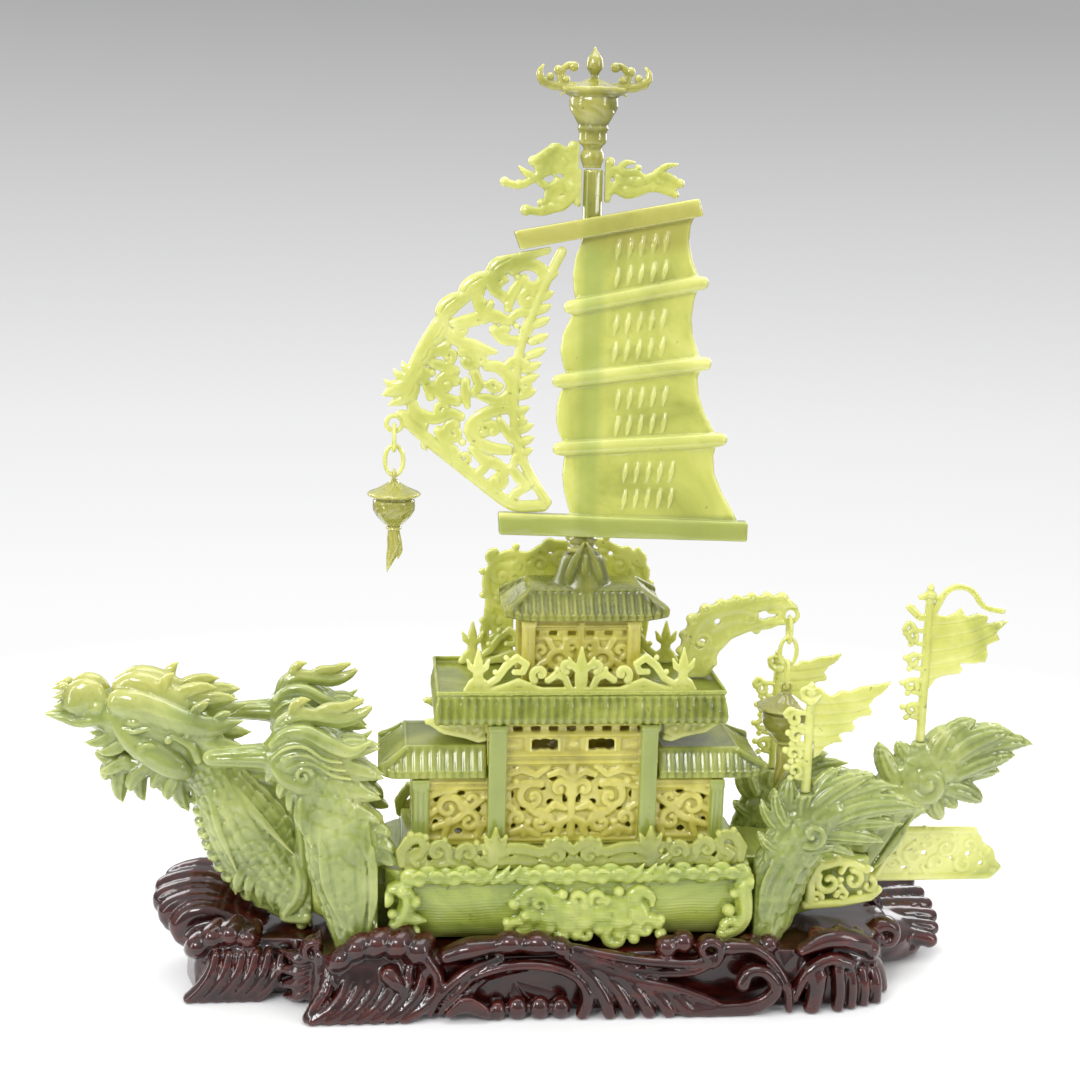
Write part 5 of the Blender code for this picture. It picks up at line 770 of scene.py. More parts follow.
# ------------------------------------------------------------ phoenix prow (near side; the far one is its smaller mirror image)
def build_phoenix():
    Y = -61.0
    f = Field((-312, -84, 56.5), (-128, -40, 306), 1.45)
    neck = [(-172, Y, 52, 15, 15), (-176, Y, 78, 21, 17), (-180, Y, 108, 26, 18.5), (-184, Y, 136, 31, 18.5), (-186, Y, 162, 32, 18.5)]
    f.tube(neck, 10, 0, disp=scales(24, 9, 2.6, vein=0.4, blunt=0.8))
    f.tube([(-182, Y, 150, 34, 17.5), (-190, Y, 180, 31, 18), (-198, Y, 205, 29, 18), (-208, Y, 228, 27, 18), (-214, Y, 240, 26, 18)], 10, 1.0,
           disp=scales(20, 8, 2.4, vein=0.3, blunt=0.8))
    # head, brow sweep and cheek
    f.ball((-222, Y, 247), (39, 19, 31), 2)
    f.tube([(-194, Y, 236, 22, 16), (-214, Y, 246, 28, 18), (-236, Y, 246, 25, 18)], 8, 2)
    f.tube([(-246, Y, 246, 15, 13), (-264, Y, 247, 12.5, 11.5), (-284, Y, 247, 11, 10), (-302, Y, 246.5, 9, 8.6), (-307, Y, 246.5, 7, 6.5)], 12, 0.6,
           disp=strands(10, 1.3, sharp=8))
    for s in (-1, 1):
        y = Y + s * 14
        f.tube([(-250, y - s * 4, 262, 4, 5), (-236, y - s * 6, 272, 7, 7), (-218, y - s * 4, 273, 8, 7), (-200, y, 265, 8, 7), (-184, y, 257, 7, 6), (-172, y, 257, 5, 5),
                (-158, y, 267, 0.8, 1.6)], 18, 2.0, disp=strands(4, 0.8, sharp=8))                      # brow that flies out behind
        for dz, dx in ((0, 0), (-8, 3), (-16, 8)):              # fine waves that sweep back over the head
            f.tube([(-250 + dx, y + s * 1.5, 250 + dz * .8, 1.0, 1.6), (-238 + dx, y + s * 4, 260 + dz, 1.7, 2), (-220 + dx, y + s * 5, 262 + dz, 1.9, 2),
                    (-202 + dx, y + s * 4, 250 + dz, 1.9, 2), (-186 + dx, y + s * 2, 246 + dz, 1.4, 2)], 18, 0.5)
        f.ball((-238, y + s * 3.5, 249), (3.6, 2.4, 2.8), 0.5)
        f.tube([(-248, y - s * 1, 240, 3, 4), (-238, y, 230, 7, 6), (-224, y + s * 2, 224, 8.5, 6), (-212, y, 222, 7, 5)], 12, 1.6)      # cheek
        f.tube([(x, y + s * 5, z, w, 2.4) for x, z, w in spiral(-221, 234, 8, 2, 20, 400, 2.6, 2.0)], None, 0.3)
        for bx, bz, tx, tz, w in ((-204, 246, -150, 256, 8), (-202, 238, -147, 226, 10), (-204, 228, -158, 212, 8), (-198, 216, -149, 206, 9),
                                  (-200, 252, -162, 262, 9), (-192, 200, -150, 182, 9)):
            flame(f, (bx, Y + s * 8, bz), (tx, Y + s * 6, tz), w, 7, 0.05, m_=6)
        # collar of pointed feathers
        for bx, bz, tx, tz, w in ((-222, 208, -222, 176, 7), (-212, 202, -214, 162, 8), (-200, 198, -205, 156, 8), (-188, 194, -192, 150, 8),
                                  (-176, 188, -176, 148, 8), (-166, 182, -160, 146, 7.5)):
            flame(f, (bx, Y + s * 12, bz), (tx, Y + s * 17, tz), w, 4.5, -0.05, m_=5, amp=0.9)
        # long plumes over the breast
        for j in range(6):
            x0 = -204 + 11 * j
            f.tube([(x0, Y + s * 15, 168 - 2 * j, 4.5, 4), (x0 + 4, Y + s * 17.4, 128 - 2 * j, 6, 4), (-186 + 6 * j, Y + s * 15.5, 84 - 3 * j, 0.9, 2)], 12, 0.7,
                   disp=strands(4, 0.7))
    # crest: two plumes that lean back
    f.tube([(-246, Y, 266, 6, 8), (-240, Y, 279, 8, 8), (-224, Y, 286, 9, 7), (-204, Y, 284, 8, 7), (-186, Y, 282, 8, 6.5), (-170, Y, 287, 6, 5.5),
            (-161, Y, 293, 3, 4)], 18, 0.8, disp=strands(6, 0.9))
    flame(f, (-232, Y, 284), (-214, Y, 302), 6, 5, 0.25, m_=5)
    f.tube([(-214, Y, 286, 4, 5), (-200, Y, 293, 6, 5), (-184, Y, 294, 6, 5), (-168, Y, 301, 2.5, 3)], 10, 0.8, disp=strands(5, 0.8))
    flame(f, (-200, Y, 286), (-176, Y, 304), 5, 4, -0.1, m_=5)
    # spurs down the back, and the leaf that clasps the hull
    for bx, bz, tx, tz, w in ((-176, 190, -147, 181, 8), (-168, 178, -140, 166, 8), (-162, 164, -136, 149, 8), (-158, 150, -131, 127, 9),
                              (-154, 134, -134, 112, 8), (-196, 202, -160, 201, 8)):
        flame(f, (bx, Y, bz), (tx, Y, tz), w, 8, 0.12, m_=6)
    f.tube([(-176, Y, 62, 18, 16), (-164, Y, 78, 18, 16)], 4, 2)
    for bx, bz, tx, tz in ((-232, 230, -244, 205), (-226, 220, -233, 190), (-240, 236, -256, 222)):
        flame(f, (bx, Y, bz), (tx, Y, tz), 7, 7, -0.1, m_=6)
    X, Yg, Z = f.ax[0].reshape(-1, 1, 1), f.ax[1].reshape(1, -1, 1), f.ax[2].reshape(1, 1, -1)
    f.D = np.maximum(f.D, 56.6 - Z).astype(np.float32)
    f.D = np.where(Z < 162, np.maximum(f.D, Yg + 42.2), f.D).astype(np.float32)
    f.field(lambda X, Y_, Z: np.maximum(np.maximum(-151.0 - X, Z - 139.0), -X - 400) + 0 * Y_, (-152, -84, 56), (-126, -40, 142), 3.0, cut=True)
    f.D = np.where((Z < 138.5) & (X > -156), np.maximum(f.D, X + 152.6), f.D).astype(np.float32)
    return f.mesh(0.0)


def far_phoenix(part):
    px, pz, s = -200.0, 225.0, 0.88

    def fn(x, y, z):
        t = np.clip((z - 60) / 150.0, 0, 1)                     # foot stays put, head is smaller and set back
        sc = 1 + (s - 1) * t
        return px + (x - px) * sc - 10 * t, -(-61 + (y + 61) * (1 + (s - 1) * t)), z + ((pz + (z - pz) * s + 9) - z) * t
    return moved(part, fn, flip=True)


# ------------------------------------------------------------ tails at the stern
def build_side_tail():
    Y = -60.0
    f = Field((178, -76, 56.6), (378, -44, 234), 1.35)
    body = [(221, 56, 11), (226, 78, 21), (230, 104, 26), (238, 132, 26), (250, 158, 28), (264, 178, 24), (282, 188, 15)]
    f.tube([(x, Y, z, a, 14) for x, z, a in body], 12, 0, disp=scales(22, 7, 2.2, flip=True, vein=0.3, blunt=0.8))
    for s in (-1, 1):
        y = Y + s * 10
        for j, (x0, z0, x1, z1, x2, z2) in enumerate(((214, 84, 219, 120, 236, 160), (224, 80, 230, 118, 248, 158), (236, 84, 242, 116, 258, 150),
                                                      (222, 64, 226, 92, 234, 118))):
            f.tube([(x0, y, z0, 2, 3), (x1, y + s * 3, z1, 5.5, 4), (x2, y, z2, 1, 2)], 12, 0.7, disp=strands(4, 0.8))
        f.tube([(x, y + s * 4, z, w, 4) for x, z, w in spiral(262, 168, 13, 3, -120, 250, 4.6, 3)], None, 0.5)
    flames = [((238, 168), (213, 200), 8, 0.1), ((236, 178), (226, 210), 8, 0.08), ((240, 184), (240, 222), 10, 0.05), ((252, 188), (262, 214), 10, 0.1),
              ((262, 186), (290, 232), 11, 0.10), ((258, 186), (322, 224), 13, 0.10), ((266, 182), (348, 211), 12, 0.10), ((272, 176), (376, 188), 13, 0.12),
              ((272, 170), (356, 172), 10, 0.05), ((268, 166), (337, 155), 10, 0.04), ((262, 158), (309, 140), 9, 0.06), ((258, 148), (292, 152), 8, 0.06),
              ((254, 140), (268, 128), 7, -0.1), ((236, 150), (212, 166), 8, 0.12), ((228, 126), (204, 138), 7, 0.12)]
    for i, (b_, t, w, li) in enumerate(flames):
        for s in ((-1, 1) if i % 2 else (0,)):
            flame(f, (b_[0], Y + s * 5, b_[1]), (t[0], Y + s * 3, t[1]), w, 8, li, m_=8, amp=1.5, k=0.6)
    f.lathe(256, Y, [(178, 7.6), (196, 7.4), (202, 8.2), (205.6, 7.4)], 1.0)
    # trimmed flat on the ground and against the hull's foot, with room cut above the flag socket
    X, Yg, Z = f.ax[0].reshape(-1, 1, 1), f.ax[1].reshape(1, -1, 1), f.ax[2].reshape(1, 1, -1)
    f.D = np.maximum(f.D, 56.6 - Z).astype(np.float32)
    f.D = np.where((Z < 139) & (X < 212), np.maximum(f.D, 209.6 - X), f.D).astype(np.float32)
    f.field(lambda X, Y_, Z: np.maximum(np.maximum(np.abs(X - 256) - 6.9, 206.0 - Z), -BIG) + 0 * Y_, (247, -80, 203), (265, -40, 236), 0, cut=True)
    return f.mesh(0.0)


def far_tail(part):
    return moved(part, lambda x, y, z: (226 + (x - 226) * 0.88, -(-60 + (y + 60) * 0.9), 57 + (z - 57) * 0.88), flip=True)


def build_centre_tail():
    f = Field((298, -24, 98), (506, 24, 262), 1.45)
    f.tube([(312, 0, 96, 14, 15), (325, 0, 112, 17, 16), (338, 0, 134, 19, 16), (354, 0, 160, 23, 17), (374, 0, 186, 30, 18), (396, 0, 204, 30, 17),
            (420, 0, 212, 21, 13)], 12, 0, disp=scales(20, 6, 2.2, flip=True, vein=0.3, blunt=0.8))
    for s in (-1, 1):
        f.tube([(x, s * 16, z, w, 5) for x, z, w in spiral(391, 196, 17, 4, -150, 270, 6.4, 4.4, 26)], None, 0.6)
        f.ball((391, s * 17, 196), (8, 6, 8), 0.5)
        for x0, z0, x1, z1, x2, z2 in ((334, 106, 350, 138, 372, 172), (322, 112, 336, 142, 356, 178), (344, 108, 362, 134, 380, 164)):
            f.tube([(x0, s * 12, z0, 2, 3), (x1, s * 15, z1, 5.5, 4), (x2, s * 15, z2, 1, 2)], 12, 0.7, disp=strands(4, 0.8))
    flames = [((356, 176), (333, 207), 9, 0.1), ((366, 192), (344, 236), 11, 0.05), ((378, 206), (362, 236), 11, -0.05), ((398, 216), (418, 250), 13, 0.1),
              ((406, 220), (443, 258), 15, 0.10), ((414, 218), (480, 246), 15, 0.10), ((420, 210), (504.5, 231.5), 15, 0.14), ((424, 204), (486, 222), 11, 0.05),
              ((418, 198), (472, 203), 12, 0.08), ((414, 190), (454, 171), 12, 0.10), ((404, 182), (430, 165), 9, 0.05), ((400, 178), (413, 155), 10, -0.05),
              ((392, 176), (394, 160), 8, 0)]
    for i, (b_, t, w, li) in enumerate(flames):
        for s in ((-1, 1) if i % 2 else (0,)):
            flame(f, (b_[0], s * 6, b_[1]), (t[0], s * 3, t[1]), w, 9, li, m_=9, amp=1.6, k=0.6)
    f.lathe(386, 0, [(210, 8.2), (226, 7.4), (232, 8.4), (235.6, 7.6)], 1.0)
    f.field(lambda X, Y_, Z: np.maximum(np.maximum(np.abs(X - 386) - 7.2, 236.0 - Z), -BIG) + 0 * Y_, (376, -30, 233), (396, 30, 264), 0, cut=True)
    X, Yg, Z = f.ax[0].reshape(-1, 1, 1), f.ax[1].reshape(1, -1, 1), f.ax[2].reshape(1, 1, -1)
    f.D = np.maximum(f.D, 99.8 - Z).astype(np.float32)
    f.D = np.where((Z < 124.5) & (X < 336), np.maximum(f.D, 335.2 - X), f.D).astype(np.float32)
    return f.mesh(0.0)


# ------------------------------------------------------------ flags
def build_flag(x, z0, z1, y, span, drop, poly, ribbon=True, fly=1.0):
    """A pole with a pointed finial, a feather-cut pennant, and pierced clouds on its fore side."""
    f = Field((x - 36, y - 7, z0 - 1), (x + span + 10, y + 7, z1 + 2), 1.0)
    H = z1 - z0
    top = z1 - 0.13 * H
    f.lathe(x, y, [(z0, 5.0), (z0 + 2, 5.0), (z0 + 8, 4.6), (top + 1, 4.0), (top + 2, 5.0), (top + 5, 5.0), (top + 6, 3.4)], 0.4)
    f.lathe(x, y, [(top + 5, 3.4), (top + 0.30 * (z1 - top), 5.4), (top + 0.50 * (z1 - top), 5.6), (top + 0.62 * (z1 - top), 3.0),
                   (top + 0.74 * (z1 - top), 3.9), (top + 0.86 * (z1 - top), 2.0), (z1, 0.4)], 0.3)
    # pennant: a sheet 4 mm thick, veined, cut into ragged barbs along its edges
    def sheet(X, Y_, Z):
        D2 = poly2(X[:, :, 0], Z[0, 0, :][None, :], poly)[:, None, :]
        u = (X - x) / span
        wave = 1.8 * np.sin(5.2 * u + 0.02 * (Z - z0)) * u
        rib = np.zeros(D2.shape, np.float32)
        for i in range(6):                                   # veins fanning from the pole
            a0, a1 = top - 8 - i * drop / 6.2, top + 8 * fly - i * drop / 9
            zz = a0 + (a1 - a0) * u - 9 * np.sin(math.pi * u) * (0.4 + 0.12 * i)
            rib = rib + np.exp(-((Z - zz) / 1.15) ** 2)
        th = 2.3 - 0.85 * np.minimum(rib, 1) + 0.25 * np.sin(u * 26)
        return np.maximum(D2, np.abs(Y_ - y - wave) - th)
    f.field(sheet, (x, y - 7, top - drop - 8), (x + span + 9, y + 7, z1 + 2), 0.8)
    # pierced cloud scrolls down the pole's fore side
    for k in range(4):
        zc = z0 + H * (0.20 + 0.155 * k)
        rr = 7.4 - 0.4 * abs(k - 1.5)
        f.tube([(px, y, pz, w, 3.4) for px, pz, w in spiral(x - 12 - 2 * (k % 2), zc, rr, 2.4, -70 + 50 * k, 250 + 50 * k, 2.9, 2.5)], None, 0.5)
        f.tube([(x - 10, y, zc - 7, 2.6, 3), (x - 2, y, zc - 9, 2.6, 3)], 2, 0.6)
        f.tube([(x - 10, y, zc + 6, 2.4, 3), (x - 2, y, zc + 5, 2.4, 3)], 2, 0.6)
        f.ball((x - 20 - 2 * (k % 2), y, zc + 3), (3.4, 3.2, 3.4), 0.5)
        f.ball((x - 16, y, zc - 8), (3.2, 3.0, 3.2), 0.5)
    f.tube([(x - 12, y, z0 + 0.70 * H, 3, 3), (x - 19, y, z0 + 0.75 * H, 2.6, 3), (x - 24, y, z0 + 0.71 * H, 2.6, 2.6)], 8, 0.6)
    if ribbon:                                               # a ribbon tied under the finial, streaming aft
        R = [(x - 20, 374), (x - 7, 363), (x + 5, 370), (x + 10, 381), (x + 16, 391), (x + 28, 395.5), (x + 42, 390), (x + 52, 377), (x + 62, 372), (x + 74, 370)]
        f.tube([(a, y - 1.5 + 1.5 * math.sin(i), b_, 4.2 - 0.12 * i, 2.4) for i, (a, b_) in enumerate(R)], 30, 0.4, disp=strands(4, 0.5))
        f.tube([(x - 9, y, top + 6, 3.2, 3.4), (x, y, top + 9, 3.0, 3.6), (x + 6, y, top + 6, 2.6, 3)], 8, 0.5)
    else:
        f.tube([(x - 7, y, top - 2, 3.2, 3.2), (x, y - 4, top - 5, 3.6, 3), (x + 8, y, top, 3.2, 3)], 8, 0.5)
        f.tube([(x - 7, y, top - 2, 3.0, 3.2), (x - 9, y, top + 5, 2.4, 2.6), (x - 4, y, top + 8, 2, 2.4)], 8, 0.5)
    return f.mesh(0.0)


# ------------------------------------------------------------ rudder and stern scrolls
def build_rudder():
    f = Field((334, -6, 85), (480, 6, 148), 1.0)
    f.strokes([bar(338, 92.5, 466, 92.5, 4.6), bar(372, 142, 445, 141.5, 4.0), bar(350, 96, 374, 142, 3.6)], 0, 4.4, 0.3, taper=False)
    f.strokes([bar(352, 99.5, 462, 99.5, 1.8), bar(378, 134.5, 438, 134, 1.8)], 0, 2.6, 0.3)
    web(f, [(352, 94), (372, 141), (444, 141), (454, 128), (466, 115), (470, 94)], 0, 2.7,
        [(366, 118, 2.6, 3.4), (398, 118, 3, 3), (378, 102, 3, 2.4), (410, 134, 3, 2), (428, 113, 2.6, 3.4), (444, 116, 2.6, 3), (400, 103, 2.4, 2), (432, 99, 3, 1.8),
         (386, 132, 2.4, 2), (458, 106, 2.4, 2.6)])
    L = [spiral(388, 116, 12, 3, 100, 440, 4.0, 3.0), spiral(412, 108, 9, 2, 200, -130, 3.6, 2.6), spiral(420, 124, 11, 3, 60, -280, 4, 3),
         spiral(440, 106, 9, 2, 150, 470, 3.8, 2.8), spiral(444, 126, 8, 2, -40, 250, 3.6, 2.6), spiral(366, 108, 8, 2, 0, 300, 3.4, 2.6),
         spiral(402, 130, 7, 2, 200, 480, 3.2, 2.4), spiral(458, 118, 7, 2, 90, -200, 3.4, 2.4),
         bar(360, 116, 372, 128, 3.0), bar(396, 104, 402, 96, 3.0), bar(430, 134, 426, 142, 3), bar(404, 138, 398, 144, 3), bar(384, 100, 376, 94, 3),
         bar(452, 98, 446, 94, 3), [(445, 141, 4.4), (453, 132, 5.4), (456, 124, 4.6), (466, 117, 6.2), (470, 107, 5), (476, 101, 4.6), (468, 94, 5)]]
    f.strokes(L, 0, 4.2, 0.5, disp=strands(4, 0.5))
    for x, z, r in ((471, 99, 5.5), (464, 119, 5.5), (448, 140, 5), (412, 118, 3.4), (430, 114, 3.4), (376, 120, 3.2), (396, 122, 3)):
        f.ball((x, 0, z), (r, min(r, 5.2), r), 0.4)
    X = f.ax[0].reshape(-1, 1, 1)
    f.D = np.maximum(f.D, 335.4 - X).astype(np.float32)
    return f.mesh(0.0)


def build_stern_scroll():
    Y = -46.8
    f = Field((244, -53, 79), (342, -41.6, 138), 1.0)
    L = [[(266, 84, 4.6), (300, 86, 4.4), (330, 92, 4.8), (338, 99, 4.4)], [(270, 86, 5), (270, 108, 5), (277, 124, 5), (296, 129, 4.6), (312, 127, 4.4), (324, 120, 4.6)],
         spiral(288, 108, 12, 3, 150, 480, 4.2, 3.0), spiral(312, 110, 10, 2.6, 90, -230, 4.0, 2.8), spiral(328, 104, 7, 2, 60, -200, 3.6, 2.6),
         spiral(276, 92, 6, 2, 0, 280, 3.2, 2.6), spiral(302, 94, 6, 2, 180, -120, 3.2, 2.4), bar(300, 104, 306, 96, 3), bar(300, 118, 304, 126, 3)]
    f.strokes(L, Y, 4.6, 0.5, disp=strands(4, 0.5))
    for x, z, r in ((334, 96, 5), (326, 121, 4.6), (296, 131, 4.4), (279, 127, 4.4), (300, 110, 3.4), (320, 96, 3)):
        f.ball((x, Y, z), (r, min(r, 4.8), r), 0.4)
    Yg = f.ax[1].reshape(1, -1, 1)
    f.D = np.maximum(f.D, Yg + 42.2).astype(np.float32)
    return f.mesh(0.0)


# ------------------------------------------------------------ cabin walls with their openwork
C_Z0, C_TOP = 150.0, 274.0


def build_cabin_side():
    yo, yi = -44.0, -37.4
    yc = -40.7
    f = Field((-124, -59, C_Z0), (183, -36.6, C_TOP), 1.3)
    X, Y, Z = f.ax[0].reshape(-1, 1, 1), f.ax[1].reshape(1, -1, 1), f.ax[2].reshape(1, 1, -1)

    def slab(x0, x1, z0, z1, y0=yo, y1=yi, r=0.6):
        f.box((x0, y0, z0), (x1, y1, z1), r)

    # frames: sill, head, string courses
    slab(-52, 116, C_Z0, 161)
    slab(-52, 116, 229, C_TOP)
    slab(-120, -48, C_Z0, 160)
    slab(112, 179, C_Z0, 160)
    slab(-120, -48, 205.5, 218)
    slab(112, 179, 204, 216)
    slab(-34, -26, C_Z0, 232)
    slab(90, 98, C_Z0, 232)
    for z, d in ((260, 1.6), (240, 1.6), (233, 2.2), (270.5, 1.4), (155, 1.6)):                # raised mouldings
        f.tube([(-50, yo, z, d, d), (114, yo, z, d, d)], None, 0.3)
    for x0, x1 in ((-119, -50), (114, 177)):
        for z, d in ((157, 1.4), (208, 1.5), (213.5, 1.5)):
            f.tube([(x0, yo, z, d, d), (x1, yo, z, d, d)], None, 0.3)
    # little square windows and two cloud-shaped ones
    for i in range(9):
        x = -38 + 17.0 * i
        f.box((x - 4.5, yo - 3, 263.3), (x + 4.5, yi + 3, 268.6), 0.8, 0.2, cut=True)
    for cx in (5, 59):
        for dx, rx in ((-8, 6.2), (0, 7.0), (8, 6.2)):
            f.ball((cx + dx, yc, 250 + 0.8 * (dx == 0)), (rx, 14, 5.6), 0.6, cut=True)
        for dx in (-13.5, 13.5):
            f.tube([(cx + dx, yo - 0.6, 245, 1.4, 1.4), (cx + dx, yo - 0.6, 256, 1.4, 1.4)], None, 0.4)
    for x0, x1 in ((-46, -14), (24, 40), (78, 110)):                                            # sunk panels
        f.box((x0, yo - 2, 243.5), (x1, yo + 1.5, 256.5), 0.8, 0.3, cut=True)
        f.ball(((x0 + x1) / 2, yo + 1.0, 250), (0.26 * (x1 - x0), 1.8, 3.4), 0.4)
    # solid panels pierced by a few small holes, foliage in relief on them, mirrored about the middle
    cx = 32.0
    holes = [(-24, 222, 4, 2.6), (-6, 222, 5, 3), (14, 216, 4, 3), (26, 196, 3, 5), (-26, 200, 2.4, 4), (12, 192, 4, 3.4), (-14, 186, 3.4, 2.6), (-24, 168, 3, 3),
             (16, 162, 4, 2.6), (27, 168, 2.6, 3.6), (4, 206, 3, 2.2)]
    web(f, [(-34, 156), (98, 156), (98, 233), (-34, 233)], -40.0, 2.5, holes + [(2 * cx - a, b, c, d) for a, b, c, d in holes])
    wing = [(-96, 196, 4, 3.4), (-74, 202, 4, 2.6), (-58, 186, 3, 4), (-98, 172, 3, 4), (-76, 164, 4, 3), (-70, 184, 2.6, 2.6)]
    web(f, [(-106, 156), (-46, 156), (-46, 208), (-106, 208)], -40.0, 2.5, wing)
    web(f, [(109, 156), (169, 156), (169, 208), (109, 208)], -40.0, 2.5, [(63 - a, b, c, d) for a, b, c, d in wing])
    half = [spiral(-6, 198, 15, 3.4, 60, 460, 5.0, 3.0), spiral(3, 172, 12, 3, 120, -240, 4.8, 3.0), bar(-30, 208, -8, 214, 4.0, 3.4),
            bar(-8, 186, 20, 168, 4.2, 3.4), spiral(21, 206, 10, 2.6, -30, 300, 4.4, 2.8), bar(cx, 160, cx, 230, 4.4),
            spiral(-20, 176, 8, 2.4, 200, -120, 4.0, 2.6), [(-26, 162, 4), (-14, 166, 5), (0, 160, 4)], [(8, 184, 3.6), (16, 190, 5), (26, 186, 3)],
            [(-28, 222, 4), (-16, 226, 5), (-2, 220, 4), (8, 228, 4)], [(10, 220, 3.4), (20, 224, 4.4), (32, 216, 4)], [(-14, 160, 4), (-10, 172, 4)],
            [(18, 160, 4), (22, 172, 5), (32, 178, 4)], [(-30, 190, 4), (-24, 186, 4)]]
    for line in (half, mirrored(half, cx)):
        f.strokes(line, yc - 1.6, 3.9, 0.5, disp=strands(4, 0.75))
    for dx, z, r in ((-6, 198, 3.6), (3, 173, 3.2), (21, 206, 3), (-20, 176, 2.8), (-22, 214, 3.4), (14, 188, 3.2)):
        for xx in (dx, 2 * cx - dx):
            f.ball((xx, yc - 2, z), (r + 0.5, r + 1, r + 0.5), 0.4)
    # wing walls
    fw = [spiral(-86, 188, 13, 3, 0, 380, 4.6, 2.8), spiral(-66, 174, 10, 2.6, 90, -260, 4.2, 2.8), [(-100, 168, 4), (-78, 176, 4.4), (-52, 198, 3.6)],
          bar(-90, 158, -86, 176, 4), spiral(-64, 196, 8, 2.4, 200, 520, 3.8, 2.6), [(-104, 200, 4), (-94, 204, 4), (-80, 206, 4)],
          bar(-104, 182, -98, 186, 4), [(-58, 160, 4), (-54, 170, 5), (-48, 176, 4)], [(-46, 196, 4), (-38, 202, 5), (-34, 210, 3)], [(-46, 176, 4), (-38, 170, 5), (-34, 162, 3)]]
    f.strokes(fw, yc - 1.6, 3.9, 0.5, disp=strands(4, 0.7))
    f.strokes(mirrored(fw, 31.5), yc - 1.6, 3.9, 0.5, disp=strands(4, 0.7))
    slab(-121, -104, C_Z0, 218, -52, yi)
    slab(165, 179, C_Z0, 216, -52, yi)
    # columns: chamfered posts with base and cap
    for x0, x1, zt, y in ((-50, -31, C_TOP, -58), (95, 113, C_TOP, -58), (-121, -104, 218.2, -52), (165, 179, 216.2, -52)):
        xm, w = (x0 + x1) / 2, (x1 - x0) / 2
        f.box((x0 + 0.8, y + 0.8, C_Z0 + 2), (x1 - 0.8, yi, zt - 2), 1.6)
        f.box((x0, y, C_Z0), (x1, yi, C_Z0 + 9), 1.2)
        f.box((x0, y, zt - 7), (x1, yi, zt), 1.2)
        for e in (-1, 1):                                   # flutes and chamfers on the face
            f.tube([(xm + e * w, y, C_Z0 + 12, 2.2, 2.2), (xm + e * w, y, zt - 10, 2.2, 2.2)], None, 0.4, cut=True)
        f.tube([(xm - w * 0.30, y + 0.2, C_Z0 + 14, 1.0, 1.0), (xm - w * 0.30, y + 0.2, zt - 12, 1.0, 1.0)], None, 0.3, cut=True)
        f.tube([(xm + w * 0.34, y + 0.2, C_Z0 + 14, 1.0, 1.0), (xm + w * 0.34, y + 0.2, zt - 12, 1.0, 1.0)], None, 0.3, cut=True)
    # under the wing roofs nothing rises
    for x0, x1, zt in ((-130, -50.0, 218.4), (114.2, 190, 216.4)):
        f.box((x0, -70, zt), (x1, -30, 262.0), 0.1, 0, cut=True)
    f.D = np.maximum(f.D, C_Z0 + 0.1 - Z).astype(np.float32)
    f.D = np.maximum(f.D, Z - C_TOP).astype(np.float32)
    f.D = np.maximum(f.D, Y + 37.2).astype(np.float32)
    return f.mesh(0.012)


def build_cabin_end(x, zt):
    e = 36.1
    f = Field((x, -e, C_Z0), (x + 6, e, zt), 1.3)
    mid = x + 3
    for y0, y1, z0, z1 in ((-e, e, C_Z0, 160), (-e, e, zt - 11, zt), (-e, -e + 9, C_Z0, zt), (e - 9, e, C_Z0, zt)):
        f.box((x + 0.2, y0, z0), (x + 5.8, y1, z1), 0.8)
    for s in (-1, 1):
        for cy, cz, r, a0, a1 in ((11, 184, 12, 150, -200), (18, 168, 8, 40, 330), (8, 200, 6, 0, 300)):
            pts = spiral(cy, cz, r, 2.8, a0, a1, 4.2, 2.8)
            f.tube([(mid, s * y_, z_, w, w) for y_, z_, w in pts], None, 0.5)
        f.tube([(mid, s * 20, 184, 3.6, 3.6), (mid, s * 30, 186, 3.6, 3.6)], None, 0.5)
        f.tube([(mid, s * 16, 172, 3, 3), (mid, s * 30, 166, 3, 3)], None, 0.5)
    f.tube([(mid, 0, 156, 3.6, 3.6), (mid, 0, zt - 6, 3.6, 3.6)], None, 0.5)
    X, Z = f.ax[0].reshape(-1, 1, 1), f.ax[2].reshape(1, 1, -1)
    f.D = np.maximum(np.maximum(f.D, x + 0.15 - X), X - x - 5.85).astype(np.float32)
    f.D = np.maximum(np.maximum(f.D, C_Z0 + 0.1 - Z), Z - zt).astype(np.float32)
    return f.mesh(0.012)


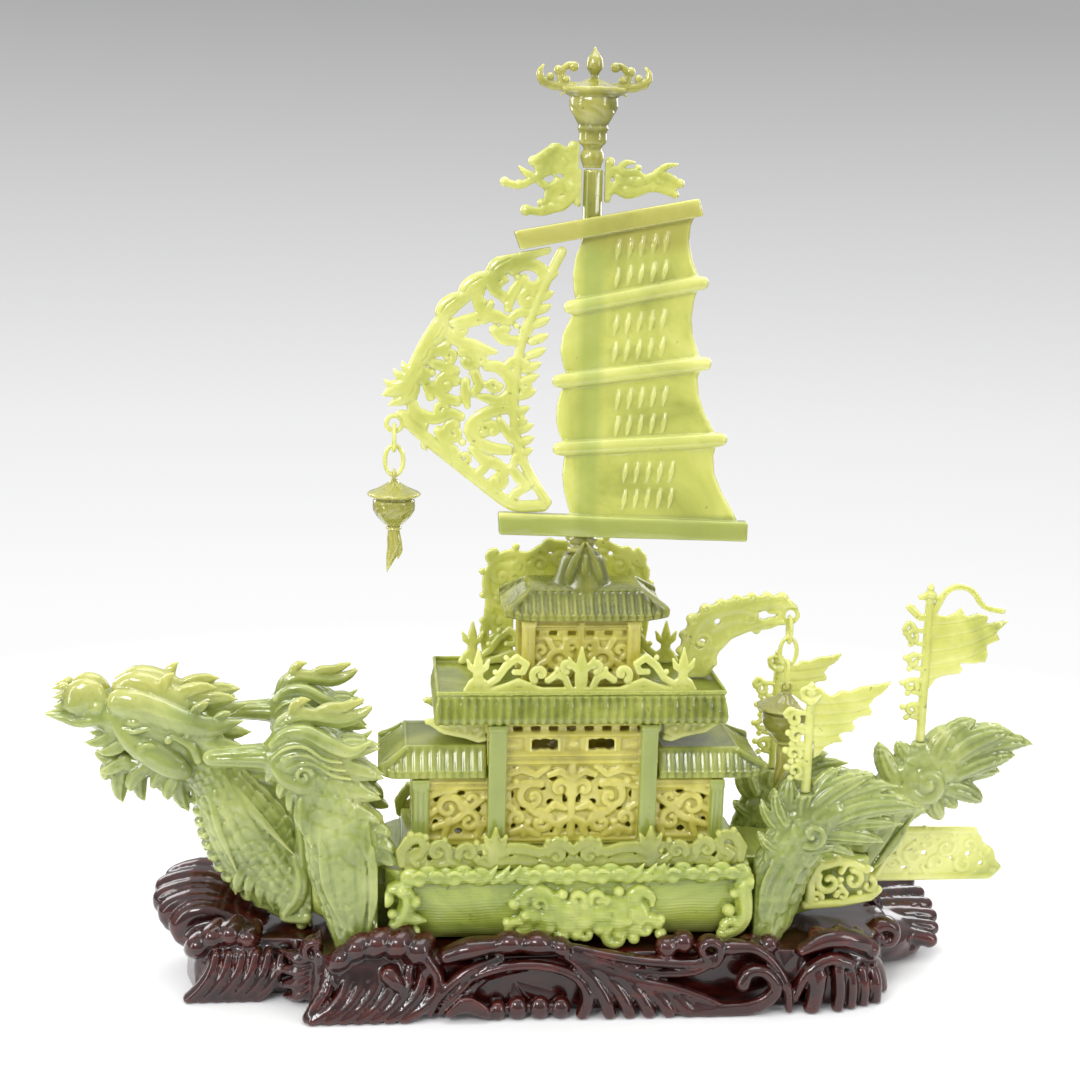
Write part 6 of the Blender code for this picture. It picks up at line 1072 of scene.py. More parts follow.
# ------------------------------------------------------------ roofs
def roof_field(f, x0, x1, hd, z0, z1, pitch_x, pitch_y, flutes, lift=0.0, open_end=None):
    """Hipped roof: rounded tiles run down each slope to scalloped ends, corners turned up."""
    def fn(X, Y, Z):
        cx, cy = (x0 + x1) / 2, 0.0
        lx, ly = (x1 - x0) / 2, hd
        ax_, ay = np.abs(X - cx), np.abs(Y)
        # distance in from the eave, per side
        dx0, dx1 = X - x0, x1 - X
        if open_end == "fore":
            dx0 = dx0 + 1e3
        if open_end == "aft":
            dx1 = dx1 + 1e3
        ix = np.minimum(dx0, dx1) / pitch_x
        iy = (hd - ay) / pitch_y
        inn = np.minimum(ix, iy)
        on_long = iy <= ix
        u = np.where(on_long, X, Y)
        L = np.where(on_long, 2 * lx, 2 * ly)
        m_ = np.where(on_long, flutes, max(4, round(flutes * 2 * ly / (2 * lx))))
        ph = (u - np.where(on_long, x0, -hd)) / L * m_
        tile = np.abs(np.sin(math.pi * ph))                     # 0 in the valley, 1 on the crown
        up_x = np.clip((ax_ - lx * 0.62) / (lx * 0.38), 0, 1) ** 2.2
        up_y = np.clip((ay - ly * 0.55) / (ly * 0.45), 0, 1) ** 2.2
        if open_end == "fore":
            up_x = np.where(X < cx, 0, up_x)
        if open_end == "aft":
            up_x = np.where(X > cx, 0, up_x)
        rise = lift * up_x * up_y
        H = z1 - z0
        t = np.clip(inn, 0, 1)
        slope = z0 + 0.27 * H + rise + (0.73 * H - 0.4 * rise) * t ** 1.12
        top = slope - 3.2 * (1 - tile) ** 0.8 * np.clip((0.97 - t) * 8, 0, 1)
        under = z0 + rise + 0.03 * H * np.clip(1 - inn * 2.0, 0, 1)
        edge = -np.minimum(inn * np.where(on_long, pitch_y, pitch_x), 40) + 2.4 * (1 - np.sqrt(np.clip(tile, 0, 1)))
        d = np.maximum(np.maximum((Z - top) * 0.85, under - Z), edge)
        if open_end == "fore":
            d = np.maximum(d, x0 + 0.1 - X)
        if open_end == "aft":
            d = np.maximum(d, X - x1 + 0.1)
        return d
    f.field(fn, k=0)


def build_main_roof():
    x0, x1, hd, z0, z1 = -102.0, 178.0, 65.0, 275.0, 309.0
    f = Field((x0, -hd, z0), (x1, hd, z1), 1.5)

    def fn(X, Y, Z):
        ax_, ay = np.abs(X - 38), np.abs(Y)
        lx = 140.0
        on_long = (hd - ay) <= (lx - ax_)
        u = np.where(on_long, X - x0, Y + hd)
        ph = u / 8.25
        tile = np.abs(np.sin(math.pi * ph))
        inn = np.minimum(hd - ay, lx - ax_)
        t = np.clip((Z - z0) / (z1 - z0), 0, 1)
        inset = np.interp(t.ravel(), [0, 0.10, 0.22, 0.55, 0.80, 0.84, 0.88, 0.94, 1.0], [3.2, 1.0, 0.5, 2.2, 4.2, 4.6, 3.0, 2.4, 3.4]).reshape(t.shape)
        groove = 2.3 * (1 - tile) ** 0.8 * np.clip((0.82 - t) * 12, 0, 1)
        bead = 0.9 * (1 - np.abs(np.sin(math.pi * u / 5.0))) * np.clip((t - 0.86) * 20, 0, 1)
        d = inset + groove + bead - inn
        skirt = z0 + 3.4 * (1 - np.sqrt(np.clip(tile, 0, 1))) * np.clip((8 - inn) / 4, 0, 1)
        d = np.maximum(d, np.maximum(skirt - Z, Z - z1 + 0.1))
        bed = np.maximum(np.maximum(ax_ - 134.0, ay - 59.0), 302.8 - Z)
        return np.maximum(d, -bed)
    f.field(fn)
    return f.mesh(0.03)


def build_wing(roof_args, px, open_end):
    x0, x1, hd, z0, z1 = roof_args
    f = Field((x0, -hd, z0), (x1, hd, z1 + 6), 1.35)
    roof_field(f, x0, x1, hd, z0, z1, px, 13, 13, 8.0, open_end)
    if open_end == "aft":                                    # ridge rolls on the hips
        xe, sx = x0, 1
    else:
        xe, sx = x1, -1
    for s in (-1, 1):
        f.tube([(xe + sx * px, s * (hd - 13), z1 - 3.4, 3, 3), (xe + sx * px * 0.5, s * (hd - 7), z0 + 17, 3.4, 3.4),
                (xe + sx * 4, s * (hd - 4), z0 + 13.0, 3.4, 3.4)], 8, 2.0)
    f.box((x0 + (px + 2 if open_end == "aft" else 6), -hd + 17, z1 - 1.5), (x1 - (px + 2 if open_end == "fore" else 6), hd - 17, z1 + 1), 0.5, 0.2, cut=True)
    X, Z = f.ax[0].reshape(-1, 1, 1), f.ax[2].reshape(1, 1, -1)
    f.D = np.maximum(f.D, Z - z1).astype(np.float32)
    f.D = np.maximum(f.D, (X - x1 + 0.1) if open_end == "aft" else (x0 + 0.1 - X)).astype(np.float32)
    return f.mesh(0.0)


def build_pavilion_roof():
    x0, x1, hd, z0, z1 = -35.0, 120.0, 47.0, 371.0, 400.0
    f = Field((x0 - 1, -hd, z0), (x1 + 1, hd, 452), 1.3)
    roof_field(f, x0, x1, hd, z0, z1, 25, 22, 20, 6.0)
    for s in (-1, 1):
        for e, xe in ((1, x0), (-1, x1)):
            f.tube([(xe + e * 24, s * (hd - 21), z1 - 4, 3.4, 3.4), (xe + e * 12, s * (hd - 11), z0 + 17, 4, 4), (xe + e * 4.5, s * (hd - 5), z0 + 11.5, 4.4, 4.4)],
                   8, 2.0)
    for z in (392.5, 396.8):
        f.box((x0 + 22, -hd + 19.0, z - 0.8), (x1 - 22, -hd + 30, z + 0.8), 0.2, 0.3, cut=False)
    f.lathe(41, 0, [(389, 30), (400, 28.5), (406, 26), (412, 24), (418, 22), (424, 20), (427, 18)], 1.5)
    # narrow ogee in front of the mast
    for e in (-1, 1):
        f.tube([(41 + e * 15, -20, 399, 4, 4.4), (41 + e * 13.5, -20, 411, 4.4, 4.4), (41 + e * 9, -20, 424, 4.2, 4.4), (41 + e * 1.2, -20, 442, 1.0, 3.0)], 16, 0.6)
    f.tube([(41, -20, 402, 12, 3.4), (41, -20, 414, 10, 3.4), (41, -20, 426, 5, 3.2), (41, -20, 436, 2, 2.4)], 8, 1.0)
    f.tube([(41, -23.4, 406, 3.6, 1.8), (41, -23.6, 417, 3.2, 1.8), (41, -23.2, 430, 0.8, 1)], 8, 0.4)
    f.lathe(41, 0, [(394.0, 13.4), (470, 13.4)], 0, cut=True)
    Y, Z = f.ax[1].reshape(1, -1, 1), f.ax[2].reshape(1, 1, -1)
    f.D = np.maximum(f.D, z0 + 0.05 - Z).astype(np.float32)
    return f.mesh(0.015)


def build_pavilion_side():
    f = Field((-20, -40.5, 303.8), (96, -27.2, 370.6), 1.25)
    yc = -31
    for x0, x1, z0, z1 in ((-16, 92, 303.8, 312.5), (-16, 92, 360, 370.6), (-14, 90, 350, 353.6)):
        f.box((x0, -34, z0), (x1, -28, z1), 0.8)
    for z in (308, 364.5):
        f.tube([(-14, -34, z, 1.4, 1.4), (90, -34, z, 1.4, 1.4)], None, 0.3)
    holes = [(-8, 344, 3, 3), (8, 346, 3, 2.6), (22, 346, 2.6, 3), (-6, 316, 4, 2.4), (10, 320, 3, 2.4), (28, 328, 2.6, 3.6), (32, 312.5, 3, 2), (-10, 330, 2, 3)]
    web(f, [(-12, 308), (88, 308), (88, 364), (-12, 364)], -30.4, 2.3, holes + [(76 - a, b, c, d) for a, b, c, d in holes])
    half = [spiral(16, 330, 12, 2.8, 20, 380, 4.2, 2.8), [(-10, 320, 3.8), (0, 326, 4.4), (8, 332, 3.6)], spiral(0, 340, 7, 2.2, 250, -60, 3.6, 2.6),
            [(-10, 312, 4), (4, 316, 4), (16, 312, 4)], spiral(29, 344, 6, 2, 0, 300, 3.2, 2.4), bar(38, 308, 38, 366, 3.6), bar(6, 352, 12, 342, 3.4),
            bar(24, 352, 22, 342, 3.2), [(28, 318, 3.4), (34, 324, 4), (38, 332, 3)], [(24, 312, 3.6), (30, 318, 3.6)]]
    for line in (half, mirrored(half, 38)):
        f.strokes(line, yc - 1.2, 3.7, 0.5, disp=strands(4, 0.7))
    for i in range(6):
        x = -6 + 17.6 * i
        f.box((x - 4, -36, 354.8), (x + 4, -26, 358.8), 0.6, 0.2, cut=True)
    for x0, x1 in ((-19, -5), (81, 95)):
        xm, w = (x0 + x1) / 2, (x1 - x0) / 2
        f.box((x0 + 0.6, -39.4, 306), (x1 - 0.6, -28, 368), 1.4)
        f.box((x0, -40, 303.8), (x1, -28, 310.5), 1.0)
        f.box((x0, -40, 364), (x1, -28, 370.6), 1.0)
        for e in (-1, 1):
            f.tube([(xm + e * w, -40, 313, 2, 2), (xm + e * w, -40, 361, 2, 2)], None, 0.4, cut=True)
        f.tube([(xm, -40.2, 313, 1.1, 1.1), (xm, -40.2, 361, 1.1, 1.1)], None, 0.3, cut=True)
    Y, Z = f.ax[1].reshape(1, -1, 1), f.ax[2].reshape(1, 1, -1)
    f.D = np.maximum(np.maximum(f.D, 303.9 - Z), np.maximum(Z - 370.5, Y + 28.05)).astype(np.float32)
    return f.mesh(0.015)


# ------------------------------------------------------------ rails
def build_deck_rail():
    y = -67.0
    f = Field((-134, -71.4, 135.4), (198, -62.6, 178), 1.05)
    cx = 32.0
    half = [[(-130, 142, 4), (-131, 154, 5), (-124, 165, 5), (-114, 168, 4.6), (-108, 160, 4.4), (-113, 151, 4.4), (-121, 147, 4), (-116, 141, 4)],
            spiral(-96, 154, 10, 2.6, -20, 340, 4.4, 3.0), [(-86, 146, 4), (-80, 140, 4.6), (-70, 138, 4)], [(-106, 140, 4), (-96, 138, 4.4), (-88, 141, 4)],
            spiral(-68, 152, 9, 2.4, 200, -140, 4.2, 2.8), [(-60, 146, 4), (-54, 140, 5), (-46, 139, 5)],
            [(-44, 137, 6), (-43, 150, 7), (-42, 162, 6), (-42, 176, 1.2)], [(-52, 168, 1.6), (-48, 160, 4.4), (-42, 154, 4)], [(-32, 168, 1.6), (-36, 160, 4.4), (-42, 154, 4)],
            [(-40, 150, 5), (-28, 156, 5.4), (-14, 155, 5.4), (0, 151, 5), (14, 156, 3)], [(-38, 142, 4), (-22, 144, 5.4), (-6, 141, 5), (4, 138, 4)],
            spiral(16, 148, 8.5, 2.4, 160, -150, 4.4, 2.8), [(2, 142, 4), (10, 138, 5), (24, 137, 5), (cx, 138, 4.6)], [(8, 158, 4), (16, 162, 5), (26, 158, 4.6), (cx, 152, 4)]]
    base = [bar(-126, 138.2, -106, 138.2, 2.8), bar(-60, 137.4, 124, 137.4, 2.2)]
    half = [[(a, b, w * 1.18) for a, b, w in line] for line in half]
    edge = [(-127, 137), (-128, 152), (-118, 158), (-104, 158), (-92, 161), (-78, 157), (-62, 159), (-50, 162), (-42, 168), (-34, 162), (-20, 156), (0, 154), (16, 157)]
    gaps = [(-118, 148, 3, 3.4), (-104, 148, 2.6, 3.4), (-84, 152, 2.8, 2.8), (-56, 151, 2.6, 3.2), (-26, 149, 4.4, 2.6), (-2, 146, 3.4, 2.4), (24, 149, 3.4, 3)]
    web(f, edge + [(2 * cx - a, b) for a, b in edge[::-1]], y, 2.0, gaps + [(2 * cx - a, b, c, d) for a, b, c, d in gaps])
    for line in (half, mirrored(half, cx), base):
        f.strokes(line, y, 4.1, 0.5, disp=strands(4, 0.55))
    for bx, bz, r in ((-122, 171, 3.6), (-108, 168, 3.6), (-134 + 5, 148, 3.4), (-96, 155, 3.2), (-68, 153, 3), (-90, 165, 3.4), (-60, 162, 3.2), (16, 148, 3),
                      (24, 164, 3.6), (8, 163, 3.2), (-52, 152, 3.2), (-76, 146, 3)):
        for xx in (bx, 2 * cx - bx):
            f.ball((xx, y, bz), (r, min(r + 0.6, 4.2), r), 0.5)
    Z = f.ax[2].reshape(1, 1, -1)
    f.D = np.maximum(f.D, 135.6 - Z).astype(np.float32)
    return f.mesh(0.0)


def build_roof_rail():
    y, c = -50.0, 37.0
    f = Field((-77, -53.4, 303.6), (151, -46.6, 349), 1.0)
    half = [[(-60, 306, 5), (-60, 322, 5.6), (-60, 334, 5), (-60, 347, 1.0)], [(-70, 336, 1.4), (-67, 329, 3.6), (-60, 324, 4)],
            [(-50, 336, 1.4), (-53, 329, 3.6), (-60, 324, 4)], [(-70, 306, 4), (-66, 313, 4.4), (-60, 318, 4)], [(-50, 306, 4), (-54, 313, 4.4), (-60, 318, 4)],
            [(-52, 311, 3.6), (-42, 318, 4), (-34, 330, 4.4), (-24, 338, 4.2), (-15, 332, 3.8), (-18, 324, 3.4), (-26, 324, 3)],
            [(-46, 306, 4), (-34, 309, 4.6), (-22, 314, 4.6), (-12, 310, 4.6), (-2, 306, 4)], spiral(-2, 322, 8, 2.2, 230, -80, 4, 2.6),
            [(6, 316, 3.8), (14, 322, 4.4), (22, 318, 4), (26, 308, 4)], spiral(24, 330, 6, 2, 260, -40, 3.4, 2.4),
            [(c, 306, 6), (c, 320, 7), (c, 332, 5.6), (c, 347.6, 1.4)], [(c - 12, 338, 1.4), (c - 8, 330, 4), (c, 324, 4.6)],
            bar(-66, 306.8, c, 306.8, 2.8)]
    for line in (half, mirrored(half, c)):
        f.strokes(line, y, 3.15, 0.5, disp=strands(4, 0.5))
    for bx, bz, r in ((-60, 326, 3), (-26, 324, 2.8), (-34, 338, 2.8), (-2, 322, 2.8), (24, 330, 2.6), (14, 327, 2.8), (-44, 324, 2.8)):
        for xx in (bx, 2 * c - bx):
            f.ball((xx, y, bz), (r, min(r + 0.3, 3.3), r), 0.5)
    Z = f.ax[2].reshape(1, 1, -1)
    f.D = np.maximum(f.D, 303.9 - Z).astype(np.float32)
    return f.mesh(0.0)


def build_cloud_screen():
    y = 57.8
    f = Field((-55, 54.6, 309.2), (124, 61, 436), 1.15)
    L = [[(-45, 312, 5), (-48, 335, 5), (-42, 360, 5), (-47, 384, 5), (-40, 404, 5), (-26, 414, 5), (-6, 412, 5), (8, 420, 5), (26, 424, 5), (44, 418, 5),
          (62, 426, 5), (80, 420, 5), (96, 412, 5), (112, 398, 5), (108, 376, 5), (113, 350, 5), (108, 312, 5)],
         bar(-46, 312.2, 112, 312.2, 3.2), bar(-22, 312, -22, 404, 3.4), bar(98, 312, 98, 400, 3.4), bar(-22, 388, 98, 390, 3.4)]
    f.strokes(L, y, 3.0, 0.5, n=60, taper=False, disp=strands(4, 0.5))
    web(f, [(-48, 313), (-50, 340), (-46, 384), (-42, 404), (-22, 404), (-22, 313)], y, 1.7, [(-43, 333, 2.4, 3.4), (-26, 355, 2.4, 4), (-44, 379, 2.4, 3), (-26, 332, 2.4, 3)])
    web(f, [(98, 313), (98, 400), (110, 396), (108, 372), (113, 348), (108, 313)], y, 1.7, [(107, 337, 2.2, 3), (100, 356, 2, 3), (108, 378, 2.2, 3)])
    web(f, [(-42, 388), (-42, 404), (-26, 414), (-6, 412), (8, 420), (26, 424), (44, 418), (62, 426), (80, 420), (96, 412), (110, 398), (110, 388)], y, 1.7,
        [(-23, 402, 2.6, 3), (-4, 407, 2.4, 2.4), (16, 416, 3, 2), (36, 411, 2.4, 3), (56, 411, 2.6, 2.4), (76, 415, 2.6, 2.4), (96, 399, 2.4, 3)])
    k = 0
    for cx_, cz, r in ((-32, 392, 11), (-34, 366, 9), (-32, 344, 9), (-34, 324, 8), (-14, 402, 9), (6, 404, 10), (26, 408, 9), (46, 402, 9), (66, 408, 10),
                       (86, 402, 10), (100, 388, 9), (104, 366, 8), (103, 346, 8), (104, 326, 8), (-2, 392, 6), (60, 396, 6), (-40, 410, 6), (104, 408, 7),
                       (92, 416, 6), (16, 422, 6), (56, 422, 6)):
        k += 1
        f.strokes([spiral(cx_, cz, r, 2.4, 47 * k, 47 * k + 400 * (1 if k % 2 else -1), 4.4, 3.0)], y, 3.1, 0.5, disp=strands(4, 0.6))
        f.ball((cx_, y, cz), (3, 3, 3), 0.5)
    for cx_, cz, r in ((-50, 372, 3.6), (-51, 396, 3.6), (-18, 421, 4), (34, 431, 3.6), (72, 431, 3.8), (117, 384, 4), (117, 362, 3.6), (-50, 346, 3.6), (104, 418, 3.4)):
        f.ball((cx_, y, cz), (r, 3, r), 0.5)
    Y, Z = f.ax[1].reshape(1, -1, 1), f.ax[2].reshape(1, 1, -1)
    f.D = np.maximum(np.maximum(f.D, 309.5 - Z), 54.9 - Y).astype(np.float32)
    return f.mesh(0.0)


def build_bracket(aft):
    y = -34.0
    f = Field((-112, -37.6, 249.6), (-40, -30.4, 274.4), 1.0) if not aft else Field((104, -37.6, 245.6), (180, -30.4, 274.4), 1.0)
    L = [[(-102, 270, 3.6), (-90, 262, 4.0), (-76, 259, 4.0), (-62, 256, 4), (-54, 262, 3.6)], spiral(-76, 263, 7.5, 2.2, 120, -200, 3.4, 2.4),
         spiral(-60, 262, 6, 2, 200, 500, 3.2, 2.4), spiral(-92, 265, 5, 2, 20, 300, 3, 2.4), bar(-106, 271, -50, 271, 3.2),
         [(-66, 256, 3.6), (-58, 253, 3.6), (-52, 254, 3.4)]]
    sheet_ = [(-106, 273), (-50, 273), (-50, 258), (-66, 255), (-84, 262), (-100, 268)]
    if aft:
        L = mirrored(L, 35.0)
        sheet_ = [(70 - a, b) for a, b in sheet_]
    web(f, sheet_, y, 2.2)
    f.strokes(L, y, 3.3, 0.5, disp=strands(4, 0.45))
    Y, Z = f.ax[1].reshape(1, -1, 1), f.ax[2].reshape(1, 1, -1)
    zb = 245.6 if aft else 249.6
    f.D = np.maximum(np.maximum(f.D, zb - Z), Z - 274.2).astype(np.float32)
    return f.mesh(0.0)


# ------------------------------------------------------------ mast and sail
def build_mast():
    f = Field((28, -13, 395), (54, 13, 786), 1.2)
    f.lathe(41, 0, [(395.0, 12.3), (431, 12.3), (436, 12.0), (470, 11.7), (740, 9.3), (785.9, 8.9)],
            ripple=lambda th, Z: 0.35 * np.cos(8 * th) - 0.35)
    for z, r in ((432, 15.2), (441, 14.0), (449, 12.9)):
        f.lathe(41, 0, [(z - 3.4, r - 3), (z - 1.8, r - 0.5), (z, r), (z + 1.8, r - 0.5), (z + 3.4, r - 3)], 0.5)
    return f.mesh(0.02)


SAIL_BARS = [((-28, 721), (137, 754), 9.8), ((21, 662), (142, 686), 7.2), ((12, 594), (148, 612), 7.2), ((14, 531), (166, 541), 7.2),
             ((-40, 461), (194, 454), 9.8)]
# luff, then leech, of each panel, from top to foot
SAIL_PANELS = [([(36, 733), (30, 721), (25, 708), (23, 692), (24, 676), (28, 662)], [(137, 754), (130, 738), (129, 722), (133, 706), (138, 694), (138, 686)]),
               ([(27, 664), (21, 650), (15, 637), (13, 622), (16, 608), (22, 594)], [(140, 686), (136, 670), (134, 654), (136, 638), (141, 624), (145, 610)]),
               ([(22, 596), (14, 583), (11, 570), (11, 556), (14, 544), (22, 530)], [(146, 612), (142, 598), (144, 582), (150, 566), (158, 552), (165, 538)]),
               ([(22, 534), (19, 520), (18, 505), (20, 490), (24, 475), (30, 460)], [(164, 540), (160, 526), (162, 508), (170, 490), (180, 474), (190, 456)])]


def build_sail():
    f = Field((-52, -28, 442), (206, -12.8, 767), 1.3)
    for luff, leech in SAIL_PANELS:
        poly = luff + leech[::-1]
        ztop, zbot = max(p[1] for p in poly), min(p[1] for p in poly)
        lz = np.array([p[1] for p in luff[::-1]]), np.array([p[0] for p in luff[::-1]])
        rz = np.array([p[1] for p in leech[::-1]]), np.array([p[0] for p in leech[::-1]])

        def cloth(X, Y, Z, poly=poly, lz=lz, rz=rz):
            D2 = poly2(X[:, :, 0], Z[0, 0, :][None, :], poly)[:, None, :]
            zl = Z.ravel()
            xl = np.interp(zl, *lz).reshape(Z.shape)
            xr = np.interp(zl, *rz).reshape(Z.shape)
            a = np.clip((X - xl) / 9.0, 0, 1)                  # lens bevel down the luff
            b_ = np.clip((xr - X) / 6.0, 0, 1)
            front = 3.3 - 2.3 * (1 - a) ** 1.6 + 0.9 * np.exp(-((xr - X - 3.2) / 2.0) ** 2) - 1.2 * (1 - b_) ** 2
            front = front + 0.35 * np.sin((X - xl) * 0.055 + (Z - 500) * 0.02)
            yy = -(Y + 16.5)                                    # positive towards the viewer
            return np.maximum(D2, np.maximum(yy - front, -yy - 3.4))
        f.field(cloth, (0, -28, zbot - 4), (200, -12.8, ztop + 4), 0.6)
    for (ax, az), (bx, bz), r in SAIL_BARS[1:-1]:             # battens with rounded ends
        f.tube([(ax, -19.9, az, r - 0.9, 5.4), (ax + 5, -19.9, az + 0.4, r, 6.2), (bx - 5, -19.9, bz - 0.4, r, 6.2), (bx, -19.9, bz, r - 0.9, 5.4)], None, 0.5)
        f.tube([(ax + 8, -26.4, az + r * 0.5, 0.8, 0.9), (bx - 8, -26.4, bz + r * 0.5, 0.8, 0.9)], None, 0.3, cut=True)
    for slab in ([(-32, 730), (-27, 713), (140, 746), (136, 762)], [(-42, 471), (-41, 450), (195, 444), (195, 463)]):      # square-cut yard and boom
        cx_, cz_ = sum(p[0] for p in slab) / 4, sum(p[1] for p in slab) / 4
        inner = [(p[0] + (1.8 if p[0] < cx_ else -1.8), p[1] + (1.8 if p[1] < cz_ + (p[0] - cx_) * 0.19 * (cz_ > 600) else -1.8)) for p in slab]

        def plank(X, Y, Z, inner=inner):
            D2 = poly2(X[:, :, 0], Z[0, 0, :][None, :], inner)[:, None, :]
            q = np.abs(Y + 19.9) - 4.9
            return np.sqrt(np.maximum(D2, 0) ** 2 + np.maximum(q, 0) ** 2) + np.minimum(np.maximum(D2, q), 0) - 1.7
        f.field(plank, (-46, -28, min(p[1] for p in slab) - 3), (199, -12.8, max(p[1] for p in slab) + 3), 0.3)
    # four rows of plain shallow strokes, one row to a panel: evenly spaced, all leaning one way
    for cx, cz, m_ in ((84, 706, 5), (84, 637, 5), (88, 567, 5), (97, 497, 5)):
        for k in range(m_):
            u = k - (m_ - 1) / 2
            x, z = cx + 11.0 * u, cz + 11.0 * u * 0.19 * (cz - 440) / 270
            for dz, hz in ((12.6, 8.6), (-12.6, 8.6)):
                f.tube([(x + 1.5 + hz * 0.16, -20.3, z + dz + hz, 1.1, 1.0), (x + 1.5, -20.6, z + dz, 2.7, 2.0),
                        (x + 1.5 - hz * 0.16, -20.3, z + dz - hz, 1.1, 1.0)], 7, 0.4)
    Y = f.ax[1].reshape(1, -1, 1)
    f.D = np.maximum(f.D, Y + 13.05).astype(np.float32)
    return f.mesh(0.012)


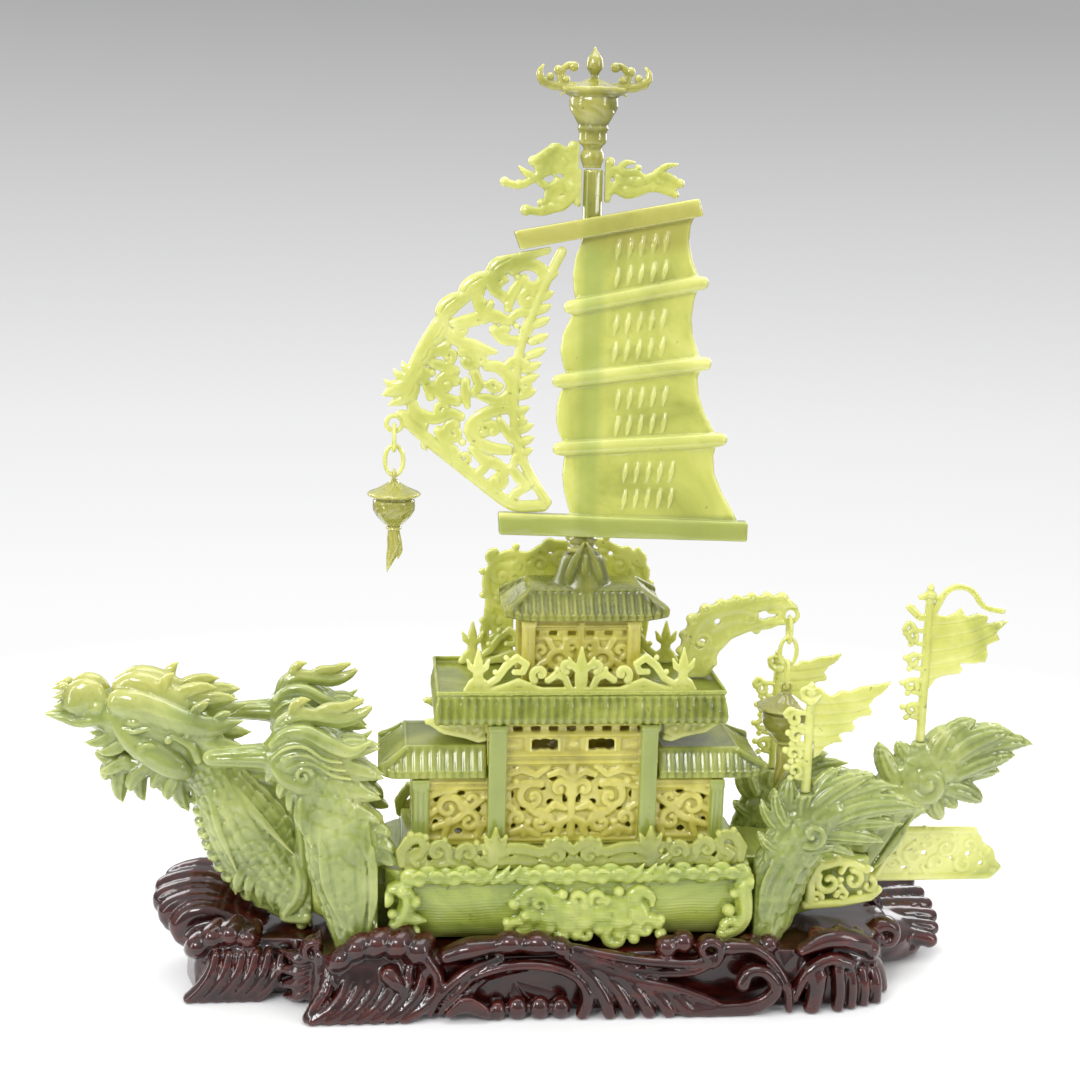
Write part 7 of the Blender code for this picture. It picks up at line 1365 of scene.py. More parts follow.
# ------------------------------------------------------------ jib
def build_jib():
    y = -18.0
    f = Field((-153, -24.6, 468), (26, -12.9, 722), 1.0)
    outer = [(-3, 714), (-18, 709), (-39, 696), (-59, 683), (-78, 667), (-94, 652), (-106, 636), (-115, 620), (-121, 607), (-127, 596), (-130, 580)]
    inner = [(12, 712), (5, 698), (-6, 675), (-15, 652), (-23, 630), (-27, 604), (-29, 579), (-28, 558), (-26, 540), (-18, 516), (-6, 495), (4, 480)]
    foot = [(-132, 560), (-109, 539), (-83, 518), (-60, 500), (-38, 483), (-22, 476), (0, 477)]
    f.tube([(x, y, z, 5.6, 4.4) for x, z in outer], 36, 0.4)
    f.tube([(x, y, z, 4.6, 4.4) for x, z in inner], 36, 0.5)
    f.tube([(x, y, z, 6.0, 4.6) for x, z in foot], 26, 0.5)
    oc = curve(outer, 9)
    for i in range(8):                                     # long overlapping shell lobes outside the luff
        p, q = oc[i], oc[i + 1]
        d = (q - p) / max(float(np.hypot(*(q - p))), 1e-3)
        n_ = np.array([d[1], -d[0]]) if -d[1] + d[0] < 0 else np.array([-d[1], d[0]])
        lobe = [(p - d * 2 + n_ * 1.0, 2.6), (p * 0.65 + q * 0.35 + n_ * 5.0, 6.2), (p * 0.25 + q * 0.75 + n_ * 6.0, 7.2), (q + n_ * 4.0, 6.0), (q + d * 3 + n_ * 1, 3.0)]
        f.tube([(c[0], y, c[1], w, 4.8) for c, w in lobe], 12, 0.5)
        f.tube([(c[0] + n_[0] * 0.5, y - 4.9, c[1] + n_[1] * 0.5, 0.9, 1.1) for c, w in lobe[1:4]], 8, 0.3, cut=True)
    for x, z in ((-1, 648), (-2, 633), (-4, 620), (-8, 607), (-10, 596), (-12, 582), (-18, 566), (-14, 550), (-13, 538), (-14, 527), (6, 690), (2, 672), (0, 660)):
        f.tube([(x - 12, y, z - 3, 4, 3.6), (x - 4, y, z, 4.6, 3.8), (x + 2, y, z + 3, 2.0, 2.6)], 6, 0.6)
    L = [[(-32, 694, 4), (-22, 700, 5), (-10, 698, 5), (-3, 690, 5), (-8, 681, 4.6), (-18, 680, 4.2), (-22, 687, 3.4)],
         spiral(-18, 668, 8, 2.4, 60, 400, 4, 2.8), [(-24, 686, 3.4), (-32, 674, 4.4), (-36, 660, 3)], [(-52, 690, 4), (-50, 678, 4.6), (-40, 670, 4)],
         [(-60, 682, 4), (-64, 668, 4.6), (-58, 656, 5), (-46, 652, 5.4), (-34, 648, 3)], [(-86, 646, 3.4), (-72, 648, 5.4), (-58, 652, 5.4)],
         [(-98, 646, 4), (-90, 636, 4.6), (-80, 629, 5), (-68, 626, 5), (-58, 622, 4.6), (-47, 620, 2)], spiral(-72, 612, 9, 2.6, 120, -200, 4.4, 3),
         [(-104, 609, 4), (-94, 606, 4.4), (-84, 602, 4)], [(-110, 622, 4), (-100, 620, 4.6), (-92, 626, 3.6)], spiral(-92, 590, 9, 2.6, 20, 380, 4.2, 2.8),
         [(-54, 607, 4), (-44, 606, 5), (-34, 598, 5.4), (-31, 585, 5), (-42, 575, 4.6), (-52, 577, 4), (-62, 579, 2.2)], [(-48, 640, 4), (-40, 632, 4.6), (-26, 630, 4)],
         [(-30, 568, 4), (-44, 567, 5), (-60, 560, 5.4), (-69, 549, 5.4), (-64, 538, 5), (-50, 531, 5), (-34, 529, 4)], spiral(-49, 548, 7, 2.2, 200, -120, 4, 2.8),
         [(-74, 592, 3.6), (-74, 580, 4.2), (-72, 570, 2.4)], [(-66, 601, 4), (-62, 590, 4.2), (-66, 582, 3.4)], [(-114, 562, 4), (-102, 558, 5), (-88, 563, 4.6), (-78, 560, 3.4)],
         [(-104, 588, 3.6), (-94, 578, 4.6), (-82, 574, 4)], spiral(-84, 545, 9, 2.6, 90, 440, 4.2, 2.8), [(-98, 546, 4), (-92, 536, 4.6), (-86, 524, 4)],
         [(-66, 530, 3.6), (-56, 520, 4.8), (-44, 516, 4.8), (-36, 510, 4)], spiral(-44, 500, 8, 2.4, 60, -260, 4.2, 2.8), [(-30, 512, 4), (-22, 502, 4.4), (-14, 496, 3.6)],
         [(-30, 540, 4), (-38, 550, 4), (-42, 558, 2.4)], [(-62, 506, 4), (-56, 512, 4), (-50, 520, 3.4)], [(-118, 600, 4), (-110, 590, 4), (-106, 578, 3.4)],
         [(-20, 610, 4), (-30, 612, 4), (-40, 604, 3.6)], [(-14, 656, 3.6), (-26, 656, 4), (-34, 650, 3.4)], [(-30, 478, 4), (-26, 488, 4), (-16, 494, 3.4)]]
    L = [[(x, z, w * 1.32) for x, z, w in line] for line in L]
    for i, (x, z, r) in enumerate(((-60, 664, 8), (-40, 636, 6), (-100, 640, 6), (-112, 600, 6), (-60, 612, 6), (-90, 616, 6), (-48, 590, 6), (-96, 566, 6), (-60, 548, 6),
                                   (-74, 522, 7), (-22, 520, 6), (-20, 590, 5), (-24, 560, 5), (-44, 684, 5), (-20, 640, 5), (-78, 640, 5), (-34, 576, 5), (-86, 528, 5))):
        L.append(spiral(x, z, r, 2.2, 57 * i, 57 * i + 330 * (1 if i % 2 else -1), 3.8, 2.8))
    f.strokes(L, y, 4.0, 0.6, n=14, disp=strands(4, 0.7))
    for x, z, r in ((-37, 664, 3.6), (-18, 668, 3.4), (-66, 601, 4), (-105, 600, 4), (-87, 600, 3.6), (-82, 552, 4), (-92, 590, 3.4), (-84, 645, 3.6), (-49, 548, 3.2),
                    (-44, 500, 3.4), (-72, 612, 3.4), (-28, 688, 3.2), (-58, 636, 3.4), (-98, 632, 3.6), (-56, 590, 3.4), (-76, 536, 3.6), (-112, 548, 3.8), (-28, 644, 3.2)):
        f.ball((x, y, z), (r, 4.2, r), 0.5)
    # small dragon's head at the fore corner
    f.tube([(-116, y, 600, 6, 4.6), (-124, y, 592, 8, 5), (-134, y, 586, 8.5, 5), (-143, y, 582, 5, 4.4), (-150, y, 579, 1, 2)], 12, 0.8)
    f.tube([(-124, y, 578, 6, 4.6), (-134, y, 574, 5, 4.4), (-144, y, 570, 1.2, 2)], 8, 0.8)
    for bx, bz, tx, tz in ((-126, 596, -140, 604), (-120, 600, -132, 611), (-118, 566, -132, 563), (-132, 590, -149, 594)):
        flame(f, (bx, y, bz), (tx, y, tz), 4.4, 4, 0.2, m_=4, amp=0.6)
    f.ball((-132, y - 3.4, 588), (2.6, 2.4, 2.6), 0.3)
    f.tube([(-122, y, 570, 6, 4.4), (-120, y, 560, 6, 4.4), (-112, y, 552, 5, 4.4)], 7, 0.8)
    f.tube([(-108, y, 540, 4, 4), (-112, y, 533, 3, 3), (-109, y, 528, 0.8, 1.6)], 6, 0.6)
    # room for the yard, the boom and the eye
    f.tube([(-88, -18, 709, 10.6, 30), (137, -18, 754, 10.6, 30)], None, 0, cut=True)
    f.tube([(-100, -18, 462.8, 10.6, 30), (193, -18, 454, 10.6, 30)], None, 0, cut=True)
    f.tube([(-139, -30, 553, 8.4, 8.4), (-139, -6, 553, 8.4, 8.4)], None, 0, cut=True)
    f.ring((-139, y, 553), 9.6, 9.6, 2.25, "XZ", 0.3)
    Y = f.ax[1].reshape(1, -1, 1)
    f.D = np.maximum(np.maximum(f.D, Y + 13.1), -22.9 - Y).astype(np.float32)
    return f.mesh(0.0)


# ------------------------------------------------------------ lanterns, links, clouds at the masthead
def build_link(c, rx, rz, wire, plane):
    m_ = rx + 1
    f = Field((c[0] - m_, c[1] - m_, c[2] - rz - 1), (c[0] + m_, c[1] + m_, c[2] + rz + 1), 0.55)
    pts = []
    for i in range(41):
        a = 2 * math.pi * i / 40
        u, v = math.cos(a) * (rx - wire), math.sin(a) * (rz - wire)
        pts.append((c[0] + (u if plane == "XZ" else 0), c[1] + (0 if plane == "XZ" else u), c[2] + v, wire * 0.985, wire * 0.985))
    f.tube(pts, None, 0)
    return f.mesh(0.0)


def build_lantern(cx, cy, zt, brim, ztas, dx, plane):
    r = brim
    f = Field((cx - r - 1, cy - r - 1, ztas - 1), (cx + r + 1, cy + r + 1, zt + 11), 0.95)

    def carved(th, Z):
        k = zt - Z
        cap = np.clip(1 - np.abs(k - 0.26 * r) / (0.26 * r), 0, 1) * 0.9 * (np.abs(np.cos(4 * th + 0.10 * k)) - 0.6)
        brim_ = np.clip(1 - np.abs(k - 0.52 * r) / (0.07 * r), 0, 1) * 0.9 * (np.abs(np.cos(8 * th)) - 0.9)
        cup = np.clip(1 - np.abs(k - 1.16 * r) / (0.42 * r), 0, 1) * 1.1 * (np.abs(np.cos(3 * th + 0.09 * k + 0.8 * np.sin(0.25 * k))) - 0.5)
        return cap + brim_ + cup
    f.lathe(cx, cy, [(zt, 0.14 * r), (zt - 0.10 * r, 0.20 * r), (zt - 0.18 * r, 0.32 * r), (zt - 0.32 * r, 0.55 * r), (zt - 0.44 * r, 0.84 * r), (zt - 0.50 * r, 0.965 * r),
                     (zt - 0.56 * r, 0.98 * r), (zt - 0.61 * r, 0.90 * r), (zt - 0.66 * r, 0.72 * r), (zt - 0.72 * r, 0.70 * r), (zt - 0.75 * r, 0.76 * r),
                     (zt - 0.95 * r, 0.77 * r), (zt - 1.15 * r, 0.73 * r), (zt - 1.36 * r, 0.62 * r), (zt - 1.56 * r, 0.44 * r), (zt - 1.66 * r, 0.34 * r),
                     (zt - 1.70 * r, 0.24 * r), (zt - 1.74 * r, 0.23 * r), (zt - 1.78 * r, 0.30 * r), (zt - 1.83 * r, 0.30 * r), (zt - 1.87 * r, 0.22 * r),
                     (zt - 1.90 * r, 0.18 * r)], 0.4, ripple=carved)
    zb = zt - 1.88 * r
    f.tube([(cx, cy, zb + 2, 0.20 * r, 0.20 * r), (cx + 0.5, cy, zb - 8, 0.26 * r, 0.24 * r), (cx + 1, cy, (zb + ztas) / 2 + 4, 0.27 * r, 0.22 * r),
            (cx + dx * 0.4, cy, ztas + 14, 0.18 * r, 0.16 * r), (cx + dx, cy, ztas, 0.6, 0.6)], 16, 0.5, disp=strands(7, 0.7))
    f.tube([(cx + 2, cy, zb - 6, 2, 2), (cx + 0.24 * r, cy, (zb + ztas) / 2 + 2, 2.4, 2.4), (cx + 0.16 * r, cy, (zb + ztas) / 2 - 8, 0.6, 0.8)], 9, 0.5)
    pts = []
    for i in range(33):
        a = 2 * math.pi * i / 32
        u, v = math.cos(a) * 4.9, math.sin(a) * 4.3
        pts.append((cx + (u if plane == "XZ" else 0), cy + (0 if plane == "XZ" else u), zt + 4.2 + v, 1.66, 1.66))
    f.tube(pts, None, 0.2)
    return f.mesh(0.0)


def build_aft_bracket():
    f = Field((136, -5, 303.6), (262, 5, 392), 1.0)
    L = [[(152, 306, 8), (147, 322, 8), (149, 340, 8), (154, 356, 8.4), (165, 366, 8.4), (180, 371, 8), (196, 374, 8), (212, 376, 8), (228, 379, 7.6), (240, 379, 6.4), (249, 373, 5)],
         [(160, 306, 8), (168, 318, 7), (172, 330, 6), (184, 344, 5), (200, 352, 5), (216, 358, 5), (232, 360, 4.6), (242, 360, 4)],
         spiral(160, 340, 9, 2.6, -40, 280, 4.6, 3), spiral(206, 363, 8, 2.4, 100, -200, 4.2, 2.8), [(170, 352, 4), (184, 360, 5), (196, 362, 4.6)],
         [(222, 366, 1.2), (226, 370, 3), (236, 370, 3)], spiral(166, 318, 7, 2.2, 0, 280, 4, 2.8)]
    web(f, [(144, 305), (139, 325), (141, 345), (150, 362), (163, 374), (180, 380), (200, 384), (222, 386), (240, 384), (249, 375), (243, 360), (228, 353),
            (206, 350), (190, 343), (178, 330), (169, 314), (165, 305)], 0, 3.3, [(158, 341, 6.4, 8), (222, 367, 12, 4.6)])
    f.strokes(L, 0, 4.2, 0.6, n=22, disp=strands(5, 0.6))
    for x, z, r in ((140, 332, 5), (143, 348, 5.5), (150, 364, 6), (163, 374, 6), (178, 379, 6), (193, 383, 6), (208, 385, 6), (223, 387, 5), (238, 386.5, 5), (186, 350, 4), (214, 352, 4),
                    (174, 336, 4)):
        f.ball((x, 0, z - 1.5), (r, 4.2, r * 0.9), 2.2)
    for x, z in ((143, 348), (150, 364), (163, 374), (178, 379), (193, 383), (208, 385)):
        for s in (-1, 1):
            f.tube([(xx, s * 4.6, zz, ww, 1.4) for xx, zz, ww in spiral(x, z - 1, 3.6, 1.2, x * 3, x * 3 + 300, 1.0, 0.9, 12)], None, 0.2, cut=True)
    f.tube([(175, -9, 360, 3.2, 3.2), (175, 9, 360, 3.2, 3.2)], None, 0.5, cut=True)
    f.tube([(221, -9, 366, 4.4, 4.4), (221, 9, 366, 4.4, 4.4)], None, 0.5, cut=True)
    f.tube([(247, -12, 366, 8.2, 8.2), (247, 12, 366, 8.2, 8.2)], None, 0, cut=True)
    f.ring((247, 0, 366), 9.6, 9.6, 2.25, "XZ", 0.3)
    f.tube([(238, 0, 363, 3, 3), (241, 0, 371, 3, 3)], None, 0.4)
    Z = f.ax[2].reshape(1, 1, -1)
    f.D = np.maximum(f.D, 303.9 - Z).astype(np.float32)
    # the eye's bore stays open
    f.tube([(247, -12, 366, 4.9, 4.9), (247, 12, 366, 4.9, 4.9)], None, 0, cut=True)
    return f.mesh(0.0)


def mast_room(f):
    f.lathe(41, 0, [(700, 11.0), (786.5, 11.0)], 0, cut=True)
    f.lathe(39.5, 0, [(786.0, 12.5), (850, 12.5)], 0, cut=True)


def build_cloud_fore():
    f = Field((-46, -5.2, 740), (31, 5.2, 816), 0.9)
    L = [[(27, 802, 5), (15, 800, 5.4), (6, 804, 5), (-3, 799, 4.6), (-12, 793, 4)], [(29, 790, 4.6), (18, 784, 5), (6, 786, 5), (-3, 782, 4.4), (-12, 777, 4), (-26, 770, 4), (-38, 772, 3.6)],
         [(-14, 778, 4), (-22, 782, 3.4), (-27, 787, 1)], [(28, 770, 4.6), (19, 768, 5), (10, 772, 5), (2, 768, 4.6), (0, 760, 4), (8, 757, 3.6), (13, 760, 3)],
         [(26, 765, 4.6), (14, 753, 5), (4, 750, 5), (-6, 747, 4.6), (-18, 748, 4)], bar(27.5, 756, 27.5, 806, 4.2), spiral(12, 792, 7, 2.2, 20, 360, 3.8, 2.6),
         [(6, 786, 4), (0, 792, 4), (-4, 798, 3.6)], [(-2, 770, 4), (-8, 774, 4), (-10, 780, 3.6)], [(12, 757, 3.6), (18, 762, 4), (20, 768, 3.6)]]
    web(f, [(-12, 778), (-14, 792), (-4, 799), (6, 804), (20, 806), (28, 804), (28, 772), (12, 774), (0, 782)], 0, 3.4, [(10, 779, 3.4, 2.2)])
    web(f, [(-8, 748), (14, 751), (28, 762), (28, 772), (10, 774), (0, 768)], 0, 3.4, [(14, 761, 4, 2.4)])
    f.strokes(L, 0, 4.3, 0.6, n=16, disp=strands(4, 0.6))
    for x, z, r in ((-14, 792, 5), (-40, 773, 4.6), (-20, 748, 5.4), (4, 804, 4.6), (-27, 771, 4.4), (22, 806, 5), (12, 792, 3.4), (-6, 755, 4), (8, 775, 4)):
        f.ball((x, 0, z), (r, min(r + 0.4, 4.6), r), 0.5)
    mast_room(f)
    return f.mesh(0.0)


def build_cloud_aft():
    f = Field((50.5, -5.2, 752), (131, 5.2, 804), 0.9)
    L = [[(53, 782, 4.6), (62, 785, 5), (72, 783, 4.6), (80, 784, 4), (88, 779, 1.6)], [(54, 765, 4.6), (62, 769, 5), (72, 764, 4.6), (82, 766, 4.4), (96, 771, 4.4), (108, 768, 4), (117, 765, 3.4)],
         [(60, 770, 4), (68, 776, 4.4), (80, 774, 4.4), (92, 778, 4.4), (101, 783, 4.2), (112, 780, 4), (122, 774, 3)], bar(54, 760, 54, 792, 4.0),
         spiral(66, 777, 7, 2.2, 90, -240, 3.6, 2.6), spiral(94, 776, 6.4, 2, 0, 320, 3.6, 2.4), [(82, 766, 3.6), (84, 772, 3.6), (90, 778, 3.6)],
         [(100, 784, 4), (108, 790, 3.4), (118, 792, 1.4)], [(64, 786, 4), (70, 792, 3.4), (78, 793, 1.4)]]
    web(f, [(53, 762), (53, 790), (66, 786), (80, 786), (92, 781), (101, 785), (114, 782), (121, 775), (116, 765), (96, 770), (80, 765), (66, 769)], 0, 3.4,
        [(58, 777, 2.4, 2.4), (87, 774, 3, 2)])
    f.strokes(L, 0, 4.3, 0.6, n=16, disp=strands(4, 0.6))
    for x, z, r in ((121, 775, 4.6), (117, 765, 4), (66, 777, 3.2), (96, 770, 4), (82, 788, 3.4), (56, 793, 4.4), (104, 775, 3.6)):
        f.ball((x, 0, z), (r, min(r + 0.4, 4.6), r), 0.5)
    mast_room(f)
    return f.mesh(0.0)


def build_top_lantern():
    cx = 39.5
    f = Field((-13, -53, 787), (92, 53, 894.6), 0.95)

    def carved(th, Z):
        cup = np.clip(1 - np.abs(Z - 838) / 14, 0, 1) * 1.3 * (np.abs(np.cos(3 * th + 0.10 * (Z - 838) + 0.7 * np.sin(0.3 * Z))) - 0.5)
        cap = np.clip(1 - np.abs(Z - 862) / 5, 0, 1) * 0.8 * (np.abs(np.cos(4 * th)) - 0.6)
        low = np.clip(1 - np.abs(Z - 796) / 6, 0, 1) * 0.7 * (np.abs(np.cos(5 * th)) - 0.6)
        return cup + cap + low
    f.lathe(cx, 0, [(894.0, 0.5), (891, 1.6), (888, 3.6), (884, 6.6), (879, 7.8), (875, 7.4), (871, 4.6), (868.4, 3.4), (866.6, 4.4), (864.5, 9), (861.5, 15), (859, 22),
                    (857.4, 28.6), (855.2, 29.8), (853, 28), (851, 23.6), (849, 21.4), (846.6, 22.2), (842, 22), (836, 19.8), (830, 16.6), (824.6, 13.2), (822.4, 14.6),
                    (820.4, 13.4), (817, 12.6), (812, 13.0), (808.6, 11.8), (806.6, 9.2), (803.6, 8.0), (801.6, 9.8), (797, 10.8), (792.6, 9.9), (789.6, 8.6), (787.0, 8.7)],
            0.3, ripple=carved)
    for k in (0, 2):
        a = math.radians(90 * k)
        c, s = math.cos(a), math.sin(a)
        arm = [(14, 859.6, 3.0), (24, 858.6, 3.8), (34, 858.2, 4.0), (42, 860.4, 4.0), (48.6, 865, 3.6), (49.6, 871, 2.8), (46.4, 876.4, 1.2)]
        f.tube([(cx + r * c, r * s, z, w, w) for r, z, w in curve(arm, 18)], None, 0.5)
        f.tube([(cx + r * c, r * s, z, w, w) for r, z, w in [(30, 860, 3.2), (31, 868, 3.2), (28, 874, 3.0), (23, 877.6, 2.8), (19, 876.6, 2.6)]], 12, 0.5)
        for r, z, q in ((19, 876, 4.6), (33, 872.6, 4.2), (40, 866.6, 3.8), (26, 864.6, 4.0), (46, 861, 3.6)):
            f.ball((cx + r * c, r * s, z), (q, q, q), 0.5)
        f.tube([(cx + r * c, r * s, z, 1.0, 1.0) for r, z in ((18, 852.6), (27, 852.4), (30, 850.8))], None, 0.3)
    return f.mesh(0.0)


# ------------------------------------------------------------ materials
def jade(name, deep, mid, pale, edge, grain=13.0, sss=0.48, rough=0.16, speck=0.5, fine_lines=False, tints=(), coat=0.75, carved=False):
    """Polished serpentine: clouded greens, a painted highlight glow on convex ridges, painted shade in hollows, and a
    few dark specks.
    """
    m = bpy.data.materials.new(name)
    m.use_nodes = True
    n, l = m.node_tree.nodes, m.node_tree.links
    b = n["Principled BSDF"]
    tc = n.new("ShaderNodeTexCoord")
    co = tc.outputs["Object"]
    warp = n.new("ShaderNodeTexNoise")
    warp.inputs["Scale"].default_value = grain
    warp.inputs["Detail"].default_value = 7.0
    warp.inputs["Roughness"].default_value = 0.58
    warp.inputs["Distortion"].default_value = 0.9
    l.new(co, warp.inputs["Vector"])
    ramp = n.new("ShaderNodeValToRGB")
    e = ramp.color_ramp.elements
    e[0].position, e[0].color = 0.30, (*deep, 1)
    e[1].position, e[1].color = 0.70, (*pale, 1)
    x = ramp.color_ramp.elements.new(0.50)
    x.color = (*mid, 1)
    l.new(warp.outputs["Fac"], ramp.inputs["Fac"])
    # painted highlight: convex ridges (high pointiness) blend towards the pale edge colour, standing in for light
    # glowing through thin stone and catching the ridges
    geo = n.new("ShaderNodeNewGeometry")
    pt = n.new("ShaderNodeMapRange")
    pt.inputs["From Min"].default_value = 0.50
    pt.inputs["From Max"].default_value = 0.60
    pt.inputs["To Max"].default_value = 0.75
    l.new(geo.outputs["Pointiness"], pt.inputs["Value"])
    mx = n.new("ShaderNodeMix"); mx.data_type = "RGBA"
    l.new(pt.outputs["Result"], mx.inputs["Factor"])
    l.new(ramp.outputs["Color"], mx.inputs[6])
    mx.inputs[7].default_value = (*edge, 1)
    # painted shade: hollows and creases (low pointiness) are multiplied darker
    painted_hollow_shade = n.new("ShaderNodeMapRange")
    painted_hollow_shade.inputs["From Min"].default_value = 0.49
    painted_hollow_shade.inputs["From Max"].default_value = 0.40
    painted_hollow_shade.inputs["To Max"].default_value = 0.62
    l.new(geo.outputs["Pointiness"], painted_hollow_shade.inputs["Value"])
    painted_shade_mix = n.new("ShaderNodeMix"); painted_shade_mix.data_type = "RGBA"; painted_shade_mix.blend_type = "MULTIPLY"
    l.new(painted_hollow_shade.outputs["Result"], painted_shade_mix.inputs["Factor"])
    l.new(mx.outputs[2], painted_shade_mix.inputs[6])
    painted_shade_mix.inputs[7].default_value = (0.42, 0.46, 0.28, 1)
    sp = n.new("ShaderNodeTexNoise")
    sp.inputs["Scale"].default_value = 150.0
    sp.inputs["Detail"].default_value = 2.0
    l.new(co, sp.inputs["Vector"])
    sr = n.new("ShaderNodeMapRange")
    sr.inputs["From Min"].default_value = 0.70
    sr.inputs["From Max"].default_value = 0.76
    sr.inputs["To Max"].default_value = speck
    l.new(sp.outputs["Fac"], sr.inputs["Value"])
    s2 = n.new("ShaderNodeMix"); s2.data_type = "RGBA"; s2.blend_type = "MULTIPLY"
    l.new(sr.outputs["Result"], s2.inputs["Factor"])
    l.new(painted_shade_mix.outputs[2], s2.inputs[6])
    s2.inputs[7].default_value = (0.20, 0.20, 0.10, 1)
    last = s2.outputs[2]
    pos = n.new("ShaderNodeSeparateXYZ")
    l.new(co, pos.inputs[0])
    for axis, centre, half, soft, tint, amount in tints:          # bands of another colour across the piece; most are the stone's own colour, the one along the sail's mast line is a painted shadow
        away = n.new("ShaderNodeMath"); away.operation = "SUBTRACT"
        away.inputs[1].default_value = centre
        l.new(pos.outputs[axis], away.inputs[0])
        size = n.new("ShaderNodeMath"); size.operation = "ABSOLUTE"
        l.new(away.outputs[0], size.inputs[0])
        band = n.new("ShaderNodeMapRange")
        band.inputs["From Min"].default_value = half + soft
        band.inputs["From Max"].default_value = half - soft
        band.inputs["To Max"].default_value = amount
        l.new(size.outputs[0], band.inputs["Value"])
        mt = n.new("ShaderNodeMix"); mt.data_type = "RGBA"
        l.new(band.outputs["Result"], mt.inputs["Factor"])
        l.new(last, mt.inputs[6])
        mt.inputs[7].default_value = (*tint, 1)
        last = mt.outputs[2]
    l.new(last, b.inputs["Base Color"])
    rn = n.new("ShaderNodeTexNoise")
    rn.inputs["Scale"].default_value = 60.0
    rn.inputs["Detail"].default_value = 3.0
    l.new(co, rn.inputs["Vector"])
    rr = n.new("ShaderNodeMapRange")
    rr.inputs["To Min"].default_value = rough - 0.05
    rr.inputs["To Max"].default_value = rough + 0.12
    l.new(rn.outputs["Fac"], rr.inputs["Value"])
    l.new(rr.outputs["Result"], b.inputs["Roughness"])
    b.inputs["IOR"].default_value = 1.56
    b.inputs["Subsurface Weight"].default_value = sss
    b.inputs["Subsurface Radius"].default_value = (1.0, 0.95, 0.40)
    b.inputs["Subsurface Scale"].default_value = 0.012
    b.inputs["Coat Weight"].default_value = coat
    b.inputs["Coat Roughness"].default_value = 0.04
    bp = n.new("ShaderNodeBump")
    bp.inputs["Strength"].default_value = 0.10
    bp.inputs["Distance"].default_value = 0.0008
    fine = n.new("ShaderNodeTexNoise")
    fine.inputs["Scale"].default_value = 190.0
    fine.inputs["Detail"].default_value = 3.0
    l.new(co, fine.inputs["Vector"])
    l.new(fine.outputs["Fac"], bp.inputs["Height"])
    normal = bp
    if fine_lines:                                                # close engraved lines that run the length of the hull
        sway = n.new("ShaderNodeTexNoise")
        sway.inputs["Scale"].default_value = 9.0
        l.new(co, sway.inputs["Vector"])
        add = n.new("ShaderNodeMath"); add.operation = "MULTIPLY_ADD"
        add.inputs[1].default_value = 0.016
        l.new(sway.outputs["Fac"], add.inputs[0])
        l.new(pos.outputs[2], add.inputs[2])
        turn = n.new("ShaderNodeMath"); turn.operation = "MULTIPLY"
        turn.inputs[1].default_value = 2 * math.pi / 0.0030
        l.new(add.outputs[0], turn.inputs[0])
        sine = n.new("ShaderNodeMath"); sine.operation = "SINE"
        l.new(turn.outputs[0], sine.inputs[0])
        b2 = n.new("ShaderNodeBump")
        b2.inputs["Strength"].default_value = 0.28
        b2.inputs["Distance"].default_value = 0.0004
        l.new(sine.outputs[0], b2.inputs["Height"])
        l.new(bp.outputs["Normal"], b2.inputs["Normal"])
        normal = b2
    if carved:                                                    # fine flowing cuts of the graver
        cut = n.new("ShaderNodeTexWave")
        cut.bands_direction = "DIAGONAL"
        cut.inputs["Scale"].default_value = 34.0
        cut.inputs["Distortion"].default_value = 7.0
        cut.inputs["Detail"].default_value = 2.0
        cut.inputs["Detail Scale"].default_value = 1.4
        l.new(co, cut.inputs["Vector"])
        b3 = n.new("ShaderNodeBump")
        b3.inputs["Strength"].default_value = 0.5
        b3.inputs["Distance"].default_value = 0.0007
        l.new(cut.outputs["Fac"], b3.inputs["Height"])
        l.new(bp.outputs["Normal"], b3.inputs["Normal"])
        normal = b3
    l.new(normal.outputs["Normal"], b.inputs["Normal"])
    return m


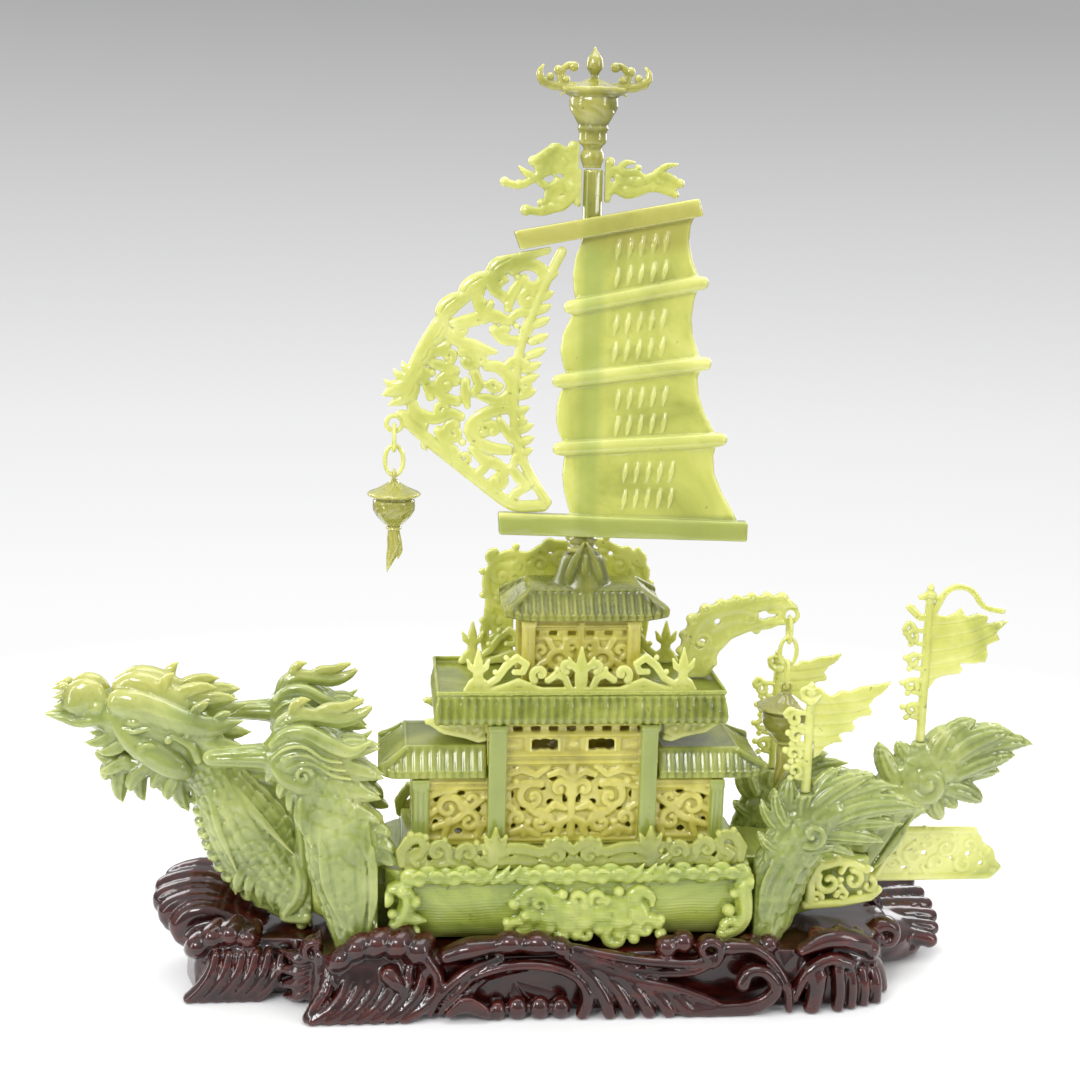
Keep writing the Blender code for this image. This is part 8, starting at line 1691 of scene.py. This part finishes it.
def lacquer(name):
    """Near-black red-brown lacquer over carved wood, redder on convex ridges."""
    m = bpy.data.materials.new(name)
    m.use_nodes = True
    n, l = m.node_tree.nodes, m.node_tree.links
    b = n["Principled BSDF"]
    tc = n.new("ShaderNodeTexCoord")
    st = n.new("ShaderNodeMapping")
    st.inputs["Scale"].default_value = (1.0, 3.5, 3.5)
    l.new(tc.outputs["Object"], st.inputs["Vector"])
    g = n.new("ShaderNodeTexNoise")
    g.inputs["Scale"].default_value = 22.0
    g.inputs["Detail"].default_value = 6.0
    g.inputs["Distortion"].default_value = 1.2
    l.new(st.outputs["Vector"], g.inputs["Vector"])
    ramp = n.new("ShaderNodeValToRGB")
    e = ramp.color_ramp.elements
    e[0].position, e[0].color = 0.32, (0.008, 0.0016, 0.0014, 1)
    e[1].position, e[1].color = 0.74, (0.078, 0.0085, 0.0050, 1)
    x = ramp.color_ramp.elements.new(0.52)
    x.color = (0.030, 0.0036, 0.0026, 1)
    l.new(g.outputs["Fac"], ramp.inputs["Fac"])
    geo = n.new("ShaderNodeNewGeometry")
    pt = n.new("ShaderNodeMapRange")
    pt.inputs["From Min"].default_value = 0.51
    pt.inputs["From Max"].default_value = 0.60
    pt.inputs["To Max"].default_value = 0.8
    l.new(geo.outputs["Pointiness"], pt.inputs["Value"])
    mx = n.new("ShaderNodeMix"); mx.data_type = "RGBA"
    l.new(pt.outputs["Result"], mx.inputs["Factor"])
    l.new(ramp.outputs["Color"], mx.inputs[6])
    mx.inputs[7].default_value = (0.095, 0.014, 0.009, 1)
    l.new(mx.outputs[2], b.inputs["Base Color"])
    rr = n.new("ShaderNodeMapRange")
    rr.inputs["To Min"].default_value = 0.10
    rr.inputs["To Max"].default_value = 0.30
    l.new(g.outputs["Fac"], rr.inputs["Value"])
    l.new(rr.outputs["Result"], b.inputs["Roughness"])
    b.inputs["Coat Weight"].default_value = 0.5
    b.inputs["Coat Roughness"].default_value = 0.05
    bp = n.new("ShaderNodeBump")
    bp.inputs["Strength"].default_value = 0.16
    bp.inputs["Distance"].default_value = 0.0010
    l.new(g.outputs["Fac"], bp.inputs["Height"])
    l.new(bp.outputs["Normal"], b.inputs["Normal"])
    return m


GREEN = (0.22, 0.30, 0.055)
MATS = {
    "wood": lacquer("lacquered_wood"),
    "pavroof": jade("serpentine_dark", (0.07, 0.085, 0.006), (0.15, 0.165, 0.014), (0.29, 0.30, 0.040), (0.44, 0.44, 0.09), 12.0, rough=0.24, coat=0.2),
        "hull": jade("serpentine_hull", (0.20, 0.27, 0.030), (0.37, 0.44, 0.070), (0.52, 0.56, 0.14), (0.64, 0.66, 0.22), 9.0, speck=0.6, fine_lines=True),
    "cloudy": jade("serpentine_rail", (0.18, 0.21, 0.024), (0.30, 0.33, 0.050), (0.43, 0.45, 0.10), (0.58, 0.58, 0.17), 12.0),
    "green": jade("serpentine_green", (0.145, 0.19, 0.038), (0.28, 0.34, 0.080), (0.44, 0.485, 0.150), (0.60, 0.62, 0.24), 12.0, carved=True,
                  tints=((2, 0.332, 0.040, 0.012, (0.52, 0.50, 0.12), 0.7),)),
    "pale": jade("serpentine_pale", (0.38, 0.42, 0.080), (0.60, 0.62, 0.150), (0.76, 0.77, 0.28), (0.84, 0.83, 0.38), 12.0, rough=0.18),
    # sail: the band around X = 0.023 m is a painted shadow of the mast standing behind the translucent sail; the Z
    # bands at the boom and the yard are their own greener and amber stone
    "sail": jade("serpentine_sail", (0.40, 0.43, 0.085), (0.61, 0.63, 0.150), (0.74, 0.75, 0.25), (0.84, 0.82, 0.36), 9.0, rough=0.14,
                 tints=((0, 0.023, 0.010, 0.004, (0.36, 0.44, 0.10), 0.55), (2, 0.455, 0.012, 0.003, (0.31, 0.36, 0.075), 0.75),
                        (2, 0.738, 0.022, 0.006, (0.42, 0.38, 0.07), 0.6))),
    "amber": jade("serpentine_amber", (0.36, 0.32, 0.045), (0.56, 0.50, 0.085), (0.70, 0.64, 0.17), (0.80, 0.75, 0.27), 12.0,
                  tints=((1, -0.0555, 0.0068, 0.0008, GREEN, 0.8), (1, 0.0555, 0.0068, 0.0008, GREEN, 0.8))),
    "olive": jade("serpentine_olive", (0.10, 0.13, 0.012), (0.20, 0.235, 0.026), (0.36, 0.39, 0.070), (0.50, 0.53, 0.13), 12.0, rough=0.2, coat=0.3),
    "mast": jade("serpentine_mast", (0.20, 0.22, 0.030), (0.36, 0.36, 0.060), (0.52, 0.50, 0.12), (0.60, 0.58, 0.18), 10.0, rough=0.13),
    "lantern": jade("serpentine_lantern", (0.18, 0.18, 0.028), (0.36, 0.35, 0.060), (0.54, 0.51, 0.14), (0.66, 0.63, 0.22), 16.0),
}

# ------------------------------------------------------------ the pieces
FY = -18.0
CENTRE_FLAG = [(387, 372), (396, 366), (405, 365), (412, 368), (418, 374), (421, 367), (426, 365), (436, 368), (446, 365), (444, 357), (456, 359), (468, 360),
               (461, 353), (456, 348), (460, 340), (452, 338), (446, 335), (448, 326), (446, 318), (432, 317), (420, 317), (424, 310), (421, 306), (405, 304),
               (396, 300), (391, 292)]
NEAR_FLAG = [(258, 312), (266, 310), (270, 305), (277, 302), (285, 308), (294, 307), (305, 312), (319, 313), (334, 316), (329, 309), (324, 304), (317, 300),
             (312, 293), (316, 288), (314, 283), (304, 282), (297, 277), (300, 272), (298, 267), (290, 266), (285, 264), (288, 260), (289, 256), (280, 256),
             (272, 251), (268, 245), (262, 240)]
FAR_FLAG = [(252.4 + 0.86 * (x - 256), 311 - 0.86 * (317 - z)) for x, z in NEAR_FLAG]
JOBS = [
    ("stand", "wood", build_stand, ()),
    ("hull", "hull", build_hull, ()),
    ("dragon_prow", "green", build_dragon, ()),
    ("phoenix_prow_near", "green", build_phoenix, ()),
    ("jib", "pale", build_jib, ()),
    ("sail", "sail", build_sail, ()),
    ("main_roof", "olive", build_main_roof, ()),
    ("pavilion_roof", "pavroof", build_pavilion_roof, ()),
    ("cabin_side_near", "amber", build_cabin_side, ()),
    ("tail_near", "green", build_side_tail, ()),
    ("tail_centre", "green", build_centre_tail, ()),
    ("deck_rail_near", "cloudy", build_deck_rail, ()),
    ("roof_rail_near", "pale", build_roof_rail, ()),
    ("cloud_screen", "pale", build_cloud_screen, ()),
    ("fore_roof", "olive", build_wing, ((-153.0, -50.4, 52.0, 219.0, 249.0), 26, "aft")),
    ("aft_roof", "olive", build_wing, ((114.6, 221.0, 52.0, 217.0, 245.0), 28, "fore")),
    ("pavilion_side_near", "amber", build_pavilion_side, ()),
    ("top_lantern", "lantern", build_top_lantern, ()),
    ("front_lantern", "lantern", build_lantern, (-139.0, FY, 500.9, 25.5, 413.0, -6, "YZ")),
    ("aft_lantern", "lantern", build_lantern, (247.0, 0.0, 289.2, 29.0, 185.0, -9, "XZ")),
    ("aft_bracket", "pale", build_aft_bracket, ()),
    ("flag_centre", "pale", build_flag, (386.0, 236.4, 399.0, 0.0, 84, 86, CENTRE_FLAG)),
    ("flag_near", "pale", build_flag, (256.0, 206.4, 317.0, -60.0, 78, 66, NEAR_FLAG, False, 0.4)),
    ("flag_far", "pale", build_flag, (252.4, 188.6, 316.0, 60.0, 70, 66, FAR_FLAG, False, 0.4)),
    ("rudder", "pale", build_rudder, ()),
    ("stern_scroll_near", "pale", build_stern_scroll, ()),
    ("masthead_cloud_fore", "pale", build_cloud_fore, ()),
    ("masthead_cloud_aft", "pale", build_cloud_aft, ()),
    ("mast", "mast", build_mast, ()),
    ("cabin_end_fore", "amber", build_cabin_end, (-118.0, 214.0)),
    ("cabin_end_aft", "amber", build_cabin_end, (170.0, 212.0)),
    ("bracket_fore_near", "pale", build_bracket, (False,)),
    ("bracket_aft_near", "pale", build_bracket, (True,)),
    ("front_link_upper", "pale", build_link, ((-139.0, FY, 539.5), 9.6, 14.0, 2.0, "YZ")),
    ("front_link_ring", "pale", build_link, ((-139.0, FY, 518.6), 10.5, 16.0, 2.1, "XZ")),
    ("aft_link_upper", "pale", build_link, ((247.0, 0.0, 351.5), 9.2, 15.0, 2.0, "YZ")),
    ("aft_link_ring", "pale", build_link, ((247.0, 0.0, 329.2), 10.4, 16.4, 2.1, "XZ")),
    ("aft_link_lower", "pale", build_link, ((247.0, 0.0, 306.5), 7.0, 15.4, 2.0, "YZ")),
]


def timed(job):
    t = time.time()
    part = job[2](*job[3])
    return part, time.time() - t


with ThreadPoolExecutor(4) as pool:
    built = list(pool.map(timed, JOBS))
PARTS, SECS = {}, {}
for (name, mat, fn, a), (part, secs) in zip(JOBS, built):
    PARTS[name] = (part, mat)
    SECS[name] = secs

mirror_y = lambda x, y, z: (x, -y, z)
for near in ("cabin_side_near", "pavilion_side_near", "deck_rail_near", "roof_rail_near", "stern_scroll_near", "bracket_fore_near", "bracket_aft_near"):
    part, mat = PARTS[near]
    PARTS[near.replace("_near", "_far")] = (moved(part, mirror_y, flip=True), mat)
PARTS["phoenix_prow_far"] = (far_phoenix(PARTS["phoenix_prow_near"][0]), "green")
PARTS["tail_far"] = (far_tail(PARTS["tail_near"][0]), "green")

raw = sum(len(p[1]) + 2 * len(p[2]) for p, m_ in PARTS.values())
share = min(0.46, 900000 / raw)                          # collapse the fine grids to what the shapes need
looks = []
for name, (part, mat) in PARTS.items():
    V, T, Q, lost = part
    V = V.copy()
    V[:, 0] += DATUM_X
    V *= 0.001
    me = bpy.data.meshes.new("fine_" + name)
    nt, nq = len(T), len(Q)
    me.vertices.add(len(V))
    me.vertices.foreach_set("co", V.astype(np.float32).ravel())
    me.loops.add(3 * nt + 4 * nq)
    me.loops.foreach_set("vertex_index", np.concatenate([T.ravel(), Q.ravel()]).astype(np.int32))
    me.polygons.add(nt + nq)
    starts = np.concatenate([3 * np.arange(nt), 3 * nt + 4 * np.arange(nq)]).astype(np.int32)
    me.polygons.foreach_set("loop_start", starts)
    me.update(calc_edges=True)
    me.validate()
    ob = bpy.data.objects.new("looks_" + name, me)
    bpy.context.scene.collection.objects.link(ob)
    thin = ob.modifiers.new("thin", "DECIMATE")
    thin.ratio = min(share, 175000 / (nt + 2 * nq))
    looks.append((name, ob, mat, lost))
ready = bpy.context.evaluated_depsgraph_get()
total = 0
for name, ob, mat, lost in looks:
    fine = ob.data
    me = bpy.data.meshes.new_from_object(ob.evaluated_get(ready))
    me.name = "looks_" + name
    ob.modifiers.clear()
    ob.data = me
    bpy.data.meshes.remove(fine)
    me.shade_smooth()
    me.materials.clear()
    me.materials.append(MATS[mat])
    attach(ob, "root")
    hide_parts(name)
    co_ = np.zeros(3 * len(me.vertices), np.float32)
    me.vertices.foreach_get("co", co_)
    co_ = co_.reshape(-1, 3) * 1000
    tris = sum(len(p.vertices) - 2 for p in me.polygons)
    total += tris
    lo, hi = co_.min(0), co_.max(0)
    print("PIECE %-20s tris %7d lost %5d  %5.1f s  x %7.1f %7.1f y %7.1f %7.1f z %6.1f %6.1f" % (
        name, tris, lost, SECS.get(name, 0.0), lo[0], hi[0], lo[1], hi[1], lo[2], hi[2]))
print("RAW %d TOTAL tris %d, %.0f s" % (raw, total, time.time() - T_START))
